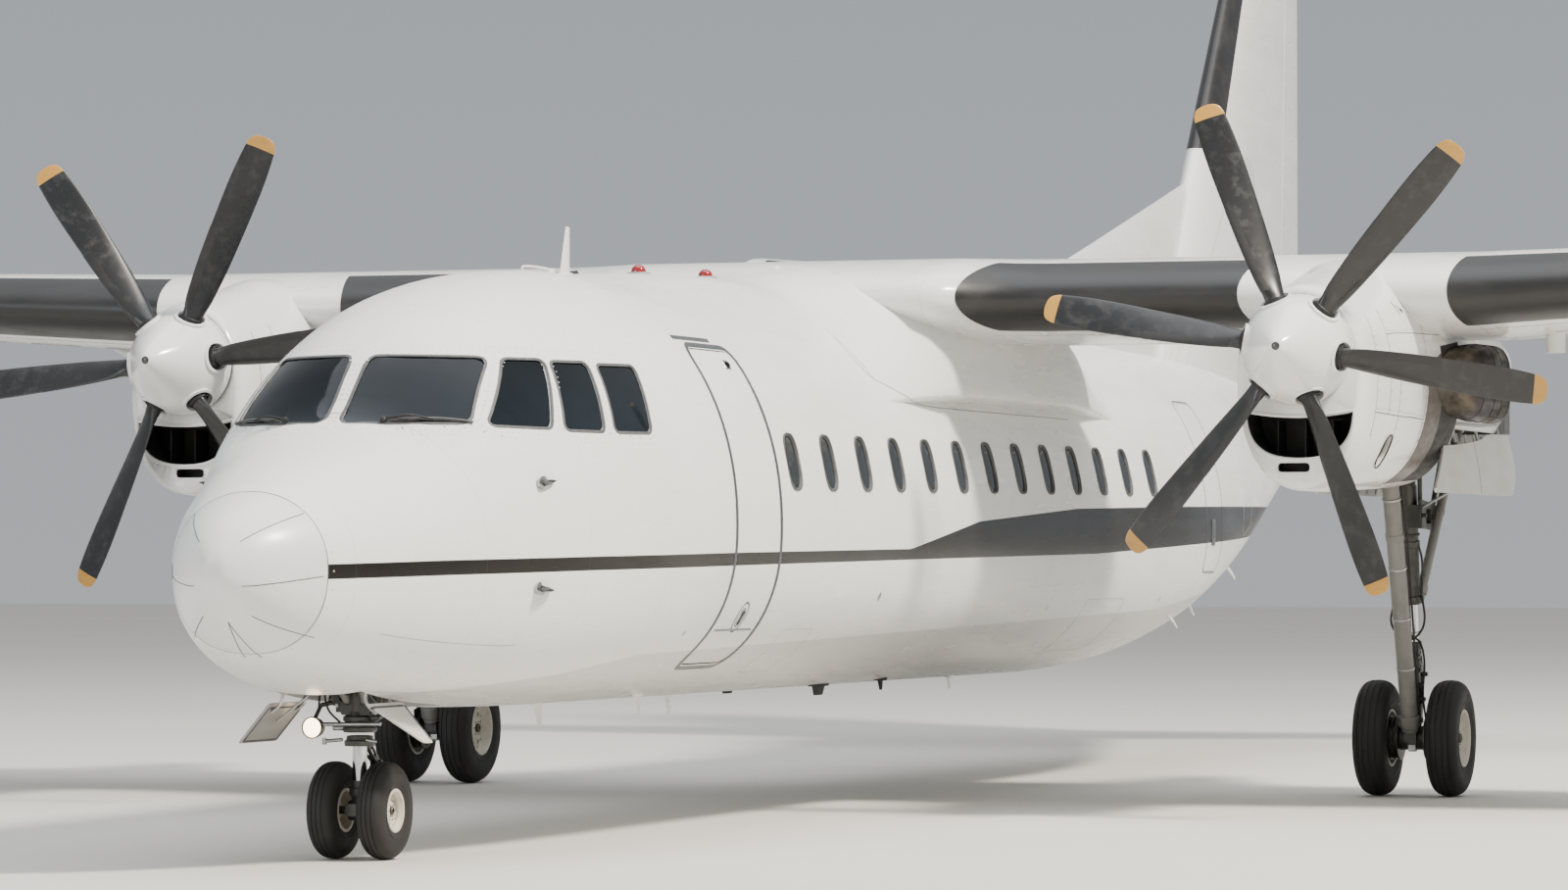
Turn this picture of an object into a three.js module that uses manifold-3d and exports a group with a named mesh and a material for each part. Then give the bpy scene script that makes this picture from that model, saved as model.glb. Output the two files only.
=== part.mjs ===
// Twin-engined high-wing turboprop airliner, parked on its gear. Millimetres, +Z up.
// +X is port, the nose points to -Y. Station 0 is the nose tip and stations grow aft.
// The origin is on the ground below the middle of the aeroplane's length.
import * as THREE from 'three';
import { mergeVertices } from 'three/addons/utils/BufferGeometryUtils.js';
import Module from 'manifold-3d';

const wasm = await Module();
wasm.setup();

// Overall sizes
const LENGTH = 25250;
const SPAN = 29000;
const HEIGHT = 8320;
const MIDDLE = LENGTH / 2;

// Clearances: between touching solids, round a pane, and round a moving surface
const TOUCH = 0.35;
const SEAL = 4;
const MOVE = 8;
// A slanted hinge line carries a surface's ends sideways, so they have more room.
const ELEVATOR_END = 26;
const AILERON_END = 14;
const AILERON_NOSE = 14;
const RUDDER_SWING = 24;

// Fuselage rings: station, half width, height of the widest line, crown, keel
const FUSELAGE = [
  [0, 30, 1700, 1730, 1670],
  [40, 120, 1700, 1830, 1580],
  [120, 220, 1700, 1925, 1485],
  [270, 345, 1700, 2030, 1360],
  [500, 475, 1700, 2135, 1225],
  [820, 630, 1715, 2250, 1115],
  [1200, 790, 1745, 2385, 1015],
  [1640, 930, 1785, 2545, 945],
  [2080, 1050, 1830, 2955, 905],
  [2600, 1170, 1880, 3235, 878],
  [3200, 1270, 1930, 3425, 862],
  [3900, 1340, 1960, 3530, 852],
  [4700, 1370, 1970, 3574, 850],
  [14600, 1370, 1970, 3574, 850],
  [15700, 1355, 1980, 3574, 895],
  [17000, 1290, 2020, 3568, 1040],
  [18400, 1145, 2110, 3552, 1300],
  [19800, 950, 2240, 3525, 1630],
  [21200, 730, 2410, 3480, 1970],
  [22600, 510, 2600, 3405, 2290],
  [23800, 340, 2750, 3300, 2540],
  [24700, 215, 2850, 3165, 2720],
  [25130, 120, 2900, 3030, 2810],
  [LENGTH, 50, 2910, 2955, 2865],
];
const FUSELAGE_SIDES = 36;
const FUSELAGE_ROUND = { upper: 2.1, lower: 2.35 };
const RADOME_END = 500;

// Wing: a level centre section through both nacelles, and tapered outer wings with dihedral
const WING = {
  lead: 9560, chord: 3460, thick: 0.17, z: 3595, sink: 0.05,
  tipLead: 10080, tipChord: 1400, tipThick: 0.14, dihedral: 2.5, camber: 0.022,
  joint: 4950, flapEnd: 13600,
};
const WING_TIP = { round: 160, lead: 130, chord: 330, thick: 0.04 };
const FLAP = { front: 0.70, innerFrom: 1480, innerTo: 3480, outerFrom: 4760, outerTo: 9900 };
const AILERON = { hinge: 0.74, from: 9960, to: 13900, reach: 900 };

// Nacelle rings: station, half width, height of the widest line, top, bottom
const NACELLE_X = 4100;
const NACELLE = [
  [8420, 405, 3010, 3555, 2260],
  [8450, 432, 3010, 3585, 2232],
  [8700, 475, 3010, 3640, 2215],
  [9200, 520, 3020, 3730, 2215],
  [9700, 545, 3030, 3830, 2230],
  [10600, 555, 3050, 3850, 2255],
  [11800, 545, 3080, 3780, 2320],
  [12800, 500, 3130, 3640, 2440],
  [13500, 400, 3190, 3500, 2640],
  [14200, 240, 3260, 3430, 2950],
  [14750, 60, 3320, 3370, 3250],
];
const NACELLE_SIDES = 26;
const NACELLE_ROUND = { upper: 2.05, lower: 2.25 };
const INTAKE = { half: 375, low: 2424, corner: 2751, crown: 2681, from: 8300, to: 8840 };
const SLOT = { x: -40, z: 2372, width: 230, height: 74, sides: 12, from: 8300, to: 8580 };
const ENGINE = { front: 8860, length: 2060, width: 640, low: 2480, height: 640, room: 25 };
const EXHAUST = { low: 2730, high: 3280, half: 160, hollow: 500, wall: 14, sides: 18, power: 0.7 };
// Exhaust sections: station, share of the full size, distance outboard of the nacelle's middle
const EXHAUST_ROWS = [[10150, 0.25, 430], [10500, 0.75, 560], [10880, 1, 660], [11300, 1, 690]];

// Propeller
const PROP = {
  x: NACELLE_X, station: 8233, z: 3163, radius: 1745, blades: 6,
  tip: 7754, back: 8404, hub: 210, hubFore: 110, hubAft: 130, rootHole: 98, bore: 213,
  phase: { port: 40, starboard: 24 },
};
// Blade sections: radius, chord, thickness, blade angle to the disc in degrees
const BLADE = [
  [190, 150, 150, 55],
  [350, 152, 120, 52],
  [500, 200, 66, 45],
  [850, 238, 34, 37],
  [1300, 248, 20, 28],
  [1660, 216, 12, 23],
  [PROP.radius, 110, 6, 22],
];
const BLADE_SIDES = 8;
// Spinner outline: distance aft of its tip, radius
const SPINNER = [[0, 0], [25, 50], [110, 128], [260, 232], [420, 322], [540, 364], [650, 375]];
const SPINNER_STEPS = 20;

// Tail
const FIN = {
  foot: 3300, lead: 19600, top: HEIGHT, trail: 25180, thick: 0.1,
  hingeFoot: 23980, hingeTop: 24520, rudderFoot: 3960, rudderTop: 8160,
};
// The fin's rounded top: how far down it starts, the leading edges there and at the very top
const FIN_TOP = { down: 120, lead: 23230, topLead: 23420, topChord: 1560, thick: 0.03 };
const RUDDER_REACH = 1600;
// Dorsal fin by side view: its ridge and its hidden foot
const DORSAL_HALF = 45;
const DORSAL = [[13950, 3590], [17030, 4270], [20940, 5170], [22000, 5170], [22000, 3300], [13950, 3300]];
const TAILPLANE = {
  half: 4875, lead: 21550, chord: 2850, tipLead: 22600, tipChord: 1360, z: 4080,
  dihedral: 6, thick: 0.12, hinge: 0.62, from: 330, to: 4560, reach: 1500,
};
const TAIL_TIP = { round: 130, lead: 110, chord: 300, thick: 0.04 };
// Room for the rudder's foot between the elevators: half width, stations and heights
const RUDDER_FOOT = { half: 40, from: 23000, to: 25600, low: 3600, high: 4600 };

// Landing gear
const MAIN = { x: 3920, station: 12743, tyre: 430, width: 245, spacing: 273, rim: 216, axle: 38 };
const NOSE = { station: 2060, tyre: 286, width: 168, spacing: 157, rim: 132, axle: 24 };
const TYRE_STEPS = 22;
const RIM_STEPS = 16;
const MAIN_BAY = { from: 11000, to: 13450, inner: 3660, outer: 4500, roof: 2950, edge: 2690 };
const NOSE_BAY = { from: 1420, to: 2620, half: 280, roof: 1450, open: 500 };

// Struts of a leg: where each starts and ends as station, height and distance outboard of the
// leg's middle, its radius at the start and at the end, and its sides
const MAIN_AXLE_BOSS = { half: 88, radius: 92, sides: 14, room: 4 };
const MAIN_STRUTS = [
  [[12743, 430, 0], [12660, 1140, 0], 62, 62, 8],
  [[12662, 1120, 0], [12620, 1440, 0], 66, 66, 8],
  [[12626, 1400, 0], [12500, 2300, 0], 84, 84, 8],
  [[12500, 2260, 0], [12440, 2880, 0], 70, 70, 8],
  [[12640, 430, 0], [11780, 2800, 0], 68, 68, 8],
  [[12640, 1420, 0], [13330, 2820, -150], 40, 40, 8],
  [[12640, 1420, 0], [13330, 2820, 230], 40, 40, 8],
  [[12650, 1180, 0], [12930, 900, 0], 34, 30, 8],
  [[12930, 900, 0], [12760, 560, 0], 30, 34, 8],
];
// Tubes that cross the main bay from wall to wall: station, height, radius
const MAIN_CROSS_TUBES = [[12440, 2850, 60], [11780, 2800, 50], [13330, 2820, 45]];
const MAIN_FRAME = { half: 120, from: 12440, to: 13060, low: 2010, high: 2150 };
const NOSE_STRUTS = [
  [[2060, 760, 0], [2030, 1330, 0], 78, 78, 8],
  [[2060, 740, 0], [2060, 840, 0], 105, 105, 14],
  [[2060, 860, 0], [1560, 1350, 0], 34, 34, 8],
];
const NOSE_CROSS_TUBES = [[2030, 1300, 55], [1560, 1350, 36]];
const NOSE_FRAME = { half: 90, from: 2000, to: 2210, low: 880, high: 960 };
const LAMP_ARM = { inner: 60, outer: 220, from: 2020, to: 2070, low: 830, high: 870 };
const FORK_AXLE_BOSS = { half: 58, radius: 62, sides: 8, room: 4 };
const FORK_STRUTS = [
  [[2060, 286, 0], [2060, 728, 0], 52, 52, 8],
  [[2060, 660, 0], [2060, 728, 0], 92, 92, 14],
  [[2100, 690, 30], [2310, 560, 30], 22, 20, 8],
  [[2310, 560, 30], [2100, 350, 20], 20, 22, 8],
];
const TOW_BLOCK = { half: 46, from: 1942, to: 2030, low: 256, high: 326 };
const LAMP = { x: -260, z: 770, from: 1950, to: 2040, front: 62, back: 50, sides: 18 };
// Gear doors. Main doors: distance of the upper and lower edge from the middle of the
// aeroplane, heights, stations, thickness. Nose doors by front view: x, z.
const MAIN_DOORS = {
  edges: { inner: [3640, 3575], outer: [4520, 4600] },
  high: 2680, low: 2225, from: 11040, to: 13200, thick: 22,
};
const NOSE_DOOR = { outline: [[292, 925], [490, 690], [508, 690], [312, 925]], from: 1450, to: 1960 };
// Jack pads: the wing's and the nose's, at a station, down to a height
const WING_PAD = { x: 5350, station: 10900, top: 3500, low: 3210, radius: 70, sides: 24 };
const NOSE_PAD = { station: 3450, top: 1100, low: 835, radius: 60, sides: 20 };

// Forward door on the port side, hinged along its lower edge, with a stair on its inner face
const DOOR = { from: 4860, to: 5660, low: 1100, high: 3080, depth: 60, hingeX: 968, sill: 126 };
const STAIR = { steps: 5, low: 1420, high: 2740, inset: 70, reach: 230, root: 40, half: 18 };
const VESTIBULE = { from: 4900, to: 5620, low: 1300, high: 2990, inner: 350, outer: 1700 };
const AFT_DOOR = { from: 16680, to: 17360, low: 1660, high: 3050, depth: 45 };

// Cockpit glazing. Windscreens by front view: x, z. Side panes by side view: station, z.
const GLASS = { proud: -5, depth: 30 };
const WINDSCREEN = [[53, 2555], [735, 2551], [650, 2940], [60, 2945]];
const SIDE_WINDOWS = [
  [[2050, 2541], [2526, 2533], [2816, 2937], [2515, 2935]],
  [[2656, 2526], [3055, 2524], [3219, 2932], [2871, 2929]],
  [[3183, 2524], [3633, 2528], [3776, 2929], [3324, 2923]],
];

const PORT = 1;
const STARBOARD = -1;
const SIDES = [['port', PORT], ['starboard', STARBOARD]];

const vec = (x, station, z) => new THREE.Vector3(x, station - MIDDLE, z);
const rad = THREE.MathUtils.degToRad;

// Solids and their geometry

// Points and triangles to one solid, its shared corners merged and its faces turned out.
function solidFrom(points, faces) {
  const keys = new Map();
  const spots = [];
  const at = points.map((p) => {
    const key = `${Math.round(p.x * 1e3)},${Math.round(p.y * 1e3)},${Math.round(p.z * 1e3)}`;
    if (!keys.has(key)) {
      keys.set(key, spots.length);
      spots.push(p);
    }
    return keys.get(key);
  });
  const kept = faces
    .map((f) => f.map((i) => at[i]))
    .filter(([a, b, c]) => a !== b && b !== c && c !== a);
  let volume = 0;
  for (const [a, b, c] of kept) {
    volume += spots[a].dot(new THREE.Vector3().crossVectors(spots[b], spots[c]));
  }
  const turned = volume < 0 ? kept.map(([a, b, c]) => [a, c, b]) : kept;
  return new wasm.Manifold(new wasm.Mesh({
    numProp: 3,
    vertProperties: new Float32Array(spots.flatMap((p) => [p.x, p.y, p.z])),
    triVerts: new Uint32Array(turned.flat()),
  }));
}

// A closed skin over rings with equal counts of points, each end shut by a fan.
function skin(rings) {
  const count = rings[0].length;
  const points = rings.flat();
  const faces = [];
  for (let r = 0; r + 1 < rings.length; r++) {
    for (let i = 0; i < count; i++) {
      const j = (i + 1) % count;
      const [a, b] = [r * count + i, r * count + j];
      faces.push([a, b, b + count], [a, b + count, a + count]);
    }
  }
  const ends = [[0, 1], [(rings.length - 1) * count, -1]];
  for (const [start, way] of ends) {
    const centre = new THREE.Vector3();
    for (let i = 0; i < count; i++) centre.addScaledVector(points[start + i], 1 / count);
    const hub = points.push(centre) - 1;
    for (let i = 0; i < count; i++) {
      const [a, b] = [start + i, start + ((i + 1) % count)];
      faces.push(way > 0 ? [hub, b, a] : [hub, a, b]);
    }
  }
  return solidFrom(points, faces);
}

// Any closed three.js geometry as a solid.
function solidOf(geometry) {
  const bare = geometry.clone();
  bare.deleteAttribute('normal');
  bare.deleteAttribute('uv');
  const merged = mergeVertices(bare, 1e-3);
  const place = merged.getAttribute('position');
  const points = [];
  for (let i = 0; i < place.count; i++) points.push(new THREE.Vector3().fromBufferAttribute(place, i));
  const index = merged.getIndex().array;
  const faces = [];
  for (let i = 0; i < index.length; i += 3) faces.push([index[i], index[i + 1], index[i + 2]]);
  return solidFrom(points, faces);
}

// Slivers that a cut leaves, thinner than this, are closed.
const SLIVER = 0.05;

function geometryOf(solid) {
  const { vertProperties, triVerts } = solid.asOriginal().simplify(SLIVER).getMesh();
  const geometry = new THREE.BufferGeometry();
  geometry.setAttribute('position', new THREE.BufferAttribute(new Float32Array(vertProperties), 3));
  geometry.setIndex(new THREE.BufferAttribute(new Uint32Array(triVerts), 1));
  return geometry;
}

// A flat outline pushed along one axis. Views: 'side' is station and z, 'front' is x and z,
// 'plan' is x and station.
function prism(outline, view, from, to) {
  const place = {
    side: (p, w) => vec(w, p[0], p[1]),
    front: (p, w) => vec(p[0], w, p[1]),
    plan: (p, w) => vec(p[0], p[1], w),
  }[view];
  return skin([from, to].map((w) => outline.map((p) => place(p, w))));
}

function box(x0, x1, s0, s1, z0, z1) {
  return prism([[x0, s0], [x1, s0], [x1, s1], [x0, s1]], 'plan', z0, z1);
}

// A rod or cone between two points.
function rod(from, to, startRadius, endRadius = startRadius, sides = 16) {
  const along = new THREE.Vector3().subVectors(to, from);
  const geometry = new THREE.CylinderGeometry(endRadius, startRadius, along.length(), sides);
  geometry.translate(0, along.length() / 2, 0);
  geometry.applyQuaternion(new THREE.Quaternion().setFromUnitVectors(
    new THREE.Vector3(0, 1, 0), along.normalize()));
  geometry.translate(from.x, from.y, from.z);
  return solidOf(geometry);
}

// A profile of radius and distance, turned about the X axis through the given point,
// with the middle of a flat at the bottom.
function turned(profile, centre, steps) {
  const outline = profile.map(([radius, along]) => new THREE.Vector2(radius, along));
  const geometry = new THREE.LatheGeometry(outline, steps, Math.PI * (1 - 1 / steps));
  geometry.rotateZ(-Math.PI / 2);
  geometry.translate(centre.x, centre.y, centre.z);
  return solidOf(geometry);
}

function join(...solids) {
  return solids.reduce((whole, piece) => whole.add(piece));
}

function cut(solid, ...tools) {
  return tools.reduce((left, tool) => left.subtract(tool), solid);
}

// The biggest of the bodies that a cut leaves.
function largest(solid) {
  return solid.decompose().reduce((best, piece) => (piece.volume() > best.volume() ? piece : best));
}

const mirrored = (side, solid) => (side === PORT ? solid : solid.mirror([1, 0, 0]));

// Rounded rings

// A ring at one station, with its own upper and lower roundness.
function ovalRing(x, row, sides, round, grow = 0) {
  const [station, half, mid, top, bottom] = row;
  const ring = [];
  for (let i = 0; i < sides; i++) {
    const angle = (2 * Math.PI * i) / sides;
    const [c, s] = [Math.cos(angle), Math.sin(angle)];
    const power = 2 / (s >= 0 ? round.upper : round.lower);
    const rise = (s >= 0 ? top - mid : mid - bottom) + grow;
    const across = Math.sign(c) * Math.abs(c) ** power * Math.max(half + grow, 5);
    ring.push(vec(x + across, station, mid + Math.sign(s) * Math.abs(s) ** power * Math.max(rise, 5)));
  }
  return ring;
}

// A row of the table at any station, by straight lines between its rows.
function rowAt(table, station) {
  const next = Math.max(1, table.findIndex((row) => row[0] >= station));
  const [a, b] = [table[next - 1], table[next]];
  const share = (station - a[0]) / (b[0] - a[0]);
  return a.map((value, i) => value + (b[i] - value) * share);
}

function fuselageSkin(from, to, grow = 0) {
  const rows = FUSELAGE.filter((row) => row[0] > from && row[0] < to);
  const all = [rowAt(FUSELAGE, from), ...rows, rowAt(FUSELAGE, to)];
  return skin(all.map((row) => ovalRing(0, row, FUSELAGE_SIDES, FUSELAGE_ROUND, grow)));
}

// Lifting surfaces

// Half thickness of a wing section, as a share of the chord, at a share of the chord.
function halfThickness(share, thick) {
  const root = Math.sqrt(share);
  return 5 * thick * (0.2969 * root + share * (-0.126
    + share * (-0.3516 + share * (0.2843 - 0.1015 * share))));
}

function camberLine(share, camber) {
  const peak = 0.4;
  return share < peak
    ? (camber / peak ** 2) * (2 * peak * share - share ** 2)
    : (camber / (1 - peak) ** 2) * (1 - 2 * peak + 2 * peak * share - share ** 2);
}

// A spanwise cut through a lifting surface: its leading edge, chord and thickness.
// thin is the direction of its thickness: 'z' on a wing, 'x' on the fin.
function foilRing(cutRow, thin, grow = 0) {
  const { x, lead, z, chord, thick, camber = 0, sink = 0 } = cutRow;
  const steps = 12;
  const point = (share, side) => {
    const swell = side * (halfThickness(share, thick) * chord + grow) + camberLine(share, camber) * chord;
    const station = lead - grow + share * (chord + 2 * grow);
    const z1 = z - sink * share * chord;
    return thin === 'z' ? vec(x, station, z1 + swell) : vec(x + swell, station, z1);
  };
  const ring = [];
  for (let i = 0; i <= steps; i++) ring.push(point(0.5 * (1 + Math.cos((Math.PI * i) / steps)), 1));
  for (let i = 1; i <= steps; i++) ring.push(point(0.5 * (1 - Math.cos((Math.PI * i) / steps)), -1));
  return ring;
}

// The cut between two others.
function between(a, b, share) {
  const row = {};
  for (const key of Object.keys(a)) row[key] = a[key] + (b[key] - a[key]) * share;
  return row;
}

// The hinge line's point at a cut, and the half thickness there.
function hingeAt(cutRow, share, thin) {
  const { x, lead, z, chord, thick, camber = 0, sink = 0 } = cutRow;
  const rise = camberLine(share, camber) * chord;
  const z1 = z - sink * share * chord + (thin === 'z' ? rise : 0);
  return { point: vec(x, lead + share * chord, z1), radius: halfThickness(share, thick) * chord };
}

// A control surface with a round nose, and the space it needs in the surface that carries it.
// ends and round are the room at its two ends and round its nose.
function hinged(surface, [a, b], thin, reach, ends, round) {
  const along = new THREE.Vector3().subVectors(b.point, a.point).normalize();
  const end = (p, gap, way) => p.clone().addScaledVector(along, way * gap);
  const nose = (gap, grow) => rod(end(a.point, gap, 1), end(b.point, gap, -1),
    a.radius * 0.985 + grow, b.radius * 0.985 + grow, 16);
  const slab = (gap) => {
    const [p, q] = [end(a.point, gap, 1), end(b.point, gap, -1)];
    const thinWay = thin === 'z' ? new THREE.Vector3(0, 0, 1) : new THREE.Vector3(1, 0, 0);
    const aft = new THREE.Vector3(0, 1, 0);
    const ring = (base) => [[0, -1], [reach, -1], [reach, 1], [0, 1]].map(([back, side]) => (
      base.clone().addScaledVector(aft, back).addScaledVector(thinWay, side * 600)));
    return skin([ring(p), ring(q)]);
  };
  const blade = join(surface.intersect(slab(ends)), nose(ends, 0));
  const space = join(slab(0), nose(0, round));
  return { blade, space };
}

// The aeroplane as a scene

const airliner = new THREE.Group();
const PAINT = {
  white: { color: '#e9e9e6', roughness: 0.35, metalness: 0 },
  grey: { color: '#9fa19f', roughness: 0.5, metalness: 0.2 },
  boot: { color: '#1b1b1c', roughness: 0.6, metalness: 0 },
  glass: { color: '#26323d', roughness: 0.1, metalness: 0 },
  metal: { color: '#8d8a84', roughness: 0.4, metalness: 0.7 },
  dark: { color: '#2c2a29', roughness: 0.6, metalness: 0.5 },
  tyre: { color: '#141414', roughness: 0.9, metalness: 0 },
  hub: { color: '#d8d2c2', roughness: 0.5, metalness: 0 },
  lamp: { color: '#fff3d6', roughness: 0.1, metalness: 0 },
};

// One named mesh. home is the point that the mesh is placed at and turns about.
function add(name, solid, paint, home = new THREE.Vector3()) {
  const geometry = geometryOf(solid.translate([-home.x, -home.y, -home.z]));
  const material = new THREE.MeshStandardMaterial({ ...PAINT[paint], flatShading: true });
  const mesh = new THREE.Mesh(geometry, material);
  mesh.name = name;
  mesh.position.copy(home);
  airliner.add(mesh);
}

// Wing solids

const rootCut = {
  x: 0, lead: WING.lead, z: WING.z, chord: WING.chord, thick: WING.thick,
  camber: WING.camber, sink: WING.sink,
};
const jointCut = { ...rootCut, x: WING.joint };
const tipX = SPAN / 2;
const tipRise = (tipX - WING.joint) * Math.tan(rad(WING.dihedral));
const tipCut = {
  ...jointCut, x: tipX, lead: WING.tipLead, z: WING.z + tipRise, chord: WING.tipChord,
  thick: WING.tipThick,
};
const roundX = tipX - WING_TIP.round;
const closeCut = {
  ...tipCut, lead: WING.tipLead + WING_TIP.lead, chord: WING.tipChord - WING_TIP.chord,
  thick: WING_TIP.thick,
};
const wingAcross = (grow) => skin([-WING.joint, WING.joint].map((x) => (
  foilRing({ ...rootCut, x }, 'z', grow))));
const outerAt = (x) => between(jointCut, tipCut, (x - WING.joint) / (tipX - WING.joint));

const outerSkin = skin([
  { ...jointCut, x: WING.joint + TOUCH }, outerAt(roundX), closeCut,
].map((row) => foilRing(row, 'z')));
const aileronEnds = [AILERON.from, AILERON.to].map((x) => hingeAt(outerAt(x), AILERON.hinge, 'z'));
const aileron = hinged(outerSkin, aileronEnds, 'z', AILERON.reach, AILERON_END, AILERON_NOSE);

// The flap's plan outline between two cuts, shrunk or grown at its ends and front.
function flapPlan(fromX, toX, gap) {
  const frontAt = (x) => {
    const row = Math.abs(x) <= WING.joint ? rootCut : outerAt(x);
    return row.lead + FLAP.front * row.chord + gap;
  };
  const stretch = [fromX + gap, ...(fromX < WING.joint && toX > WING.joint ? [WING.joint] : []), toX - gap];
  const front = stretch.map((x) => [x, frontAt(x)]);
  return [...front, [toX - gap, WING.flapEnd], [fromX + gap, WING.flapEnd]];
}
const flapBlock = (fromX, toX, gap) => prism(flapPlan(fromX, toX, gap), 'plan', 2600, 4600);

const wingPad = rod(vec(WING_PAD.x, WING_PAD.station, WING_PAD.top),
  vec(WING_PAD.x, WING_PAD.station, WING_PAD.low), WING_PAD.radius, WING_PAD.radius, WING_PAD.sides);
const plainWing = skin([rootCut, jointCut].map((row) => foilRing(row, 'z')));
const flapSource = join(plainWing, skin([jointCut, outerAt(roundX)].map((row) => foilRing(row, 'z'))));
const fuselageHull = fuselageSkin(RADOME_END + TOUCH, LENGTH);
const fuselageSwell = fuselageSkin(RADOME_END, LENGTH, TOUCH);

let wingCentre = wingAcross(0);
for (const way of [PORT, STARBOARD]) {
  wingCentre = cut(wingCentre, mirrored(way, flapBlock(FLAP.innerFrom, FLAP.innerTo, 0)),
    mirrored(way, flapBlock(FLAP.outerFrom, FLAP.outerTo, 0)));
}

// Fairing over the wing root: station, half width, height of the widest line, top, bottom
const FAIRING = [
  [8360, 800, 3240, 3592, 3000],
  [8620, 1120, 3020, 3640, 2880],
  [9160, 1260, 2930, 3740, 2825],
  [9760, 1330, 2930, 3860, 2820],
  [10600, 1345, 2930, 3905, 2820],
  [12000, 1345, 2930, 3860, 2820],
  [13100, 1310, 2930, 3760, 2820],
  [13900, 1230, 2960, 3670, 2860],
  [14500, 900, 3200, 3600, 3000],
];
const FAIRING_ROUND = { upper: 2.6, lower: 2.2 };
const FAIRING_SIDES = 28;
const fairingWhole = (grow) => skin(FAIRING.map((row) => (
  ovalRing(0, row, FAIRING_SIDES, FAIRING_ROUND, grow))));
const fairing = largest(cut(fairingWhole(0), fuselageSwell, wingAcross(TOUCH)));

// Nacelle solids on the port side
const nacelleHull = (grow) => skin(NACELLE.map((row) => (
  ovalRing(NACELLE_X, row, NACELLE_SIDES, NACELLE_ROUND, grow))));

// The chin intake's outline: a shallow arch over a round bottom.
function intakeOutline() {
  const { half, low, corner, crown } = INTAKE;
  const arch = new THREE.Shape();
  arch.moveTo(-half, corner);
  arch.quadraticCurveTo(0, crown, half, corner);
  arch.bezierCurveTo(half, low + 60, half * 0.55, low, 0, low);
  arch.bezierCurveTo(-half * 0.55, low, -half, low + 60, -half, corner);
  return arch.getPoints(6).slice(0, -1).map((p) => [NACELLE_X + p.x, p.y]);
}

function frontCut(outline, from, to) {
  const shape = new THREE.Shape(outline.map(([x, z]) => new THREE.Vector2(x, z)));
  const geometry = new THREE.ExtrudeGeometry(shape, { depth: to - from, bevelEnabled: false });
  geometry.rotateX(Math.PI / 2);
  geometry.translate(0, to - MIDDLE, 0);
  return solidOf(geometry);
}

const slotOutline = (() => {
  const { x, z, width, height } = SLOT;
  const [halfFlat, r] = [(width - height) / 2, height / 2];
  const outline = [];
  for (let i = 0; i < SLOT.sides; i++) {
    const angle = (2 * Math.PI * (i + 0.5)) / SLOT.sides;
    outline.push([NACELLE_X + x + Math.sign(Math.cos(angle)) * halfFlat + r * Math.cos(angle),
      z + r * Math.sin(angle)]);
  }
  return outline;
})();

const engineX = [NACELLE_X - ENGINE.width / 2, NACELLE_X + ENGINE.width / 2];
const enginePlace = (gap) => box(engineX[0] - gap, engineX[1] + gap,
  ENGINE.front - gap, ENGINE.front + ENGINE.length + gap,
  ENGINE.low - gap, ENGINE.low + ENGINE.height + gap);
// The wheel bay: a room inside the nacelle, and the nacelle's whole width cut away below it
const { from: bayFrom, to: bayTo } = MAIN_BAY;
const bayMouth = box(NACELLE_X - 700, NACELLE_X + 700, bayFrom, bayTo, 2000, MAIN_BAY.edge);
const bayRoom = box(MAIN_BAY.inner, MAIN_BAY.outer, bayFrom, bayTo, 2000, MAIN_BAY.roof);

// The exhaust: an oval duct that leaves the nacelle's outboard side and opens aft. The inner
// one is smaller by the wall and reaches past the open end.
function exhaustDuct(wall) {
  const { low, high, half, sides, power } = EXHAUST;
  return skin(EXHAUST_ROWS.map(([station, share, x], row) => {
    const past = wall > 0 && row === EXHAUST_ROWS.length - 1 ? 5 : 0;
    const width = half * (0.6 + 0.4 * share) - wall;
    const tall = ((high - low) / 2) * share - wall;
    return Array.from({ length: sides }, (_, i) => {
      const angle = (2 * Math.PI * i) / sides;
      const [c, s] = [Math.cos(angle), Math.sin(angle)];
      return vec(NACELLE_X + x + width * Math.sign(c) * Math.abs(c) ** power, station + past,
        (high + low) / 2 + tall * Math.sign(s) * Math.abs(s) ** power);
    });
  }));
}
const exhaustEnd = EXHAUST_ROWS[EXHAUST_ROWS.length - 1][0];
const exhaustPipe = largest(cut(
  exhaustDuct(0),
  exhaustDuct(EXHAUST.wall).intersect(
    box(NACELLE_X, SPAN / 2, exhaustEnd - EXHAUST.hollow, exhaustEnd + 50, 2000, 4000)),
  nacelleHull(TOUCH), wingAcross(TOUCH),
));
const nacelle = largest(cut(
  nacelleHull(0), wingAcross(TOUCH), frontCut(intakeOutline(), INTAKE.from, INTAKE.to),
  frontCut(slotOutline, SLOT.from, SLOT.to), enginePlace(ENGINE.room), bayMouth, bayRoom,
  flapBlock(FLAP.innerFrom, FLAP.innerTo, 0),
));

// Propeller solids about the hub on the port side
const hubPoint = vec(PROP.x, PROP.station, PROP.z);

// One blade up the Z axis from the hub, turned by its angle about the shaft.
function blade(turn) {
  const rings = BLADE.map(([radius, chord, thick, angle]) => {
    const pitch = rad(angle);
    const ring = [];
    for (let i = 0; i < BLADE_SIDES; i++) {
      const a = (2 * Math.PI * i) / BLADE_SIDES;
      const across = (chord / 2) * Math.cos(a);
      const deep = (thick / 2) * Math.sin(a) * (Math.cos(a) > 0 ? 1 : 0.8);
      ring.push(new THREE.Vector3(
        across * Math.cos(pitch) - deep * Math.sin(pitch),
        across * Math.sin(pitch) + deep * Math.cos(pitch),
        radius,
      ));
    }
    return ring;
  });
  const spin = new THREE.Matrix4().makeRotationY(rad(turn));
  return skin(rings.map((ring) => ring.map((p) => p.applyMatrix4(spin).add(hubPoint))));
}

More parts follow.
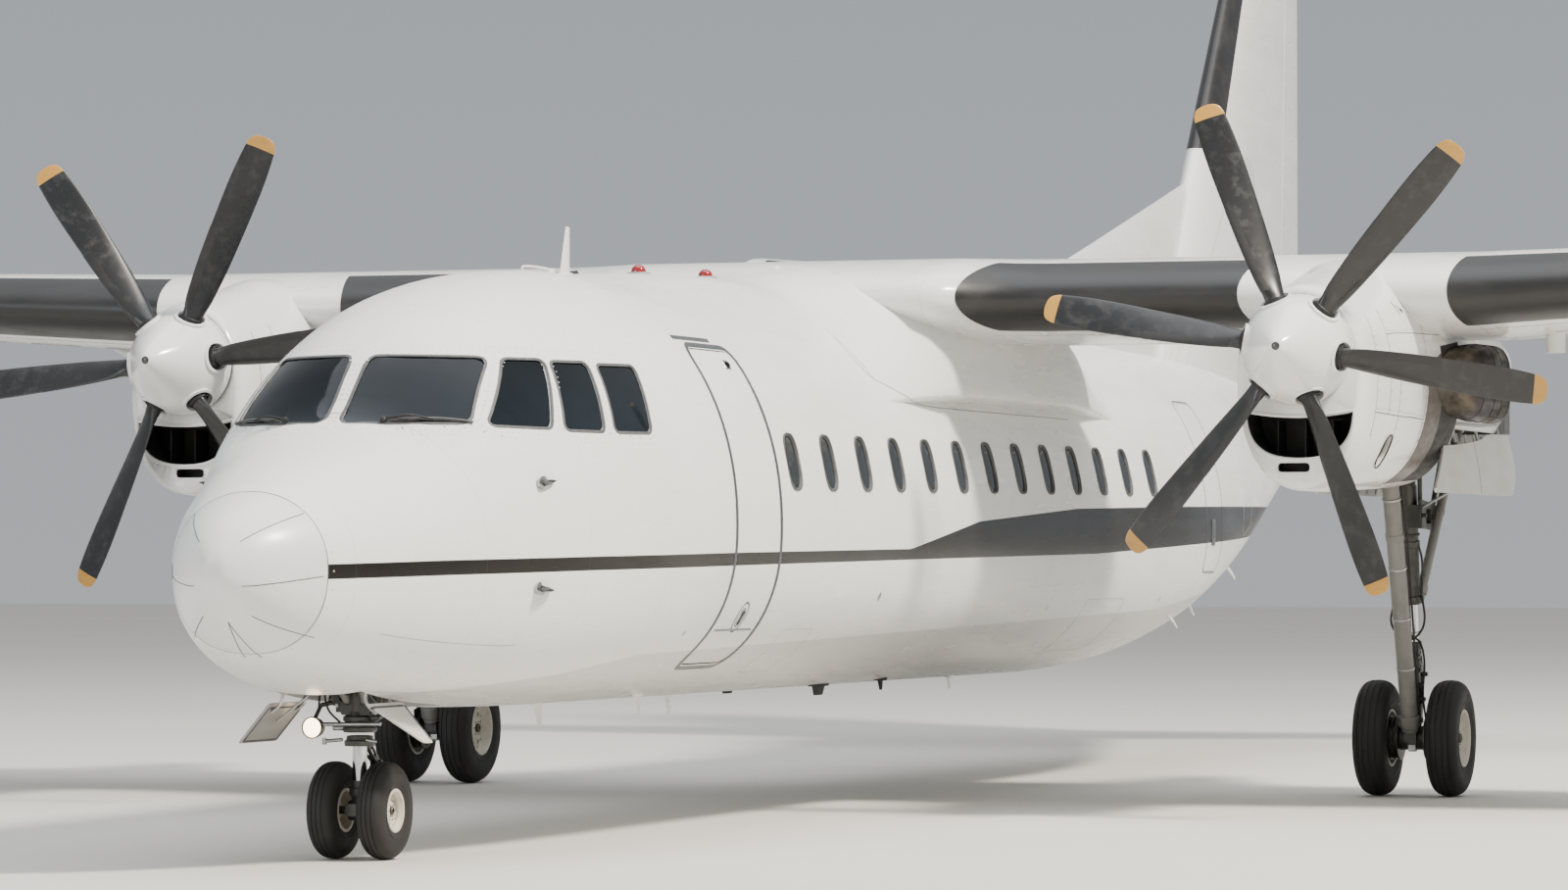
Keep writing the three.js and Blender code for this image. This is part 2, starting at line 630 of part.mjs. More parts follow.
const shaftRod = (from, to, radius, sides) => rod(
  vec(PROP.x, from, PROP.z), vec(PROP.x, to, PROP.z), radius, radius, sides);

const bladeTurns = (phase) => Array.from({ length: PROP.blades }, (_, i) => phase + (360 / PROP.blades) * i);

function bladeSet(phase) {
  const hub = shaftRod(PROP.station - PROP.hubFore, PROP.station + PROP.hubAft, PROP.hub, 12);
  return join(hub, ...bladeTurns(phase).map(blade));
}

// The spinner, open at the back for the hub and at six places for the blade roots.
function spinnerCap(phase) {
  const outline = SPINNER.map(([along, radius]) => new THREE.Vector2(radius, along));
  outline.push(new THREE.Vector2(0, outline[outline.length - 1].y));
  const cap = new THREE.LatheGeometry(outline, SPINNER_STEPS);
  cap.translate(PROP.x, PROP.tip - MIDDLE, PROP.z);
  const holes = bladeTurns(phase).map((turn) => rod(hubPoint, hubPoint.clone().add(new THREE.Vector3(
    600 * Math.sin(rad(turn)), 0, 600 * Math.cos(rad(turn)))), PROP.rootHole, PROP.rootHole, 10));
  const bore = shaftRod(PROP.station - PROP.hubFore - 3, PROP.back + 20, PROP.bore, 12);
  return cut(solidOf(cap), bore, ...holes);
}

// Wheels

// A tyre as a ring about the X axis: rounded tread, straight bead. Its flats touch the
// true rolling circle, so that it stands at its real height.
function tyre(wheel, centre) {
  const { tyre: outerR, width, rim } = wheel;
  const half = width / 2;
  const depth = outerR - rim;
  const flat = 1 / Math.cos(Math.PI / TYRE_STEPS);
  const profile = [
    [rim, -half * 0.62], [rim + depth * 0.3, -half * 0.97], [rim + depth * 0.62, -half * 0.96],
    [rim + depth * 0.92, -half * 0.6], [outerR, -half * 0.2], [outerR, half * 0.2],
    [rim + depth * 0.92, half * 0.6], [rim + depth * 0.62, half * 0.96],
    [rim + depth * 0.3, half * 0.97], [rim, half * 0.62], [rim, -half * 0.62],
  ];
  return turned(profile.map(([r, along]) => [r * flat, along]), centre, TYRE_STEPS);
}

// Two rims on one axle.
function wheelPair(wheel, centre) {
  const { width, rim, spacing, axle } = wheel;
  const half = width * 0.31;
  const seat = rim - 1;
  const one = (side) => {
    const face = side * half;
    const profile = [
      [0, -face * 0.75], [seat * 0.75, -face * 0.75], [seat, -face], [seat, face],
      [seat * 0.86, face], [seat * 0.8, face * 0.3], [seat * 0.5, face * 0.2],
      [seat * 0.4, face * 0.95], [0, face * 0.95],
    ];
    return turned(profile, centre.clone().add(new THREE.Vector3(side * spacing, 0, 0)), RIM_STEPS);
  };
  const bar = rod(centre.clone().add(new THREE.Vector3(-spacing, 0, 0)),
    centre.clone().add(new THREE.Vector3(spacing, 0, 0)), axle, axle, 16);
  return join(one(1), one(-1), bar);
}

// Landing-gear legs

const strut = (x, [from, to, radius, endRadius, sides]) => {
  const [a, b] = [from, to].map(([station, z, out]) => vec(x + out, station, z));
  return rod(a, b, radius, endRadius, sides);
};
const crossTube = (inner, outer, [station, z, radius]) => rod(
  vec(inner, station, z), vec(outer, station, z), radius, radius, 8);
const blockOf = ({ half, from, to, low, high }, x = 0) => box(x - half, x + half, from, to, low, high);

// The boss that the axle turns in, and the hole through it.
function axleBoss(x, station, z, boss, axle) {
  const across = (half, radius, sides) => rod(
    vec(x - half, station, z), vec(x + half, station, z), radius, radius, sides);
  return {
    solid: across(boss.half, boss.radius, boss.sides),
    hole: across(boss.half * 2, axle + boss.room, 14),
  };
}

// Main leg on the port side: shock strut, front tube, rear braces and their frame
function mainLeg() {
  const { solid, hole } = axleBoss(MAIN.x, MAIN.station, MAIN.tyre, MAIN_AXLE_BOSS, MAIN.axle);
  const tubes = MAIN_CROSS_TUBES.map((tube) => (
    crossTube(MAIN_BAY.inner + TOUCH, MAIN_BAY.outer - TOUCH, tube)));
  return cut(join(solid, ...MAIN_STRUTS.map((row) => strut(MAIN.x, row)), ...tubes,
    blockOf(MAIN_FRAME, MAIN.x)), hole);
}

// Nose leg above the steering collar, with the arm of the taxi lamp
function noseLeg() {
  const wall = NOSE_BAY.half - TOUCH;
  return join(...NOSE_STRUTS.map((row) => strut(0, row)),
    ...NOSE_CROSS_TUBES.map((tube) => crossTube(-wall, wall, tube)), blockOf(NOSE_FRAME),
    box(-LAMP_ARM.outer, -LAMP_ARM.inner, LAMP_ARM.from, LAMP_ARM.to, LAMP_ARM.low, LAMP_ARM.high));
}

// The part that steers: the lower strut with its torque links and towing block
function noseFork() {
  const { solid, hole } = axleBoss(0, NOSE.station, NOSE.tyre, FORK_AXLE_BOSS, NOSE.axle);
  return cut(join(solid, ...FORK_STRUTS.map((row) => strut(0, row)), blockOf(TOW_BLOCK)), hole);
}

// Openings and panels in the fuselage skin

// A convex outline with every edge moved outward by the gap.
function growOutline(outline, gap) {
  const mid = [0, 1].map((k) => outline.reduce((sum, p) => sum + p[k], 0) / outline.length);
  const edges = outline.map((p, i) => {
    const q = outline[(i + 1) % outline.length];
    const length = Math.hypot(q[0] - p[0], q[1] - p[1]);
    const [nu, nv] = [(q[1] - p[1]) / length, (p[0] - q[0]) / length];
    const way = (mid[0] - p[0]) * nu + (mid[1] - p[1]) * nv < 0 ? 1 : -1;
    return { nu: nu * way, nv: nv * way, reach: (p[0] * nu + p[1] * nv) * way + gap };
  });
  return edges.map((edge, i) => {
    const last = edges[(i + edges.length - 1) % edges.length];
    const cross = last.nu * edge.nv - last.nv * edge.nu;
    return [(last.reach * edge.nv - edge.reach * last.nv) / cross,
      (edge.reach * last.nu - last.reach * edge.nu) / cross];
  });
}

function doorOutline(door) {
  return [[door.from, door.low], [door.to, door.low], [door.to, door.high], [door.from, door.high]];
}

// Where an outline is pushed through the skin: from and to along the view's axis
const REACH = { screen: [900, 2900], pane: [400, 1800], door: [300, 1800] };

// A pane or door skin: the outline's share of the fuselage's outer shell.
function shellPiece(outline, view, [from, to], proud, depth) {
  return largest(cut(
    prism(outline, view, from, to).intersect(fuselageSkin(RADOME_END + TOUCH, LENGTH, proud)),
    fuselageSkin(RADOME_END, LENGTH, -depth)));
}

// The recess that a pane or door lies in, with a gap round it.
function pocket(outline, view, [from, to], depth, gap) {
  return cut(prism(growOutline(outline, gap), view, from, to), fuselageSkin(RADOME_END, LENGTH, -depth));
}

// The skin's half width at a station and height.
function sideX(station, z) {
  const [, half, mid, top, bottom] = rowAt(FUSELAGE, station);
  const [rise, power] = z >= mid
    ? [(z - mid) / (top - mid), FUSELAGE_ROUND.upper]
    : [(mid - z) / (mid - bottom), FUSELAGE_ROUND.lower];
  return half * (1 - rise ** power) ** (1 / power);
}

// Fuselage

// Room under the vestibule's floor for the door's lower edge, which swings inward and up.
const doorSwing = rod(
  vec(DOOR.hingeX, DOOR.from - MOVE, DOOR.low), vec(DOOR.hingeX, DOOR.to + MOVE, DOOR.low),
  DOOR.sill, DOOR.sill, 24,
).intersect(box(0, VESTIBULE.outer, DOOR.from - MOVE, DOOR.to + MOVE, DOOR.low, VESTIBULE.low));

add('fuselage', (() => {
  const recesses = [
    pocket(doorOutline(DOOR), 'side', REACH.door, DOOR.depth + MOVE, MOVE),
    pocket(doorOutline(AFT_DOOR), 'side', REACH.door, AFT_DOOR.depth + TOUCH, SEAL),
  ];
  for (const way of [PORT, STARBOARD]) {
    recesses.push(mirrored(way, pocket(WINDSCREEN, 'front', REACH.screen, GLASS.depth + TOUCH, SEAL)));
    for (const pane of SIDE_WINDOWS) {
      recesses.push(mirrored(way, pocket(pane, 'side', REACH.pane, GLASS.depth + TOUCH, SEAL)));
    }
  }
  const noseBay = box(-NOSE_BAY.half, NOSE_BAY.half, NOSE_BAY.from, NOSE_BAY.to,
    NOSE_BAY.open, NOSE_BAY.roof);
  const vestibule = box(VESTIBULE.inner, VESTIBULE.outer, VESTIBULE.from, VESTIBULE.to,
    VESTIBULE.low, VESTIBULE.high);
  const pad = rod(vec(0, NOSE_PAD.station, NOSE_PAD.top), vec(0, NOSE_PAD.station, NOSE_PAD.low),
    NOSE_PAD.radius, NOSE_PAD.radius, NOSE_PAD.sides);
  return largest(join(
    cut(fuselageHull, wingAcross(TOUCH), noseBay, vestibule, doorSwing, ...recesses), pad));
})(), 'white');

add('radome', fuselageSkin(0, RADOME_END), 'white');

for (const [word, way] of SIDES) {
  add(`windscreen_${word}`, mirrored(way,
    shellPiece(WINDSCREEN, 'front', REACH.screen, GLASS.proud, GLASS.depth)), 'glass');
  SIDE_WINDOWS.forEach((pane, i) => {
    add(`side_window_${word}_${i + 1}`, mirrored(way,
      shellPiece(pane, 'side', REACH.pane, GLASS.proud, GLASS.depth)), 'glass');
  });
}
add('aft_door_port', shellPiece(doorOutline(AFT_DOOR), 'side', REACH.door, 0, AFT_DOOR.depth), 'white');

// Forward door: outer skin and a stair on its inner face
add('forward_door', (() => {
  const middle = (DOOR.from + DOOR.to) / 2;
  const steps = Array.from({ length: STAIR.steps }, (_, i) => {
    const z = STAIR.low + (i * (STAIR.high - STAIR.low)) / (STAIR.steps - 1);
    const x = sideX(middle, z);
    return box(x - STAIR.reach, x - STAIR.root, DOOR.from + STAIR.inset, DOOR.to - STAIR.inset,
      z - STAIR.half, z + STAIR.half);
  });
  return join(shellPiece(doorOutline(DOOR), 'side', REACH.door, 0, DOOR.depth), ...steps);
})(), 'white', vec(DOOR.hingeX, (DOOR.from + DOOR.to) / 2, DOOR.low));

// Wings and nacelles

add('wing_center', wingCentre, 'white');
add('wing_fairing', fairing, 'white');

for (const [word, way] of SIDES) {
  const wing = join(cut(outerSkin, aileron.space, flapBlock(FLAP.outerFrom, FLAP.outerTo, 0)), wingPad);
  const hinge = aileronEnds[0].point;
  add(`outer_wing_${word}`, mirrored(way, largest(wing)), 'white');
  add(`aileron_${word}`, mirrored(way, largest(aileron.blade)), 'white',
    new THREE.Vector3(way * hinge.x, hinge.y, hinge.z));
  add(`flap_inner_${word}`, mirrored(way, largest(
    flapSource.intersect(flapBlock(FLAP.innerFrom, FLAP.innerTo, MOVE)))), 'white');
  add(`flap_outer_${word}`, mirrored(way, largest(
    flapSource.intersect(flapBlock(FLAP.outerFrom, FLAP.outerTo, MOVE)))), 'white');
  add(`nacelle_${word}`, mirrored(way, nacelle), 'white');
  add(`engine_block_${word}`, mirrored(way, enginePlace(0)), 'metal');
  add(`exhaust_${word}`, mirrored(way, exhaustPipe), 'dark');
}

// Tail

const finCuts = [
  { x: 0, z: FIN.foot, lead: FIN.lead, chord: FIN.trail - FIN.lead, thick: FIN.thick },
  {
    x: 0, z: FIN.top - FIN_TOP.down, lead: FIN_TOP.lead, chord: FIN.trail - FIN_TOP.lead,
    thick: FIN.thick,
  },
  { x: 0, z: FIN.top, lead: FIN_TOP.topLead, chord: FIN_TOP.topChord, thick: FIN_TOP.thick },
];
const finWhole = (grow) => skin(finCuts.map((row) => foilRing(row, 'x', grow)));
const finWidth = (z, hinge) => {
  const row = between(finCuts[0], finCuts[1], (z - FIN.foot) / (finCuts[1].z - FIN.foot));
  return halfThickness((hinge - row.lead) / row.chord, row.thick) * row.chord;
};
const rudderEnds = [[FIN.rudderFoot, FIN.hingeFoot], [FIN.rudderTop, FIN.hingeTop]].map(([z, station]) => ({
  point: vec(0, station, z), radius: finWidth(z, station),
}));
const rudder = hinged(finWhole(0), rudderEnds, 'x', RUDDER_REACH, MOVE, MOVE);
// Room in the tailplane for the rudder's sides, which reach forward when it swings
const rudderSwing = rod(rudderEnds[0].point, rudderEnds[1].point,
  rudderEnds[0].radius + RUDDER_SWING, rudderEnds[1].radius + RUDDER_SWING);

const tailCut = (x) => {
  const share = Math.abs(x) / TAILPLANE.half;
  return {
    x, lead: TAILPLANE.lead + (TAILPLANE.tipLead - TAILPLANE.lead) * share,
    chord: TAILPLANE.chord + (TAILPLANE.tipChord - TAILPLANE.chord) * share,
    z: TAILPLANE.z + Math.abs(x) * Math.tan(rad(TAILPLANE.dihedral)), thick: TAILPLANE.thick,
  };
};
const tailTip = (way) => ({
  ...tailCut(way * TAILPLANE.half), lead: TAILPLANE.tipLead + TAIL_TIP.lead,
  chord: TAILPLANE.tipChord - TAIL_TIP.chord, thick: TAIL_TIP.thick,
});
const tailWhole = (grow) => skin([
  tailTip(STARBOARD), tailCut(TAIL_TIP.round - TAILPLANE.half), tailCut(0),
  tailCut(TAILPLANE.half - TAIL_TIP.round), tailTip(PORT),
].map((row) => foilRing(row, 'z', grow)));
const elevatorEnds = [TAILPLANE.from, TAILPLANE.to].map((x) => hingeAt(tailCut(x), TAILPLANE.hinge, 'z'));
const elevator = hinged(tailWhole(0), elevatorEnds, 'z', TAILPLANE.reach, ELEVATOR_END, MOVE);

add('fin', largest(cut(finWhole(0), rudder.space, fuselageSwell, tailWhole(TOUCH))), 'white');
add('rudder', largest(rudder.blade), 'white', rudderEnds[0].point);
add('tailplane', largest(cut(tailWhole(0), elevator.space, mirrored(STARBOARD, elevator.space),
  rudder.space, rudderSwing)), 'white');
for (const [word, way] of SIDES) {
  add(`elevator_${word}`, mirrored(way, largest(cut(elevator.blade, blockOf(RUDDER_FOOT)))), 'white');
}

add('dorsal_fin', largest(cut(prism(DORSAL, 'side', -DORSAL_HALF, DORSAL_HALF),
  fuselageSwell, finWhole(TOUCH), fairingWhole(TOUCH))), 'white');

// Propellers

for (const [word, way] of SIDES) {
  // Both propellers turn the same way, so the starboard one is moved across, not mirrored.
  const shift = [(way - 1) * hubPoint.x, 0, 0];
  const home = new THREE.Vector3(way * hubPoint.x, hubPoint.y, hubPoint.z);
  add(`propeller_blades_${word}`, bladeSet(PROP.phase[word]).translate(shift), 'boot', home);
  add(`spinner_${word}`, largest(spinnerCap(PROP.phase[word])).translate(shift), 'white', home);
}

// Main gear

for (const [word, way] of SIDES) {
  const centre = vec(way * MAIN.x, MAIN.station, MAIN.tyre);
  add(`main_leg_${word}`, mirrored(way, mainLeg()), 'metal');
  add(`main_hubs_${word}`, wheelPair(MAIN, centre), 'hub', centre);
  for (const [place, offset] of [['inner', -MAIN.spacing], ['outer', MAIN.spacing]]) {
    const middle = centre.clone().add(new THREE.Vector3(way * offset, 0, 0));
    add(`main_tyre_${word}_${place}`, tyre(MAIN, middle), 'tyre', centre);
  }
  for (const [place, [highX, lowX]] of Object.entries(MAIN_DOORS.edges)) {
    const { high, low, from, to, thick } = MAIN_DOORS;
    const outline = [[highX, high], [lowX, low], [lowX + thick, low], [highX + thick, high]];
    add(`main_gear_door_${place}_${word}`, mirrored(way, prism(outline, 'front', from, to)), 'grey');
  }
}

// Nose gear

const noseCentre = vec(0, NOSE.station, NOSE.tyre);
add('nose_leg', noseLeg(), 'metal');
add('nose_fork', noseFork(), 'metal', noseCentre);
add('nose_hubs', wheelPair(NOSE, noseCentre), 'hub', noseCentre);
for (const [word, way] of SIDES) {
  const middle = noseCentre.clone().add(new THREE.Vector3(way * NOSE.spacing, 0, 0));
  add(`nose_tyre_${word}`, tyre(NOSE, middle), 'tyre', noseCentre);
  add(`nose_gear_door_${word}`, mirrored(way,
    prism(NOSE_DOOR.outline, 'front', NOSE_DOOR.from, NOSE_DOOR.to)), 'white');
}
add('taxi_lamp', rod(vec(LAMP.x, LAMP.from, LAMP.z), vec(LAMP.x, LAMP.to, LAMP.z),
  LAMP.front, LAMP.back, LAMP.sides), 'lamp');

export default airliner;
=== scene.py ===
"""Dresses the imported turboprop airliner: smooth skins, glazing, gear detail and procedural finishes."""
import math
import bmesh
import bpy
import numpy as np
from mathutils import Matrix, Vector
from mathutils.bvhtree import BVHTree
from mathutils.interpolate import poly_3d_calc


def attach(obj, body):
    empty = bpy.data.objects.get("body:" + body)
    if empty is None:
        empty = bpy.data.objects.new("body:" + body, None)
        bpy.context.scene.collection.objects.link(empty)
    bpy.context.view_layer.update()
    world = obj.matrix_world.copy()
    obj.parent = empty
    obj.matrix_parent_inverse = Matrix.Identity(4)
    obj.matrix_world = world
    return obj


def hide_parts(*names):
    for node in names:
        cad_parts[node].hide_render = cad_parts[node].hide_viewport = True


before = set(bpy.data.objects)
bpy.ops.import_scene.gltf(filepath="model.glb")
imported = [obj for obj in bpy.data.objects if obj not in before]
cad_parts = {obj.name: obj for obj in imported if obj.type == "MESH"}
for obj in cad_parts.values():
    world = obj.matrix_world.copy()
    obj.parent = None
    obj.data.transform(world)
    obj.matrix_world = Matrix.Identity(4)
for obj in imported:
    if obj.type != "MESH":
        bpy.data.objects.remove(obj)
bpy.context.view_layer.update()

# Main sizes of the aeroplane, in metres. Station 0 is the nose tip and stations grow aft.
LENGTH = 25.25
MIDDLE = LENGTH / 2
SPAN = 29.0
SIDES = (("port", 1), ("starboard", -1))

# Fuselage: station, half width, height of the widest line, crown, keel
FUSELAGE = (
    (0, .03, 1.7, 1.73, 1.67), (.04, .12, 1.7, 1.83, 1.58), (.12, .22, 1.7, 1.925, 1.485),
    (.27, .345, 1.7, 2.03, 1.36), (.5, .475, 1.7, 2.135, 1.225), (.82, .63, 1.715, 2.25, 1.115),
    (1.2, .79, 1.745, 2.385, 1.015), (1.64, .93, 1.785, 2.56, .945), (2.08, 1.05, 1.83, 2.955, .905),
    (2.6, 1.17, 1.88, 3.235, .878), (3.2, 1.27, 1.93, 3.425, .862), (3.9, 1.34, 1.96, 3.53, .852),
    (4.7, 1.37, 1.97, 3.574, .85), (14.6, 1.37, 1.97, 3.574, .85), (15.7, 1.355, 1.98, 3.574, .895),
    (17, 1.29, 2.02, 3.568, 1.04), (18.4, 1.145, 2.11, 3.552, 1.3), (19.8, .95, 2.24, 3.525, 1.63),
    (21.2, .73, 2.41, 3.48, 1.97), (22.6, .51, 2.6, 3.405, 2.29), (23.8, .34, 2.75, 3.3, 2.54),
    (24.7, .215, 2.85, 3.165, 2.72), (25.13, .12, 2.9, 3.03, 2.81), (LENGTH, .05, 2.91, 2.955, 2.865),
)
UPPER_ROUND = 2.1
LOWER_ROUND = 2.35
RADOME_END = .5
AROUND = 144

# Wing: a level centre out to the joint, and tapered outer wings that rise
WING = dict(lead=9.56, chord=3.46, thick=.17, z=3.595, sink=.05, camber=.022, joint=4.95,
            tip_lead=10.08, tip_chord=1.4, tip_thick=.14, dihedral=2.5)
TIP_X = SPAN / 2
TIP_CUT_X = TIP_X - .16
FLAP_FRONT = .70
FLAPS = dict(inner=(1.48, 3.48), outer=(4.76, 9.9))
AILERON = dict(hinge=.74, first=9.96, last=13.9)
MOVE_GAP = .008

# Nacelle: station, half width, height of the widest line, top, bottom
NACELLE_X = 4.1
NACELLE = (
    (8.42, .405, 3.01, 3.555, 2.26), (8.45, .432, 3.01, 3.585, 2.232), (8.7, .475, 3.01, 3.64, 2.215),
    (9.2, .52, 3.02, 3.73, 2.215), (9.7, .545, 3.03, 3.83, 2.23), (10.6, .555, 3.05, 3.85, 2.255),
    (11.8, .545, 3.08, 3.78, 2.32), (12.8, .5, 3.13, 3.64, 2.44), (13.5, .4, 3.19, 3.5, 2.64),
    (14.2, .24, 3.26, 3.43, 2.95), (14.75, .06, 3.32, 3.37, 3.25),
)

# Propeller
HUB = dict(station=8.233, z=3.163, radius=1.745, back=8.404, tip=7.754)
BLADE_PHASE = dict(port=40, starboard=24)

# Landing gear
MAIN = dict(x=3.92, station=12.743, tyre=.43, width=.245, spacing=.273, rim=.216, axle=.038)
NOSE = dict(x=0, station=2.06, tyre=.286, width=.168, spacing=.157, rim=.132, axle=.024)


def circle(count, extra=0):
    """Even angles round a circle; one extra comes back to the start."""
    return [2 * math.pi * i / count for i in range(count + extra)]


def at(x, station, z):
    """A point of the aeroplane in the row frame."""
    return Vector((x, station - MIDDLE, z))


def linear(hex_colour):
    """An sRGB hex colour as the linear values that the shader takes."""
    parts = [int(hex_colour[i:i + 2], 16) / 255 for i in (1, 3, 5)]
    return tuple(c / 12.92 if c <= .04045 else ((c + .055) / 1.055) ** 2.4 for c in parts) + (1,)


def put(tree, kind, inputs=None, **settings):
    """Adds one node: its own settings, and its sockets as values or as outputs to link."""
    made = tree.nodes.new(kind)
    for name, value in settings.items():
        setattr(made, name, value)
    for key, value in (inputs or {}).items():
        if isinstance(value, bpy.types.NodeSocket):
            tree.links.new(value, made.inputs[key])
        else:
            made.inputs[key].default_value = value
    return made


def axes(tree, place):
    """The X, Y and Z of a place."""
    return put(tree, "ShaderNodeSeparateXYZ", {"Vector": place}).outputs


def hub_radius(tree, place, centre_x):
    """The distance from a propeller's axis."""
    centred = put(tree, "ShaderNodeMapping", {
        "Vector": place, "Location": (-centre_x, 0, -HUB["z"]), "Scale": (1, 0, 1)}).outputs["Vector"]
    return put(tree, "ShaderNodeVectorMath", {0: centred}, operation="LENGTH").outputs["Value"]


def faded(tree, value, first, last, start=0, end=1):
    """A value that runs from start to end between two places, and stays there beyond them."""
    return put(tree, "ShaderNodeMapRange", {
        "Value": value, "From Min": first, "From Max": last, "To Min": start, "To Max": end}).outputs[0]


def ramp(tree, factor, stops, interpolation="LINEAR"):
    """A colour ramp's output. Stops are positions with hex colours or grey values."""
    made = put(tree, "ShaderNodeValToRGB", {"Fac": factor})
    made.color_ramp.interpolation = interpolation
    elements = made.color_ramp.elements
    while len(elements) < len(stops):
        elements.new(.5)
    for element, (position, value) in zip(elements, sorted(stops, key=lambda stop: stop[0])):
        element.position = position
        element.color = linear(value) if isinstance(value, str) else (value, value, value, 1)
    return made.outputs["Color"]


def mixed(tree, factor, first, second, blend="MIX"):
    """Two colours mixed by a factor; each is a socket or a hex colour."""
    made = put(tree, "ShaderNodeMix", data_type="RGBA", blend_type=blend)
    for key, value in ((0, factor), (6, first), (7, second)):
        if isinstance(value, str):
            value = linear(value)
        if isinstance(value, bpy.types.NodeSocket):
            tree.links.new(value, made.inputs[key])
        else:
            made.inputs[key].default_value = value
    return made.outputs[2]


def tinted(tree, mask, share, colour, over):
    """A colour with another laid over it by this share of the mask."""
    return mixed(tree, maths(tree, "MULTIPLY", mask, share), colour, over)


def maths(tree, operation, *values):
    """One Math node's output."""
    made = put(tree, "ShaderNodeMath", operation=operation)
    for socket, value in zip(made.inputs, values):
        if isinstance(value, bpy.types.NodeSocket):
            tree.links.new(value, socket)
        else:
            socket.default_value = value
    return made.outputs[0]


def finish_material(name, shader_values):
    """A new material with its shader, its tree and the object's own coordinates."""
    made = bpy.data.materials.new(name)
    made.use_nodes = True
    tree = made.node_tree
    shader = tree.nodes["Principled BSDF"]
    for key, value in shader_values.items():
        shader.inputs[key].default_value = value
    place = put(tree, "ShaderNodeTexCoord").outputs["Object"]
    return made, tree, shader, place


def noise(tree, place, size_mm, stretch=(1, 1, 1), detail=3.0, roughness=.5):
    """Noise whose cells are about this many millimetres across, stretched along the axes."""
    scaled = put(tree, "ShaderNodeMapping", {"Vector": place, "Scale": [1 / s for s in stretch]})
    made = put(tree, "ShaderNodeTexNoise", {
        "Vector": scaled.outputs["Vector"], "Scale": 1000 / size_mm, "Detail": detail,
        "Roughness": roughness})
    return made.outputs["Fac"]


def bump(tree, shader, height, distance_mm, strength=1.0, under=None):
    """Bump of a real height in millimetres, over another bump if one is given."""
    made = put(tree, "ShaderNodeBump", {
        "Height": height, "Distance": distance_mm / 1000, "Strength": strength})
    if under is not None:
        tree.links.new(under, made.inputs["Normal"])
    tree.links.new(made.outputs["Normal"], shader.inputs["Normal"])
    return made.outputs["Normal"]


def seams(tree, value, pitch, width, offset=0.0):
    """1 on thin lines that repeat along a coordinate, and 0 between them."""
    shifted = maths(tree, "ADD", value, -offset)
    cell = maths(tree, "PINGPONG", shifted, pitch / 2)
    return maths(tree, "LESS_THAN", cell, width / 2)


def stepped(tree, value, edges, inputs):
    """A Float Curve through points given in real metres, between the input limits."""
    low, high, floor, ceiling = inputs
    share = faded(tree, value, low, high)
    made = put(tree, "ShaderNodeFloatCurve", {"Value": share})
    curve = made.mapping.curves[0]
    points = [((x - low) / (high - low), (y - floor) / (ceiling - floor)) for x, y in edges]
    while len(curve.points) < len(points):
        curve.points.new(.5, .5)
    for point, (x, y) in zip(curve.points, points):
        point.location = (x, y)
        point.handle_type = "VECTOR"
    made.mapping.update()
    return faded(tree, made.outputs["Value"], 0, 1, floor, ceiling)


# White polyurethane paint sprayed over riveted aluminium: a clear gloss, slight skin ripple
# between the frames, thin sealant seams, and grime that the airflow has drawn aft.
def white_paint(name, tone="#e9eae8", grime="#b9b4a8", grime_share=.35, seam_y=None, seam_x=None,
                with_stripe_and_belly_shade=False, streak=(1, 7, 1)):
    # The striped paint is duller, or the dark stripe would mirror the pale studio along the side.
    made, tree, shader, place = finish_material(name, {
        "Roughness": .24, "IOR": 1.5, "Coat Weight": .04 if with_stripe_and_belly_shade else .45, "Coat Roughness": .08,
        "Specular IOR Level": .16 if with_stripe_and_belly_shade else .5})
    x, y, z = axes(tree, place)
    patch = noise(tree, place, 1400, (1, 1.6, 1), 4)
    run = noise(tree, place, 130, streak, 5, .6)
    dirt = maths(tree, "MULTIPLY", ramp(tree, patch, ((.42, 0.0), (.78, 1.0))),
                 ramp(tree, run, ((.35, .25), (.75, 1.0))))
    colour = tinted(tree, dirt, grime_share, tone, grime)
    # Striped paint also carries a light grey band of painted shade and ground reflection along the belly.
    if with_stripe_and_belly_shade:
        colour = stripe_and_belly_shade(tree, colour, y, z)
    lines = None
    for coordinate, rule in ((y, seam_y), (x, seam_x)):
        if rule:
            line = seams(tree, coordinate, *rule)
            lines = line if lines is None else maths(tree, "MAXIMUM", lines, line)
    if lines is not None:
        colour = tinted(tree, lines, .16, colour, "#5c5d5b")
    tree.links.new(colour, shader.inputs["Base Color"])
    gloss = ramp(tree, noise(tree, place, 220, streak, 3), ((.3, .2), (.8, .36)))
    tree.links.new(gloss, shader.inputs["Roughness"])
    ripple = noise(tree, place, 420, (1, 1.2, 1), 1)
    first = bump(tree, shader, ripple, 1.6)
    second = bump(tree, shader, noise(tree, place, 26, (1, 1, 1), 2), .05, 1, first)
    if lines is not None:
        bump(tree, shader, maths(tree, "MULTIPLY", lines, -1), .8, .5, second)
    return made


# Stripe edges and the top of the belly's painted shade: distance from the middle aft, height
STRIPE_TOP = ((-12.14, 1.727), (-11.3, 1.749), (-9.92, 1.771), (-7.82, 1.797), (-4.18, 1.827),
              (-2.58, 2.026), (-.02, 2.139), (3.19, 2.182), (7.05, 2.217), (12.6, 2.26))
STRIPE_LOW = ((-12.14, 1.645), (-11.3, 1.665), (-9.91, 1.69), (-7.79, 1.717), (-4.16, 1.754),
              (.53, 1.798), (3.33, 1.872), (7.54, 1.97), (12.6, 2.1))
BELLY_SHADE_TOP = ((-12.14, .9), (-9.6, 1.06), (-8.7, 1.172), (2.65, 1.352), (5.4, 1.52), (12.6, 2.3))


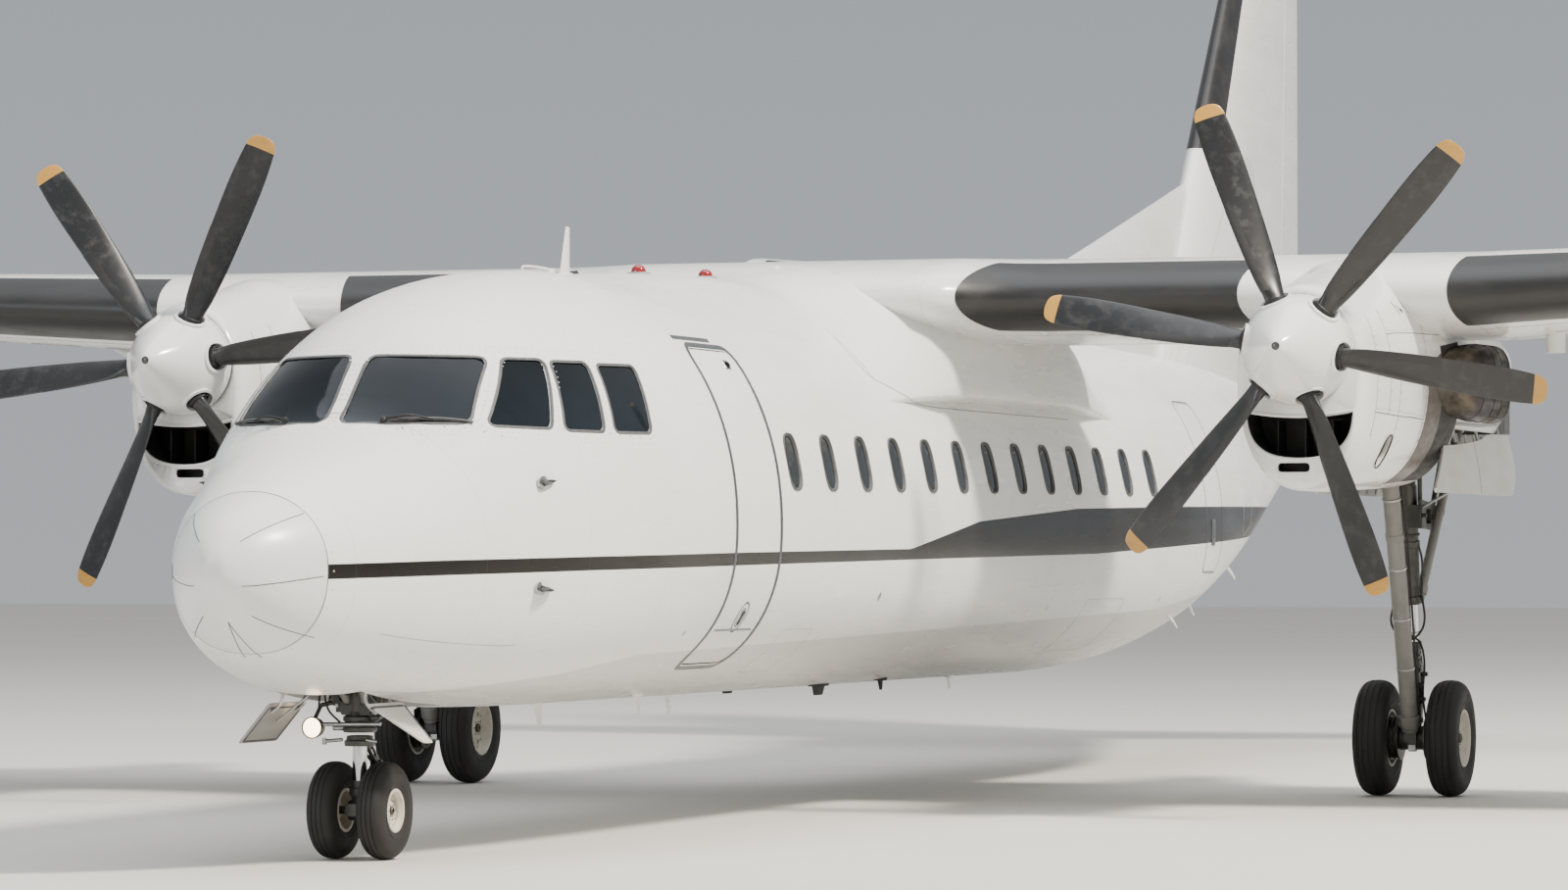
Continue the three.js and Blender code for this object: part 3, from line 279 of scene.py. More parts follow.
def stripe_and_belly_shade(tree, colour, y, z):
    """The dark grey stripe, which starts at the radome's joint, and a light grey band of painted shade and
    ground reflection along the belly.
    """
    limits = (-12.14, 12.6, .8, 2.4)
    top = stepped(tree, y, STRIPE_TOP, limits)
    low = stepped(tree, y, STRIPE_LOW, limits)
    belly = stepped(tree, y, BELLY_SHADE_TOP, limits)
    inside = maths(tree, "MULTIPLY", maths(tree, "LESS_THAN", z, top), maths(tree, "GREATER_THAN", z, low))
    fade = faded(tree, y, -12.4, -12.12)
    shade = mixed(tree, noise(tree, y.node.inputs[0].links[0].from_socket, 260, (1, 5, 1), 4),
                  "#211f1d", "#1b1a18")
    # Painted shade and ground reflection: below this rising line the white is greyed towards light grey.
    below = maths(tree, "LESS_THAN", z, belly)
    colour = tinted(tree, below, .8, colour, "#c3c3c0")
    return tinted(tree, inside, fade, colour, shade)


# One plain finish with worn spots, for fittings. Bump height and cell size in millimetres.
def fitting(name, tone, worn, roughness, metallic=0.0, cell=60, worn_share=.5, grain=(8, .05),
            stretch=(1, 1, 1), **more):
    made, tree, shader, place = finish_material(name, {
        "Metallic": metallic, "Roughness": roughness, **more})
    spots = ramp(tree, noise(tree, place, cell, stretch, 5, .62), ((.45, 0.0), (.72, 1.0)))
    colour = tinted(tree, spots, worn_share, tone, worn)
    tree.links.new(colour, shader.inputs["Base Color"])
    gloss = ramp(tree, noise(tree, place, cell / 2, stretch, 3),
                 ((.3, max(roughness - .08, .02)), (.75, min(roughness + .12, 1))))
    tree.links.new(gloss, shader.inputs["Roughness"])
    bump(tree, shader, noise(tree, place, grain[0], stretch, 2), grain[1])
    return made


# Finishes

FUSELAGE_PAINT = white_paint("white_polyurethane_on_riveted_skin", seam_y=(1.02, .005, .3), with_stripe_and_belly_shade=True)
WING_PAINT = white_paint("white_polyurethane_on_wing_skin", "#e6e7e5", seam_x=(.98, .005, .2),
                         grime_share=.45, streak=(1, 6, 1))
COWL_PAINT = white_paint("white_polyurethane_on_cowling", "#e7e8e6", grime_share=.55, streak=(1, 5, 1))
DOOR_PAINT = white_paint("white_polyurethane_on_door", grime_share=.3, with_stripe_and_belly_shade=True)


# Glass-fibre radome under matt white rain-erosion paint: softer gloss than the metal skin,
# fine speckle where rain and insects have struck, and soft grey clouds of wear.
def radome_finish():
    made, tree, shader, place = finish_material("rain_erosion_paint_on_glass_fibre", {
        "Roughness": .34, "Coat Weight": .2, "Coat Roughness": .2})
    pitted = ramp(tree, noise(tree, place, 16, (1, 1, 1), 4, .7), ((.6, 0.0), (.74, 1.0)))
    cloud = noise(tree, place, 300, (1, 1, 1), 3)
    colour = tinted(tree, pitted, .3, "#e2e3e3", "#9c9a94")
    colour = mixed(tree, maths(tree, "MULTIPLY", ramp(tree, cloud, ((.4, 0.0), (.8, 1.0))), .35),
                   colour, "#cfcfcc")
    tree.links.new(colour, shader.inputs["Base Color"])
    bump(tree, shader, noise(tree, place, 9, (1, 1, 1), 2), .06)
    return made


RADOME_PAINT = radome_finish()


# Laminated cockpit glass with a conductive film: almost black from outside, very smooth, with patches of
# dust; low down it turns blue-grey in soft patches, a painted reflection of the sky.
def glass_finish(name, deep, sky, coat):
    made, tree, shader, place = finish_material(name, {
        "Roughness": .05, "IOR": 1.45, "Specular IOR Level": .15, "Coat Weight": coat, "Coat Roughness": .02})
    z = axes(tree, place)["Z"]
    low = faded(tree, z, 2.5, 2.95, 1, 0)
    # Painted sky reflection: low down the dark glass turns towards the blue-grey tone in noisy patches.
    painted_sky_reflection = maths(tree, "MULTIPLY", low, noise(tree, place, 380, (1, 1, 1), 3))
    tree.links.new(mixed(tree, painted_sky_reflection, deep, sky), shader.inputs["Base Color"])
    dust = ramp(tree, noise(tree, place, 45, (1, 1, 1), 4), ((.4, .03), (.8, .13)))
    tree.links.new(dust, shader.inputs["Roughness"])
    bump(tree, shader, noise(tree, place, 500, (1, 1, 1), 1), .8)
    return made


# The second tone of each glass is its painted sky reflection.
COCKPIT_GLASS = glass_finish("laminated_heated_glass", "#0a0f13", "#1e272f", .1)
CABIN_ACRYLIC = glass_finish("stretched_acrylic_cabin_pane", "#111518", "#2a3034", .12)


# Black neoprene de-icing boot bonded on the leading edge: a dull rubber with the flat tubes
# just showing as ribs, chalked by dust in patches.
def boot_finish():
    made, tree, shader, place = finish_material("neoprene_deicing_boot", {
        "Roughness": .5, "Coat Weight": .12, "Coat Roughness": .35})
    z = axes(tree, place)["Z"]
    chalk = ramp(tree, noise(tree, place, 240, (3, 1, 1), 5, .6), ((.45, 0.0), (.8, 1.0)))
    colour = tinted(tree, chalk, .5, "#1a1a1b", "#3c3b39")
    tree.links.new(colour, shader.inputs["Base Color"])
    tree.links.new(ramp(tree, chalk, ((0, .42), (1, .68))), shader.inputs["Roughness"])
    ribs = maths(tree, "PINGPONG", z, .016)
    first = bump(tree, shader, ribs, 18, .22)
    bump(tree, shader, noise(tree, place, 12, (1, 1, 1), 2), .12, 1, first)
    return made


BOOT_RUBBER = boot_finish()


# Propeller blade: black polyurethane over carbon, greyed in patches by grit, with an ochre
# band that warns at the tip.
def blade_finish(side, centre_x):
    made, tree, shader, place = finish_material(f"black_polyurethane_on_carbon_blade_{side}", {
        "Roughness": .4, "Coat Weight": .2, "Coat Roughness": .25})
    radius = hub_radius(tree, place, centre_x)
    worn = ramp(tree, noise(tree, place, 90, (1, 1, 1), 5, .65), ((.5, 0.0), (.78, 1.0)))
    colour = tinted(tree, worn, .45, "#17181a", "#4a4a49")
    band = maths(tree, "GREATER_THAN", radius, 1.655)
    ochre = tinted(tree, worn, .5, "#b98a3c", "#8a7350")
    tree.links.new(mixed(tree, band, colour, ochre), shader.inputs["Base Color"])
    tree.links.new(ramp(tree, worn, ((0, .34), (1, .55))), shader.inputs["Roughness"])
    bump(tree, shader, noise(tree, place, 14, (1, 1, 1), 2), .08)
    return made


# Spinner: white gloss enamel on spun aluminium, with faint turning marks and a dark tip.
def spinner_finish(side, centre_x):
    made, tree, shader, place = finish_material(f"white_enamel_on_spun_aluminium_{side}", {
        "Roughness": .2, "Coat Weight": .5, "Coat Roughness": .07})
    radius = hub_radius(tree, place, centre_x)
    rings = noise(tree, put(tree, "ShaderNodeCombineXYZ", {"X": radius}).outputs[0], 24, (1, 1, 1), 3)
    specks = ramp(tree, noise(tree, place, 22, (1, 1, 1), 5, .7), ((.62, 0.0), (.72, 1.0)))
    colour = tinted(tree, specks, .4, "#e8e8e6", "#8f8c86")
    tip = maths(tree, "LESS_THAN", radius, .028)
    tree.links.new(mixed(tree, tip, colour, "#3a3a3a"), shader.inputs["Base Color"])
    bump(tree, shader, rings, .12)
    return made


# Tyre rubber: black with a brown-grey bloom of dust and a fine grain.
def tyre_finish():
    made, tree, shader, place = finish_material("ribbed_tyre_rubber", {"Roughness": .8})
    dust = ramp(tree, noise(tree, place, 120, (1, 1, 1), 6, .65), ((.38, 0.0), (.75, 1.0)))
    colour = tinted(tree, dust, .55, "#151516", "#37342f")
    tree.links.new(colour, shader.inputs["Base Color"])
    tree.links.new(ramp(tree, dust, ((0, .66), (1, .92))), shader.inputs["Roughness"])
    bump(tree, shader, noise(tree, place, 7, (1, 1, 1), 3), .35)
    return made


TYRE_RUBBER = tyre_finish()


# Exhaust pipe in nickel alloy: brown and grey heat stain that deepens aft, and streaks of soot.
def exhaust_finish():
    made, tree, shader, place = finish_material("sooted_nickel_alloy", {
        "Metallic": .85, "Roughness": .42})
    y = axes(tree, place)["Y"]
    heat = faded(tree, y, -2.45, -1.3)
    shifted = maths(tree, "ADD", heat, maths(tree, "MULTIPLY", noise(tree, place, 160, (1, 3, 1), 4), .4))
    stain = ramp(tree, shifted, ((.25, "#6b665e"), (.5, "#5f5547"), (.7, "#47454a"), (.95, "#3c3935")))
    soot = ramp(tree, noise(tree, place, 90, (1, 4, 1), 5, .6), ((.35, 0.0), (.7, 1.0)))
    tree.links.new(tinted(tree, soot, .75, stain, "#26231f"),
                   shader.inputs["Base Color"])
    tree.links.new(ramp(tree, soot, ((0, .34), (1, .7))), shader.inputs["Roughness"])
    bump(tree, shader, noise(tree, place, 20, (1, 1, 1), 3), .2)
    return made


EXHAUST_METAL = exhaust_finish()

# Neoprene glazing and door seal: matt charcoal, greyed by weather.
SEAL_RUBBER = fitting("neoprene_seal", "#4d4f50", "#6d6e6d", .6, 0, 45, .5, (6, .1))
# Grey sealant and paint edge along a skin lap.
LAP_SEALANT = fitting("grey_sealant_at_skin_laps", "#8f908f", "#b0b0ad", .55, 0, 200, .6, (6, .05))
# Dark grey gloss outline round a door, dulled in small patches by polish.
OUTLINE_PAINT = fitting("grey_gloss_outline", "#42474b", "#565b5e", .34, 0, 160, .4, (8, .03))
# Countersunk rivet heads under the paint, a little dirtier than the skin round them.
RIVET_PAINT = fitting("painted_rivet_heads", "#cfd0ce", "#a8a49b", .4, 0, 90, .6, (6, .04))
# Bare aluminium lip and fastener heads, brushed and slightly oxidised.
BARE_ALUMINIUM = fitting("brushed_aluminium", "#b9babb", "#8d8c89", .34, .95, 30, .5, (3, .05), (1, 6, 1))
# Gear forging in grey epoxy enamel, darkened in patches by oil and road dust.
GEAR_ENAMEL = fitting("grey_epoxy_enamel_on_forging", "#868681", "#5a564e", .42, .1, 150, .4, (9, .12),
                      (1, 1, 3))
# Darker gear frames that live in the bay, brown with hydraulic oil and road dust.
GEAR_DARK = fitting("oily_dark_enamel_on_forging", "#434340", "#2b2824", .4, .2, 90, .6, (9, .12), (1, 1, 2))
# Hard chrome on the sliding tube: a clear mirror with fine marks along it.
HARD_CHROME = fitting("hard_chrome_sliding_tube", "#c9cbcd", "#a6a7a8", .12, 1, 20, .3, (2, .02), (1, 1, 5))
# Braided hydraulic hose in black rubber.
HOSE_RUBBER = fitting("braided_black_hose", "#1f1f20", "#3b3a38", .55, 0, 12, .5, (3, .2))
# Cream enamel wheel: chalky, greyed in patches by brake dust.
HUB_ENAMEL = fitting("cream_enamel_on_forged_wheel", "#cfc9ba", "#978f80", .45, 0, 60, .4, (7, .08))
# Brake stack and bolts in dark machined steel.
BRAKE_STEEL = fitting("machined_steel_brake", "#5b5752", "#38322c", .45, .8, 24, .7, (4, .1))
# Matt black of wipers, vents and bay shadows.
MATT_BLACK = fitting("matt_black_finish", "#141516", "#26272a", .6, 0, 80, .5, (5, .06))
# Red beacon lens: deep red acrylic.
RED_LENS = fitting("red_acrylic_lens", "#8e1414", "#5e0d0d", .12, 0, 30, .4, (12, .03), **{"Coat Weight": .8})
# Green lens on the starboard wing tip.
GREEN_LENS = fitting("green_acrylic_lens", "#0f6b3c", "#0a4728", .12, 0, 30, .4, (12, .03),
                     **{"Coat Weight": .8})
# Light grey cabin lining: moulded sheet with a fine grain, faintly scuffed.
CABIN_LINING = fitting("moulded_cabin_lining", "#b6b5af", "#8d8a83", .55, 0, 300, .5, (3, .18))
# Black stair covering with raised grip.
STAIR_GRIP = fitting("ribbed_stair_covering", "#2c2d2e", "#48463f", .8, 0, 60, .6, (5, .6))
# Main gear doors and the port nose door in white satin enamel, splashed from the runway.
GEAR_DOOR_PAINT = fitting("white_satin_enamel_door", "#d6d5d0", "#aba597", .36, 0, 320, .4, (9, .06),
                          (1, 3, 1))
# Gear door ribs, seams and the starboard nose door: light grey satin enamel with exhaust film.
GREY_DOOR_PAINT = fitting("light_grey_satin_enamel_door", "#9b9b98", "#7d7a73", .4, 0, 260, .45, (9, .06),
                          (1, 4, 1))


# Sealed lamp: a bright warm filament behind clear glass.
def lamp_finish():
    made, tree, shader, place = finish_material("lit_sealed_beam_lamp", {
        "Roughness": .08, "Coat Weight": 1.0, "Emission Strength": 9.0})
    flutes = maths(tree, "PINGPONG", axes(tree, place)["X"], .006)
    cell = noise(tree, place, 60, (1, 1, 1), 2)
    tree.links.new(mixed(tree, cell, "#fff6df", "#ffe2a8"), shader.inputs["Base Color"])
    tree.links.new(mixed(tree, cell, "#fff4d8", "#ffd591"), shader.inputs["Emission Color"])
    bump(tree, shader, flutes, 8, .4)
    return made


LAMP_GLASS = lamp_finish()


# Meshes

def mesh_of(vertices, faces, name="part"):
    """A mesh with its faces turned outwards."""
    made = bpy.data.meshes.new(name)
    made.from_pydata([tuple(v) for v in vertices], [], [tuple(f) for f in faces])
    made.validate()
    work = bmesh.new()
    work.from_mesh(made)
    bmesh.ops.remove_doubles(work, verts=work.verts, dist=1e-5)
    if work.calc_volume(signed=True) < 0:
        bmesh.ops.reverse_faces(work, faces=work.faces)
    work.to_mesh(made)
    work.free()
    return made


def joined(*meshes):
    """Several meshes as one."""
    work = bmesh.new()
    for part in meshes:
        work.from_mesh(part)
    made = bpy.data.meshes.new("joined")
    work.to_mesh(made)
    work.free()
    return made


def moved(mesh, matrix):
    """A copy moved by a matrix, its faces still outwards after a mirror."""
    made = mesh.copy()
    made.transform(matrix)
    if matrix.determinant() < 0:
        made.flip_normals()
    return made


MIRROR_X = Matrix.Scale(-1, 4, (1, 0, 0))


def on_side(mesh, way):
    """The mesh on port, or its mirror image on starboard."""
    return mesh if way > 0 else moved(mesh, MIRROR_X)


def boolean(base, tool, operation):
    """One solid cut by, kept inside or joined to another."""
    pair = [bpy.data.objects.new(n, m) for n, m in (("base", base), ("tool", tool))]
    for made in pair:
        bpy.context.scene.collection.objects.link(made)
    rule = pair[0].modifiers.new("solids", "BOOLEAN")
    rule.solver = "MANIFOLD"
    rule.operation = operation
    rule.object = pair[1]
    view = bpy.context.evaluated_depsgraph_get()
    result = bpy.data.meshes.new_from_object(pair[0].evaluated_get(view))
    for made in pair:
        bpy.data.objects.remove(made)
    return result


def cut(base, *tools):
    for tool in tools:
        base = boolean(base, tool, "DIFFERENCE")
    return base


def within(base, tool):
    return boolean(base, tool, "INTERSECT")


def loft(rings, closed=True):
    """A closed skin over rings of equal count, with a fan at each end."""
    count = len(rings[0])
    vertices = [tuple(p) for ring in rings for p in ring]
    faces = []
    for r in range(len(rings) - 1):
        for i in range(count if closed else count - 1):
            j = (i + 1) % count
            a, b = r * count + i, r * count + j
            faces.append((a, b, b + count, a + count))
    for start in (0, (len(rings) - 1) * count):
        middle = np.mean(np.array(vertices[start:start + count]), axis=0)
        vertices.append(tuple(middle))
        hub = len(vertices) - 1
        order = range(count) if start else range(count - 1, -1, -1)
        ids = [start + i for i in order]
        faces += [(hub, ids[i], ids[(i + 1) % count]) for i in range(count)]
    return mesh_of(vertices, faces)


PLACES = dict(
    side=lambda p, w: at(w, p[0], p[1]),
    front=lambda p, w: at(p[0], w, p[1]),
    plan=lambda p, w: at(p[0], p[1], w),
)


def prism(outline, view, first, last):
    """A flat outline pushed along one axis: side is station and z, front x and z, plan x and station."""
    return loft([[PLACES[view](p, w) for p in outline] for w in (first, last)])


def block(x0, x1, s0, s1, z0, z1):
    return prism(((x0, s0), (x1, s0), (x1, s1), (x0, s1)), "plan", z0, z1)


def frame_along(direction):
    """Two directions across the given one."""
    along = Vector(direction).normalized()
    side = along.cross(Vector((0, 0, 1)) if abs(along.z) < .9 else Vector((0, 1, 0))).normalized()
    return side, along.cross(side)


def rod(first, last, radius, end_radius=None, sides=24):
    """A rod or cone between two points."""
    end_radius = radius if end_radius is None else end_radius
    side, up = frame_along(last - first)
    turns = circle(sides)
    return loft([[p + (side * math.cos(t) + up * math.sin(t)) * r for t in turns]
                 for p, r in ((first, radius), (last, end_radius))])


def turned(profile, centre, axis, steps=48):
    """A profile of distance along the axis and radius, turned about it."""
    axis = Vector(axis).normalized()
    side, up = frame_along(axis)
    turns = [2 * math.pi * (i + .5) / steps for i in range(steps)]
    return loft([[centre + axis * along + (side * math.cos(t) + up * math.sin(t)) * max(r, 1e-4)
                  for t in turns] for along, r in profile])


def ring_of(profile, centre, axis, steps=48):
    """A closed profile of distance and radius turned about the axis into a ring."""
    axis = Vector(axis).normalized()
    side, up = frame_along(axis)
    count = len(profile)
    vertices, faces = [], []
    for k in range(steps):
        t = 2 * math.pi * (k + .5) / steps
        out = side * math.cos(t) + up * math.sin(t)
        vertices += [centre + axis * along + out * r for along, r in profile]
        for i in range(count):
            j, n = (i + 1) % count, (k + 1) % steps
            faces.append((k * count + i, k * count + j, n * count + j, n * count + i))
    return mesh_of(vertices, faces)


def smooth_path(points, per_span=8):
    """A rounded path through the points."""
    knots = [Vector(p) for p in points]
    knots = [knots[0] * 2 - knots[1]] + knots + [knots[-1] * 2 - knots[-2]]
    path = []
    for k in range(1, len(knots) - 2):
        a, b, c, d = knots[k - 1:k + 3]
        for i in range(per_span):
            t = i / per_span
            path.append(.5 * (2 * b + (c - a) * t + (2 * a - 5 * b + 4 * c - d) * t ** 2
                              + (3 * b - a - 3 * c + d) * t ** 3))
    return path + [knots[-2]]


def tube(path, radius, sides=12):
    """A round tube along a path, or a tapered one where radius is a list."""
    radii = radius if isinstance(radius, (list, tuple)) else [radius] * len(path)
    rings, side = [], None
    for i, p in enumerate(path):
        along = (path[min(i + 1, len(path) - 1)] - path[max(i - 1, 0)]).normalized()
        side = frame_along(along)[0] if side is None else (side - along * side.dot(along)).normalized()
        up = along.cross(side)
        rings.append([p + (side * math.cos(t) + up * math.sin(t)) * radii[i]
                      for t in circle(sides)])
    return loft(rings)


def rounded(corners, radius, steps=5):
    """A polygon with its corners rounded."""
    outline = []
    for k, corner in enumerate(corners):
        c = Vector(corner).to_2d() if len(corner) > 2 else Vector(corner)
        before, after = Vector(corners[k - 1]), Vector(corners[(k + 1) % len(corners)])
        a = c + (before - c).normalized() * radius
        b = c + (after - c).normalized() * radius
        for i in range(steps + 1):
            t = i / steps
            outline.append(tuple(a * (1 - t) ** 2 + c * 2 * t * (1 - t) + b * t ** 2))
    return outline


def grown(outline, gap):
    """A convex outline with every point moved outwards by the gap."""
    points = [Vector(p) for p in outline]
    middle = sum(points, Vector((0, 0))) / len(points)
    result = []
    for k, p in enumerate(points):
        along = (points[(k + 1) % len(points)] - points[k - 1]).normalized()
        out = Vector((along.y, -along.x))
        if out.dot(p - middle) < 0:
            out = -out
        result.append(tuple(p + out * gap))
    return result


def monotone(xs, ys):
    """A smooth curve through the points that never overshoots them."""
    x, y = np.array(xs, float), np.array(ys, float)
    h, d = np.diff(x), np.diff(y) / np.diff(x)
    m = np.concatenate(([d[0]], np.zeros(len(x) - 2), [d[-1]]))
    for i in range(1, len(x) - 1):
        if d[i - 1] * d[i] > 0:
            w1, w2 = 2 * h[i] + h[i - 1], h[i] + 2 * h[i - 1]
            m[i] = (w1 + w2) / (w1 / d[i - 1] + w2 / d[i])

    def value(t):
        t = np.clip(np.asarray(t, float), x[0], x[-1])
        k = np.clip(np.searchsorted(x, t) - 1, 0, len(h) - 1)
        s = (t - x[k]) / h[k]
        return ((1 + 2 * s) * (1 - s) ** 2 * y[k] + s * (1 - s) ** 2 * h[k] * m[k]
                + s * s * (3 - 2 * s) * y[k + 1] + s * s * (s - 1) * h[k] * m[k + 1])
    return value


def row_curves(table, warp):
    """Smooth curves for each column of a table, along the warped station."""
    stations = warp(np.array([row[0] for row in table], float))
    curves = [monotone(stations, [row[c] for row in table]) for c in range(1, 5)]
    return lambda station: [float(curve(warp(np.array(station)))) for curve in curves]


fuselage_row = row_curves(FUSELAGE, np.sqrt)
nacelle_row = row_curves(NACELLE, lambda s: s)


def oval(x, station, row, sides, upper, lower, grow=0.0):
    """One rounded ring at a station."""
    half, mid, top, low = row
    ring = []
    for i in range(sides):
        t = 2 * math.pi * i / sides
        c, s = math.cos(t), math.sin(t)
        power = 2 / (upper if s >= 0 else lower)
        rise = (top - mid if s >= 0 else mid - low) + grow
        ring.append(at(x + math.copysign(abs(c) ** power, c) * max(half + grow, .004), station,
                       mid + math.copysign(abs(s) ** power, s) * max(rise, .004)))
    return ring


def fuselage_solid(first, last, grow=0.0, pitch=.3):
    nose = [u * u for u in np.arange(math.sqrt(first), math.sqrt(5), .045)] if first < 5 else [first]
    aft = list(np.arange(max(first, 5), last, pitch)) if last > 5 else []
    stations = [s for s in nose if s < last - .01] + [s for s in aft if s > nose[-1] + .05] + [last]
    return loft([oval(0, s, fuselage_row(s), AROUND, UPPER_ROUND, LOWER_ROUND, grow) for s in stations])


def side_x(station, z):
    """The fuselage skin's half width at a station and height."""
    half, mid, top, low = fuselage_row(station)
    rise, power = ((z - mid) / (top - mid), UPPER_ROUND) if z >= mid else ((mid - z) / (mid - low),
            LOWER_ROUND)
    return half * max(1 - abs(rise) ** power, 0) ** (1 / power)


class Surface:
    """A smooth skin that cut pieces take their shading from and small details sit on."""

    def __init__(self, mesh):
        work = bmesh.new()
        work.from_mesh(mesh)
        bmesh.ops.triangulate(work, faces=work.faces)
        work.normal_update()
        self.points = [v.co.copy() for v in work.verts]
        self.normals = [v.normal.copy() for v in work.verts]
        self.faces = [tuple(v.index for v in f.verts) for f in work.faces]
        work.free()
        self.tree = BVHTree.FromPolygons(self.points, self.faces)

    def nearest(self, point):
        """The nearest point on the skin, its smooth normal and the distance."""
        spot, flat, index, distance = self.tree.find_nearest(point)
        ids = self.faces[index]
        shares = poly_3d_calc([self.points[i] for i in ids], spot)
        normal = sum((self.normals[i] * s for i, s in zip(ids, shares)), Vector())
        return spot, (normal.normalized() if normal.length > 1e-6 else flat), distance

    def hit(self, origin, direction):
        """Where a line meets the skin, with its normal."""
        spot = self.tree.ray_cast(origin, direction)[0]
        return self.nearest(spot if spot is not None else origin)[:2]


def shade(mesh, surface=None, angle=35, reach=.0015):
    """Smooth shading with sharp edges, taken from a smooth surface where the mesh lies on it."""
    mesh.polygons.foreach_set("use_smooth", [True] * len(mesh.polygons))
    mesh.set_sharp_from_angle(angle=math.radians(angle))
    if surface is None:
        return
    found = {}
    for v in mesh.vertices:
        _, normal, distance = surface.nearest(v.co)
        if distance < reach:
            found[v.index] = normal
    own = [Vector(n.vector) for n in mesh.corner_normals]
    normals = list(own)
    for face in mesh.polygons:
        for loop in face.loop_indices:
            normal = found.get(mesh.loops[loop].vertex_index)
            if normal is not None and normal.dot(face.normal) > .9:
                normals[loop] = normal
    mesh.normals_split_custom_set(normals)


def piece(name, mesh, material, body="airframe", replaces=(), surface=None, angle=35,
          bevel=0.0, subdivide=0):
    """One finished piece of the aeroplane, on its body and with its finish."""
    mesh.name = name
    mesh.materials.clear()
    mesh.materials.append(material)
    shade(mesh, surface, angle)
    made = bpy.data.objects.new(name, mesh)
    bpy.context.scene.collection.objects.link(made)
    if bevel:
        rule = made.modifiers.new("edge", "BEVEL")
        rule.width, rule.segments, rule.limit_method = bevel, 2, "ANGLE"
        rule.angle_limit = math.radians(40)
        rule.harden_normals = True
    if subdivide:
        rule = made.modifiers.new("smooth", "SUBSURF")
        rule.levels = rule.render_levels = subdivide
    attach(made, body)
    if replaces:
        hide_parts(*replaces)
    return made


# Geometry Nodes

def socket_id(tree, name):
    """The identifier of a tree's named input."""
    return next(i.identifier for i in tree.interface.items_tree
                if i.item_type == "SOCKET" and i.in_out == "INPUT" and i.name == name)


def new_tree(name, sizes):
    """A geometry tree with a geometry input and output and named sizes."""
    tree = bpy.data.node_groups.new(name, "GeometryNodeTree")
    tree.interface.new_socket("Geometry", in_out="INPUT", socket_type="NodeSocketGeometry")
    tree.interface.new_socket("Geometry", in_out="OUTPUT", socket_type="NodeSocketGeometry")
    for label, kind in sizes:
        tree.interface.new_socket(label, in_out="INPUT", socket_type=kind)
    return tree, put(tree, "NodeGroupInput").outputs, put(tree, "NodeGroupOutput")


def end_tree(tree, result, inputs, output):
    """Realize Instances and Set Material, then the output."""
    real = put(tree, "GeometryNodeRealizeInstances", {"Geometry": result})
    dressed = put(tree, "GeometryNodeSetMaterial", {
        "Geometry": real.outputs[0], "Material": inputs["Material"]})
    tree.links.new(dressed.outputs[0], output.inputs[0])


def heads_tree():
    """Low domed heads at an even pitch along paths, each square to the skin."""
    tree, inputs, output = new_tree("heads_along_a_seam", (
        ("Pitch", "NodeSocketFloat"), ("Radius", "NodeSocketFloat"), ("Height", "NodeSocketFloat"),
        ("Material", "NodeSocketMaterial")))
    path = put(tree, "GeometryNodeMeshToCurve", {"Mesh": inputs["Geometry"]})
    spots = put(tree, "GeometryNodeResampleCurve", {"Curve": path.outputs[0], "Length": inputs["Pitch"]},
                mode="LENGTH")
    crown = maths(tree, "MULTIPLY", inputs["Radius"], .55)
    head = put(tree, "GeometryNodeMeshCone", {
        "Vertices": 8, "Radius Top": crown, "Radius Bottom": inputs["Radius"],
        "Depth": inputs["Height"]})
    normal = put(tree, "GeometryNodeInputNamedAttribute", {"Name": "skin_normal"}, data_type="FLOAT_VECTOR")
    facing = put(tree, "FunctionNodeAlignRotationToVector", {"Vector": normal.outputs["Attribute"]}, axis="Z")
    heads = put(tree, "GeometryNodeInstanceOnPoints", {
        "Points": spots.outputs[0], "Instance": head.outputs["Mesh"], "Rotation": facing.outputs[0]})
    end_tree(tree, heads.outputs[0], inputs, output)
    return tree


def units_tree():
    """One shaped unit set at each point, facing out of the skin and upright."""
    tree, inputs, output = new_tree("units_on_a_row", (
        ("Unit", "NodeSocketObject"), ("Material", "NodeSocketMaterial")))
    unit = put(tree, "GeometryNodeObjectInfo", {"Object": inputs["Unit"]})
    normal = put(tree, "GeometryNodeInputNamedAttribute", {"Name": "skin_normal"}, data_type="FLOAT_VECTOR")
    up = put(tree, "GeometryNodeInputNamedAttribute", {"Name": "upright"}, data_type="FLOAT_VECTOR")
    facing = put(tree, "FunctionNodeAlignRotationToVector", {"Vector": normal.outputs["Attribute"]}, axis="Z")
    upright = put(tree, "FunctionNodeAlignRotationToVector", {
        "Rotation": facing.outputs[0], "Vector": up.outputs["Attribute"]}, axis="Y", pivot_axis="Z")
    spots = put(tree, "GeometryNodeMeshToPoints", {"Mesh": inputs["Geometry"]})
    units = put(tree, "GeometryNodeInstanceOnPoints", {
        "Points": spots.outputs[0], "Instance": unit.outputs["Geometry"], "Rotation": upright.outputs[0]})
    end_tree(tree, units.outputs[0], inputs, output)
    return tree


HEADS = heads_tree()
UNITS = units_tree()


def grown_from(points_mesh, tree, settings):
    """The plain mesh that a tree makes from the given points or paths."""
    seed = bpy.data.objects.new("seed", points_mesh)
    bpy.context.scene.collection.objects.link(seed)
    rule = seed.modifiers.new("rule", "NODES")
    rule.node_group = tree
    for name, value in settings.items():
        rule[socket_id(tree, name)] = value
    made = bpy.data.meshes.new_from_object(seed.evaluated_get(bpy.context.evaluated_depsgraph_get()))
    seed.modifiers.remove(rule)
    bpy.data.objects.remove(seed)
    return made


def attributed(points, edges, **vectors):
    """A mesh of points and edges with named vector attributes."""
    made = bpy.data.meshes.new("paths")
    made.from_pydata([tuple(p) for p in points], edges, [])
    for name, values in vectors.items():
        held = made.attributes.new(name, "FLOAT_VECTOR", "POINT")
        held.data.foreach_set("vector", [c for v in values for c in v])
    return made


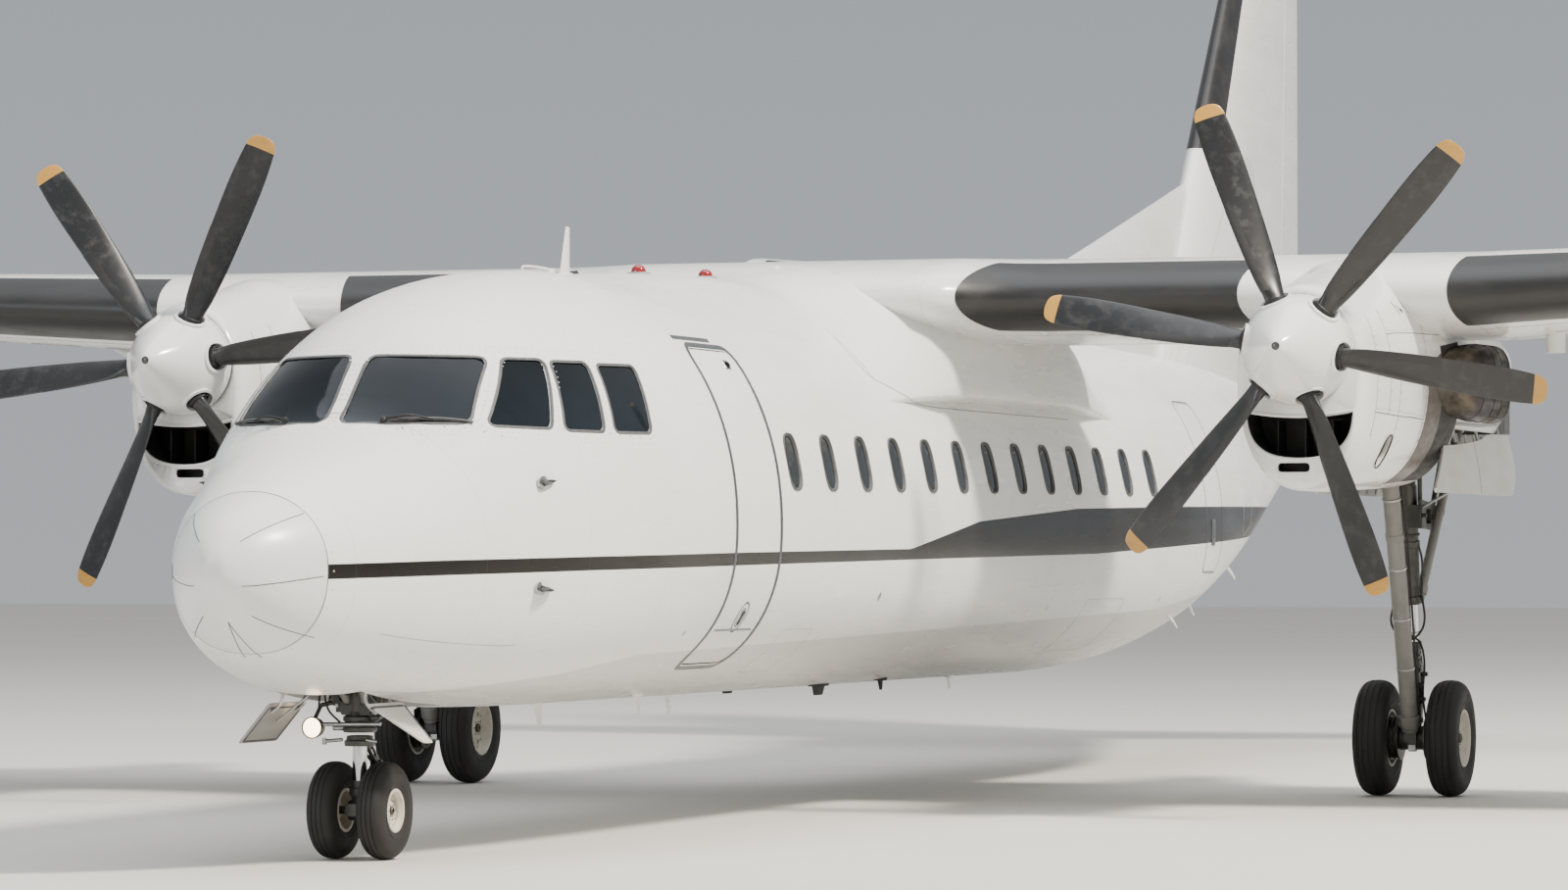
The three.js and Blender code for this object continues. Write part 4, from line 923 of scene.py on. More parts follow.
def heads_along(surface, paths, pitch, radius, height, material):
    """Rivet or fastener heads along paths laid on a skin."""
    points, edges, normals = [], [], []
    for path in paths:
        for k, p in enumerate(path):
            spot, normal, _ = surface.nearest(Vector(p))
            if k:
                edges.append((len(points) - 1, len(points)))
            points.append(spot + normal * height * .3)
            normals.append(normal)
    return grown_from(attributed(points, edges, skin_normal=normals), HEADS, {
        "Pitch": pitch, "Radius": radius, "Height": height, "Material": material})


def units_at(unit, spots, material):
    """A unit mesh, made flat on X and Y, set at each (point, normal, upright)."""
    holder = bpy.data.objects.new("unit", unit)
    bpy.context.scene.collection.objects.link(holder)
    points, normals, uprights = zip(*spots)
    seeds = attributed(points, [], skin_normal=normals, upright=uprights)
    made = grown_from(seeds, UNITS, {"Unit": holder, "Material": material})
    bpy.data.objects.remove(holder)
    return made


def dense(path, pitch):
    """The path with points no further apart than the pitch."""
    result = [Vector(path[0])]
    for p in path[1:]:
        a, b = result[-1], Vector(p)
        steps = max(1, math.ceil((b - a).length / pitch))
        result += [a.lerp(b, (i + 1) / steps) for i in range(steps)]
    return result


def strip(surface, path, width, height, closed=False, pitch=.06, sink=.0015):
    """A thin band that follows the skin along a path: an outline, a lap or a seal."""
    path = dense(list(path) + ([path[0]] if closed else []), pitch)
    if closed:
        path = path[:-1]
    laid = [surface.nearest(p)[:2] for p in path]
    rings, count = [], len(laid)
    for i, (spot, normal) in enumerate(laid):
        before = laid[i - 1][0] if closed or i else spot
        after = laid[(i + 1) % count][0] if closed or i + 1 < count else spot
        along = (after - before).normalized()
        across = normal.cross(along).normalized()
        edges = [surface.nearest(spot + across * width * side)[:2] for side in (-.5, .5)]
        (a, na), (b, nb) = edges
        inset = (b - a) * .12
        rings.append((a - na * sink, a + inset + na * height, b - inset + nb * height, b - nb * sink))
    if not closed:
        return loft(rings)
    vertices = [p for ring in rings for p in ring]
    faces = [(k * 4 + i, k * 4 + (i + 1) % 4, ((k + 1) % count) * 4 + (i + 1) % 4, ((k + 1) % count) * 4 + i)
             for k in range(count) for i in range(4)]
    return mesh_of(vertices, faces)


# Fuselage skin

SKIN = Surface(fuselage_solid(.0004, LENGTH))
WINDSCREEN = rounded(((.053, 2.555), (.735, 2.551), (.650, 2.940), (.060, 2.945)), .05)
SIDE_PANES = [rounded(corners, .045) for corners in (
    ((2.05, 2.541), (2.526, 2.533), (2.816, 2.937), (2.515, 2.935)),
    ((2.656, 2.526), (3.055, 2.524), (3.219, 2.932), (2.871, 2.929)),
    ((3.183, 2.524), (3.633, 2.528), (3.776, 2.929), (3.324, 2.923)))]
DOOR = rounded(((4.86, 1.1), (5.66, 1.1), (5.66, 3.08), (4.86, 3.08)), .1)
AFT_DOOR = rounded(((16.68, 1.66), (17.36, 1.66), (17.36, 3.05), (16.68, 3.05)), .1)
GLASS_SINK = .008
GLASS_DEEP = .03
CABIN_WINDOWS = [(6.03 + .735 * i, 2.388 + .0045 * i) for i in range(13)]


# View, height limits and stations of the block that a forward door shell is cut from
DOOR_BLOCK = ("side", (.5, 1.8), 4.5, 6)


def shell_of(outline, view, span, first, last, outer, inner):
    """The part of the skin inside an outline, between two depths below the surface."""
    body = fuselage_solid(first, last, -outer)
    core = fuselage_solid(first - .02, last + .02, -inner)
    return cut(within(body, prism(outline, view, *span)), core)


def pocket_of(outline, view, span, first, last, deep, gap):
    """The cutter for a pane or a door: the outline grown by a gap, down to a depth."""
    return cut(prism(grown(outline, gap), view, *span), fuselage_solid(first - .4, last + .4, -deep))


PANES = [("windscreen_{}", WINDSCREEN, "front", (1.2, 2.7), .9, 4.2)]
PANES += [(f"side_window_{{}}_{i + 1}", outline, "side", (.4, 1.8), 1.4, 4.6)
          for i, outline in enumerate(SIDE_PANES)]

hull = fuselage_solid(RADOME_END + .002, LENGTH)
hull = cut(hull, block(-.28, .28, 1.42, 2.62, .5, 1.45), block(.35, 1.7, 4.9, 5.62, 1.3, 2.99))
hull = cut(hull, pocket_of(DOOR, *DOOR_BLOCK, .068, .008))
hull = cut(hull, within(rod(at(.968, 4.852, 1.10), at(.968, 5.668, 1.10), .126, sides=48),
                        block(0, 1.7, 4.8, 5.7, 1.10, 1.30)))
hull = cut(hull, pocket_of(AFT_DOOR, "side", (.3, 1.8), 16.2, 17.8, .045, .004))
for _, outline, view, span, first, last in PANES:
    pocket = pocket_of(outline, view, span, first, last, GLASS_DEEP, .004)
    hull = cut(hull, pocket, moved(pocket, MIRROR_X))

# Cabin windows: an upright oval, wider than tall arcs, set back in a grey rim
WINDOW_HALF = (.122, .178)
WINDOW_OVAL = [(WINDOW_HALF[0] * math.copysign(abs(math.cos(t)) ** .72, math.cos(t)),
                WINDOW_HALF[1] * math.copysign(abs(math.sin(t)) ** .72, math.sin(t)))
               for t in circle(36)]


def unit_loft(layers):
    """A closed unit from ovals at (scale shift, height) about the origin, facing +Z."""
    rings = []
    for shift, height in layers:
        rings.append([(x * (1 + shift / WINDOW_HALF[0]), y * (1 + shift / WINDOW_HALF[1]), height)
                      for x, y in WINDOW_OVAL])
    return rings


window_hole = loft(unit_loft(((0, -.026), (0, .06))))
rim_rings = unit_loft(((.014, -.004), (.012, .003), (.003, .0035), (-.006, -.010), (-.008, -.024),
                       (.004, -.026)))
window_rim = mesh_of(
    [p for ring in rim_rings for p in ring],
    [(r * 36 + i, r * 36 + (i + 1) % 36, ((r + 1) % 6) * 36 + (i + 1) % 36, ((r + 1) % 6) * 36 + i)
     for r in range(6) for i in range(36)])
window_pane = loft(unit_loft(((-.007, -.022), (-.0075, -.013), (-.03, -.0105), (-.07, -.0095))))
window_spots = {}
for side, way in SIDES:
    window_spots[side] = []
    for station, z in CABIN_WINDOWS:
        spot, normal = SKIN.hit(at(way * 3, station, z), Vector((-way, 0, 0)))
        window_spots[side].append((spot, normal, Vector((0, 0, 1))))
    hull = cut(hull, units_at(window_hole.copy(), window_spots[side], MATT_BLACK))

piece("fuselage_skin", hull, FUSELAGE_PAINT, replaces=["fuselage"], surface=SKIN,
      angle=30)
for side, way in SIDES:
    piece(f"cabin_window_rims_{side}", units_at(window_rim.copy(), window_spots[side], SEAL_RUBBER),
          SEAL_RUBBER)
    piece(f"cabin_window_panes_{side}", units_at(window_pane.copy(), window_spots[side], CABIN_ACRYLIC),
          CABIN_ACRYLIC)
    for name, outline, view, span, first, last in PANES:
        pane = shell_of(outline, view, span, first, last, GLASS_SINK, GLASS_DEEP)
        piece(name.format(side) + "_pane", on_side(pane, way), COCKPIT_GLASS,
              replaces=[name.format(side)], surface=SKIN, angle=30)

piece("radome_skin", fuselage_solid(.0004, RADOME_END - .002), RADOME_PAINT,
      replaces=["radome"], surface=SKIN)


def skin_path(outline, view, way):
    """The points of an outline laid on the fuselage, seen from the front or the side."""
    path = []
    for u, v in outline:
        origin, aim = ((at(way * u, -1, v), Vector((0, 1, 0))) if view == "front"
                       else (at(way * 3, u, v), Vector((-way, 0, 0))))
        path.append(SKIN.hit(origin, aim)[0])
    return path


def closed_path(outline, pitch):
    """A closed outline with points no further apart than the pitch."""
    points = dense([Vector((*p, 0)) for p in outline] + [Vector((*outline[0], 0))], pitch)
    return [(p.x, p.y) for p in points[:-1]]


# Seals round the panes, rivet rows outside them, door outlines
for side, way in SIDES:
    seals, rows = [], []
    for _, outline, view, _, _, _ in PANES:
        seals.append(strip(SKIN, skin_path(closed_path(grown(outline, .009), .05), view, way),
                           .022, .003, closed=True, pitch=.05))
        for gap in (.045, .075):
            ring = skin_path(closed_path(grown(outline, gap), .05), view, way)
            rows.append(ring + [ring[0]])
    piece(f"glazing_seals_{side}", joined(*seals), SEAL_RUBBER, angle=50)
    piece(f"glazing_rivets_{side}", heads_along(SKIN, rows, .042, .0048, .0016, RIVET_PAINT),
          RIVET_PAINT)

outlines = [strip(SKIN, skin_path(closed_path(grown(DOOR, .03), .05), "side", 1), .046, .0032, closed=True),
            strip(SKIN, skin_path([(4.74, 3.15), (5.42, 3.15)], "side", 1), .036, .005),
            strip(SKIN, skin_path(closed_path(grown(AFT_DOOR, .014), .05), "side", 1), .014, .002,
                  closed=True)]
STARBOARD_DOOR = rounded(((17.0, 1.72), (17.72, 1.72), (17.72, 3.02), (17.0, 3.02)), .1)
FREIGHT_DOOR = rounded(((4.6, 1.5), (5.55, 1.5), (5.55, 2.95), (4.6, 2.95)), .1)
for outline in (STARBOARD_DOOR, FREIGHT_DOOR):
    outlines.append(strip(SKIN, skin_path(closed_path(outline, .05), "side", -1), .014, .002, closed=True))
piece("door_outlines", joined(*outlines), OUTLINE_PAINT, angle=50)
piece("aft_door_skin", shell_of(AFT_DOOR, "side", (.3, 1.8), 16.2, 17.8, 0, .044), FUSELAGE_PAINT,
      replaces=["aft_door_port"], surface=SKIN)


# Wings

def half_thickness(share, thick):
    return 5 * thick * (.2969 * math.sqrt(share) + share * (-.126 + share * (
        -.3516 + share * (.2843 - .1015 * share))))


def camber_line(share, camber):
    peak = .4
    if share < peak:
        return camber / peak ** 2 * (2 * peak * share - share ** 2)
    return camber / (1 - peak) ** 2 * (1 - 2 * peak + 2 * peak * share - share ** 2)


FOIL_STEPS = 30


def foil_ring(row, upright=False, grow=0.0):
    """A section through a wing or, upright, through the fin: a dict of its place and sizes."""
    def point(share, side):
        swell = side * (half_thickness(share, row["thick"]) * row["chord"] + grow)
        swell += camber_line(share, row.get("camber", 0)) * row["chord"]
        station = row["lead"] - grow + share * (row["chord"] + 2 * grow)
        z = row["z"] - row.get("sink", 0) * share * row["chord"]
        return at(row["x"] + swell, station, z) if upright else at(row["x"], station, z + swell)
    shares = [.5 * (1 - math.cos(math.pi * i / FOIL_STEPS)) for i in range(FOIL_STEPS + 1)]
    return [point(s, 1) for s in reversed(shares)] + [point(s, -1) for s in shares[1:]]


def between(a, b, share):
    return {key: a[key] + (b[key] - a[key]) * share for key in a}


# The leading edge runs forward near the fuselage in a glove that fairs it in.
ROOT_GLOVE = dict(end=2.0, span=.75, ahead=.34)
ROOT_CUT = dict(x=0, lead=WING["lead"], z=WING["z"], chord=WING["chord"], thick=WING["thick"],
                camber=WING["camber"], sink=WING["sink"])
JOINT_CUT = dict(ROOT_CUT, x=WING["joint"])
TIP_RISE = (TIP_X - WING["joint"]) * math.tan(math.radians(WING["dihedral"]))
TIP_CUT = dict(JOINT_CUT, x=TIP_X, lead=WING["tip_lead"], z=WING["z"] + TIP_RISE,
               chord=WING["tip_chord"], thick=WING["tip_thick"])


def outer_at(x):
    return between(JOINT_CUT, TIP_CUT, (x - WING["joint"]) / (TIP_X - WING["joint"]))


def wing_row(x):
    """The wing's section at a distance out from the centre line."""
    if x > WING["joint"]:
        return outer_at(x)
    ahead = ROOT_GLOVE["ahead"] * min(max((ROOT_GLOVE["end"] - x) / ROOT_GLOVE["span"], 0), 1) ** 2
    chord = ROOT_CUT["chord"] + ahead
    return dict(ROOT_CUT, x=x, lead=ROOT_CUT["lead"] - ahead, chord=chord,
                thick=ROOT_CUT["thick"] * ROOT_CUT["chord"] / chord)


def tip_rows(row, reach, inset, cut_chord, steps=6):
    """Sections that round a tip off, from its last full row out to the very tip."""
    rows = []
    for i in range(1, steps + 1):
        t = i / steps
        shrink = 1 - math.sqrt(max(1 - t * t, 0))
        rows.append(dict(row, x=row["x"] + reach * t, lead=row["lead"] + inset * shrink,
                         chord=row["chord"] - cut_chord * shrink,
                         thick=max(row["thick"] * math.sqrt(max(1 - t * t, 0)), .008)))
    return rows


def wing_solid(first, last, grow=0.0):
    stops = [x for x in np.arange(first + .5, min(last, TIP_CUT_X) - .1, .5)]
    stops += [x for x in (1.1, 1.25, 1.35, 1.42, 1.6, 1.7, 1.8, 1.9) if first < x < last]
    if first < WING["joint"] < last:
        stops.append(WING["joint"])
    rows = [wing_row(x) for x in sorted({first, min(last, TIP_CUT_X), *stops})]
    if last > TIP_CUT_X:
        rows += tip_rows(outer_at(TIP_CUT_X), TIP_X - TIP_CUT_X, .13, .33)
    return loft([foil_ring(row, grow=grow) for row in rows])


def flap_plan(first, last, gap):
    """The plan outline of a flap's place, from its front edge to behind the trailing edge."""
    stops = [first + gap] + ([WING["joint"]] if first < WING["joint"] < last else []) + [last - gap]
    front = [(x, wing_row(x)["lead"] + FLAP_FRONT * wing_row(x)["chord"] + gap) for x in stops]
    return front + [(last - gap, 13.6), (first + gap, 13.6)]


def hinge_point(row, share):
    rise = camber_line(share, row.get("camber", 0)) * row["chord"]
    return at(row["x"], row["lead"] + share * row["chord"],
              row["z"] - row.get("sink", 0) * share * row["chord"] + rise)


def hinged(surface, a, b, radius_a, radius_b, aft, up, ends=MOVE_GAP, round_gap=MOVE_GAP, reach=1.6):
    """A moving surface with a round nose, and the room it needs in what carries it."""
    along = (b - a).normalized()

    def slab(gap):
        return loft([[p + aft * back + up * side
                      for back, side in ((0, -.6), (reach, -.6), (reach, .6), (0, .6))]
                     for p in (a + along * gap, b - along * gap)])

    def nose(gap, grow):
        return rod(a + along * gap, b - along * gap, radius_a * .985 + grow, radius_b * .985 + grow, 40)
    blade = boolean(within(surface, slab(ends)), nose(ends, 0), "UNION")
    return blade, boolean(slab(0), nose(0, round_gap), "UNION")


whole_wing = wing_solid(.0005, TIP_X)
WING_SKIN = Surface(wing_solid(-.01, TIP_X))
row_a, row_b = outer_at(AILERON["first"]), outer_at(AILERON["last"])
aileron, aileron_room = hinged(
    whole_wing, hinge_point(row_a, AILERON["hinge"]), hinge_point(row_b, AILERON["hinge"]),
    half_thickness(AILERON["hinge"], row_a["thick"]) * row_a["chord"],
    half_thickness(AILERON["hinge"], row_b["thick"]) * row_b["chord"], Vector((0, 1, 0)), Vector((0, 0, 1)),
    .014, .014)
fixed_wing = cut(whole_wing, aileron_room,
                 *(prism(flap_plan(a, b, 0), "plan", 2.6, 4.6) for a, b in FLAPS.values()))
centre_half = within(fixed_wing, block(0, WING["joint"], 8, 15, 2, 5))
outer_part = within(fixed_wing, block(WING["joint"], 16, 8, 15, 2, 5))
jack_pad = rod(at(5.35, 10.9, 3.5), at(5.35, 10.9, 3.21), .07)


def foil_point(row, share, side, lift=0.0):
    """A point on a section's skin: side is 1 above and -1 below."""
    swell = side * (half_thickness(share, row["thick"]) * row["chord"] + lift)
    swell += camber_line(share, row.get("camber", 0)) * row["chord"]
    return at(row["x"], row["lead"] + share * row["chord"],
              row["z"] - row.get("sink", 0) * share * row["chord"] + swell)


def boot_solid(rows, share=.075, lift=.003, upright=False):
    """A rubber boot wrapped round a leading edge over the given sections."""
    steps = 20
    rings = []
    for row in rows:
        ring = []
        for out in (lift, -.012):
            arc = []
            for i in range(2 * steps + 1):
                way = 1 if i < steps else -1
                s = share * abs(1 - i / steps) ** 2
                fade = min(1, (share - s) / (share * .12))
                grow = out * (fade if out > 0 else 1)
                swell = way * (half_thickness(s, row["thick"]) * row["chord"])
                slope = way * grow * min(1, math.sqrt(s / share) * 1.6)
                rise = camber_line(s, row.get("camber", 0)) * row["chord"]
                station = row["lead"] + s * row["chord"] - grow * (1 - min(1, math.sqrt(s / share)))
                z = row["z"] - row.get("sink", 0) * s * row["chord"]
                arc.append(at(row["x"] + swell + slope, station, z) if upright
                           else at(row["x"] + row.get("curl", 0) * s / share, station,
                                   z + swell + slope + rise))
            ring += arc if out > 0 else arc[::-1]
        rings.append(ring)
    return loft(rings)


NACELLE_SKIN = Surface(loft([oval(NACELLE_X, s, nacelle_row(s), 96, 2.05, 2.25)
                             for s in np.arange(8.42, 14.76, .05)]))

FAIRING = ((8.36, .8, 3.24, 3.592, 3.0), (8.62, 1.12, 3.02, 3.64, 2.88), (9.16, 1.26, 2.93, 3.74, 2.825),
           (9.76, 1.33, 2.93, 3.86, 2.82), (10.6, 1.345, 2.93, 3.905, 2.82), (12, 1.345, 2.93, 3.86, 2.82),
           (13.1, 1.31, 2.93, 3.76, 2.82), (13.9, 1.23, 2.96, 3.67, 2.86), (14.5, .9, 3.2, 3.6, 3.0))
fairing_row = row_curves(FAIRING, lambda s: s)
# Boot stations across the wing, with how far each end curls outwards above and below the nose
INNER_BOOT = ((1.4, .2), (1.6, .1), (1.9, 0), (2.7, 0), (3.2, 0), (3.3, .04), (3.38, .1))
OUTER_BOOT = ((4.86, .06), (4.93, .03), (4.95, .02), (4.97, .01), (5.3, 0),
              *((x, 0) for x in np.linspace(5.8, 14.2, 18)))
ACCESS_COVERS = [5.6 + .62 * i for i in range(13)]
for side, way in SIDES:
    piece(f"wing_center_skin_{side}", on_side(centre_half, way), WING_PAINT,
          replaces=["wing_center"], surface=None if way < 0 else WING_SKIN)
    outer_body = boolean(outer_part, jack_pad, "UNION")
    piece(f"outer_wing_skin_{side}", on_side(outer_body, way), WING_PAINT,
          replaces=[f"outer_wing_{side}"], surface=None if way < 0 else WING_SKIN)
    piece(f"aileron_skin_{side}", on_side(aileron, way), WING_PAINT, f"aileron_{side}",
          [f"aileron_{side}"])
    for part, (first, last) in FLAPS.items():
        flap = within(whole_wing, prism(flap_plan(first, last, MOVE_GAP), "plan", 2.6, 4.6))
        piece(f"flap_{part}_skin_{side}", on_side(flap, way), WING_PAINT,
              replaces=[f"flap_{part}_{side}"], bevel=.004)
    boots = joined(*(boot_solid([wing_row(x) | {"curl": curl} for x, curl in rows], .115)
                     for rows in (INNER_BOOT, OUTER_BOOT)))
    piece(f"wing_boots_{side}", on_side(boots, way), BOOT_RUBBER, angle=50)
    laps, rows = [], []
    for share, sign in ((.16, 1), (.16, -1), (.42, -1), (.62, -1), (.62, 1)):
        for first, last in ((1.5, 3.5), (4.75, 14.1)):
            laps.append(strip(WING_SKIN, [foil_point(wing_row(x), share, sign)
                                          for x in np.linspace(first, last, 14)], .012, .0012, pitch=.3))
        rows.append([foil_point(wing_row(x), share + .012, sign) for x in np.linspace(4.75, 14.1, 30)])
    for x in (5.0, 7.1, 9.0, 11.2):
        laps.append(strip(WING_SKIN, [foil_point(wing_row(x), s, -1) for s in np.linspace(.09, .66, 12)],
                          .012, .0012, pitch=.15))
    piece(f"wing_laps_{side}", on_side(joined(*laps), way), LAP_SEALANT, angle=60)
    covers = []
    for x in ACCESS_COVERS:
        row = wing_row(x)
        middle = foil_point(row, .32, -1)
        oval_path = [middle + Vector((.2 * math.cos(t), .12 * math.sin(t), 0))
                     for t in circle(28)]
        covers.append(strip(WING_SKIN, oval_path, .012, .002, closed=True, pitch=.05))
        rows.append([middle + Vector((.17 * math.cos(t), .095 * math.sin(t), 0))
                     for t in circle(16, 1)])
    piece(f"wing_access_covers_{side}", on_side(joined(*covers), way), LAP_SEALANT,
          angle=60)
    piece(f"wing_rivets_{side}", on_side(
        heads_along(WING_SKIN, rows, .075, .006, .0016, RIVET_PAINT), way), RIVET_PAINT)
    # Flap track fairings: slim canoes under the outer flap
    canoes = []
    for x in (6.1, 7.9, 9.3):
        row = wing_row(x)
        z = foil_point(row, .7, -1).z
        lead = row["lead"] + .5 * row["chord"]
        length = .56 * row["chord"]
        canoes.append(loft([[at(x + .055 * w * math.cos(t), lead + length * s, z + .05 * (1 - s)
                                + .13 * w * math.sin(t)) for t in circle(20)]
                            for s, w in ((0, .08), (.06, .5), (.2, .85), (.45, 1), (.7, .85), (.9, .45),
                                         (1, .06))]))
    piece(f"flap_track_fairings_{side}", on_side(joined(*canoes), way), WING_PAINT,
          angle=60)

# Fin, rudder, dorsal fin and tailplane
FIN_CUTS = (dict(x=0, z=3.3, lead=19.6, chord=5.58, thick=.1),
            dict(x=0, z=8.2, lead=23.23, chord=1.95, thick=.1))


def fin_row(z):
    return between(*FIN_CUTS, (z - FIN_CUTS[0]["z"]) / (FIN_CUTS[1]["z"] - FIN_CUTS[0]["z"]))


fin_top = [dict(FIN_CUTS[1], z=8.2 + .12 * t, lead=23.23 + .19 * (1 - math.sqrt(1 - t * t)),
                chord=1.95 - .39 * (1 - math.sqrt(1 - t * t)),
                thick=max(.1 * math.sqrt(1 - t * t), .01)) for t in (.25, .5, .7, .86, .96, 1)]
fin_rows = [fin_row(z) for z in np.linspace(3.3, 8.2, 12)] + fin_top
whole_fin = loft([foil_ring(row, True) for row in fin_rows])
FIN_SKIN = Surface(whole_fin)


def fin_half(z, station):
    row = fin_row(z)
    return half_thickness((station - row["lead"]) / row["chord"], row["thick"]) * row["chord"]


# Ends of the rudder's hinge line: station, height
RUDDER_FOOT, RUDDER_HEAD = (23.98, 3.96), (24.52, 8.16)
RUDDER_ROOT_HALF = fin_half(RUDDER_FOOT[1], RUDDER_FOOT[0])
RUDDER_TIP_HALF = fin_half(RUDDER_HEAD[1], RUDDER_HEAD[0])
rudder, rudder_room = hinged(whole_fin, at(0, *RUDDER_FOOT), at(0, *RUDDER_HEAD), RUDDER_ROOT_HALF,
                             RUDDER_TIP_HALF, Vector((0, 1, 0)), Vector((1, 0, 0)))
fin = cut(whole_fin, rudder_room, fuselage_solid(18, LENGTH))
piece("fin_skin", fin, WING_PAINT, replaces=["fin"], surface=FIN_SKIN)
piece("rudder_skin", rudder, WING_PAINT, "rudder", ["rudder"], surface=FIN_SKIN)
piece("fin_boot", boot_solid([fin_row(z) for z in np.linspace(5.5, 7.75, 12)], .1, .003, True), BOOT_RUBBER,
      angle=50)

# Dorsal fin: a thin blade that swells to meet the roof and the fin's leading edge
DORSAL_RIDGE = ((13.95, 3.59), (17.03, 4.27), (20.94, 5.17))
ridge = monotone(*zip(*DORSAL_RIDGE))
dorsal_rings = []
for s in np.linspace(13.95, 20.9, 30):
    top = float(ridge(s)) - .004
    base = 3.45
    dorsal_rings.append([at(w * h, s, base + (top - base) * k) for k, w, h in (
        (0, .044, 1), (.35, .043, 1), (.7, .040, 1), (.92, .030, 1), (1, .008, 1),
        (1, .008, -1), (.92, .030, -1), (.7, .040, -1), (.35, .043, -1), (0, .044, -1))])
piece("dorsal_fin_skin", cut(loft(dorsal_rings), fuselage_solid(13, 22.5, -.01)), WING_PAINT,
      replaces=["dorsal_fin"], angle=50)

TAIL = dict(half=4.875, lead=21.55, chord=2.85, tip_lead=22.6, tip_chord=1.36, z=4.08, dihedral=6, thick=.12,
            hinge=.62, first=.33, last=4.56)


def tail_row(x):
    share = x / TAIL["half"]
    return dict(x=x, lead=TAIL["lead"] + (TAIL["tip_lead"] - TAIL["lead"]) * share,
                chord=TAIL["chord"] + (TAIL["tip_chord"] - TAIL["chord"]) * share,
                z=TAIL["z"] + x * math.tan(math.radians(TAIL["dihedral"])), thick=TAIL["thick"])


tail_rows = [tail_row(x) for x in np.linspace(0, TAIL["half"] - .13, 12)]
tail_rows += tip_rows(tail_row(TAIL["half"] - .13), .13, .11, .3)
whole_tail = loft([foil_ring(row) for row in tail_rows])
row_a, row_b = tail_row(TAIL["first"]), tail_row(TAIL["last"])
elevator, elevator_room = hinged(
    whole_tail, hinge_point(row_a, TAIL["hinge"]), hinge_point(row_b, TAIL["hinge"]),
    half_thickness(TAIL["hinge"], TAIL["thick"]) * row_a["chord"],
    half_thickness(TAIL["hinge"], TAIL["thick"]) * row_b["chord"], Vector((0, 1, 0)), Vector((0, 0, 1)), .026)
SWING_GAP = .024
rudder_swing = rod(at(0, *RUDDER_FOOT), at(0, *RUDDER_HEAD), RUDDER_ROOT_HALF + SWING_GAP,
                   RUDDER_TIP_HALF + SWING_GAP, 48)
tail_half = cut(whole_tail, elevator_room, rudder_room, rudder_swing)
for side, way in SIDES:
    piece(f"tailplane_skin_{side}", on_side(tail_half, way), WING_PAINT,
          replaces=["tailplane"])
    piece(f"elevator_skin_{side}", on_side(elevator, way), WING_PAINT, f"elevator_{side}",
          [f"elevator_{side}"])
    piece(f"tailplane_boot_{side}", on_side(boot_solid([tail_row(x) for x in np.linspace(.7, 4.6, 10)],
                                                       .09), way),
          BOOT_RUBBER, angle=50)

# Static wicks along the trailing edges: thin carbon rods in small shoes
wick = joined(rod(Vector((0, 0, 0)), Vector((0, 0, .15)), .0035, .002, 6),
              rod(Vector((0, 0, -.01)), Vector((0, 0, .03)), .009, .005, 6))
for side, way in SIDES:
    spots = []
    for x in (10.4, 11.3, 12.2, 13.1, 13.7):
        row = wing_row(x)
        spots.append((at(way * x, row["lead"] + row["chord"] * .995, foil_point(row, 1, 1).z),
                      Vector((0, 1, -.1)), Vector((1, 0, 0))))
    piece(f"aileron_wicks_{side}", units_at(wick.copy(), spots, MATT_BLACK), MATT_BLACK, f"aileron_{side}")
    spots = []
    for x in (1.6, 2.6, 3.6, 4.3):
        row = tail_row(x)
        spots.append((at(way * x, row["lead"] + row["chord"] * .995, row["z"]), Vector((0, 1, 0)),
                      Vector((1, 0, 0))))
    piece(f"elevator_wicks_{side}", units_at(wick.copy(), spots, MATT_BLACK), MATT_BLACK, f"elevator_{side}")

# Nacelles

def bezier(points, steps):
    """Points of a curve from its control points, without the last."""
    path = []
    for i in range(steps):
        t, left = i / steps, [Vector(p) for p in points]
        while len(left) > 1:
            left = [a.lerp(b, t) for a, b in zip(left, left[1:])]
        path.append(tuple(left[0]))
    return path


def nacelle_solid(grow=0.0, first=8.42, last=14.75):
    lip = {8.42: -.011, 8.424: -.005, 8.432: -.0015}
    stations = [s for s in (8.42, 8.424, 8.432, 8.45, 8.5, 8.6, *np.arange(8.7, 14.75, .15), 14.75)
                if first <= s <= last]
    return loft([oval(NACELLE_X, s, nacelle_row(s), 120, 2.05, 2.25, grow + lip.get(s, 0)) for s in stations])


def about(x, outline):
    """An outline moved sideways to stand about a middle line."""
    return [(x + u, z) for u, z in outline]


INTAKE = about(NACELLE_X, bezier(((-.375, 2.751), (0, 2.681), (.375, 2.751)), 16)
               + bezier(((.375, 2.751), (.375, 2.484), (.206, 2.424), (0, 2.424)), 16)
               + bezier(((0, 2.424), (-.206, 2.424), (-.375, 2.484), (-.375, 2.751)), 16))
SLOT = rounded(about(NACELLE_X - .04, ((-.115, 2.335), (.115, 2.335), (.115, 2.409), (-.115, 2.409))), .036)
BAY = dict(first=11.0, last=13.45, inner=3.66, outer=4.5, roof=2.95, edge=2.69)
VENT_SPOT, VENT_OUT = NACELLE_SKIN.nearest(at(4.51, 9.14, 2.49))[:2]
PORT_HOLE_SPOT, PORT_HOLE_OUT = NACELLE_SKIN.nearest(at(4.545, 9.53, 3.46))[:2]


def oval_rod(spot, out, long_half, short_half, deep, proud, sides=36):
    """An oval plug square to the skin, its long half upright."""
    side = Vector((0, 1, 0)) - out * out.y
    side.normalize()
    up = out.cross(side)
    return loft([[spot + out * lift + side * short_half * math.cos(t) + up * long_half * math.sin(t)
                  for t in circle(sides)] for lift in (-deep, proud)])


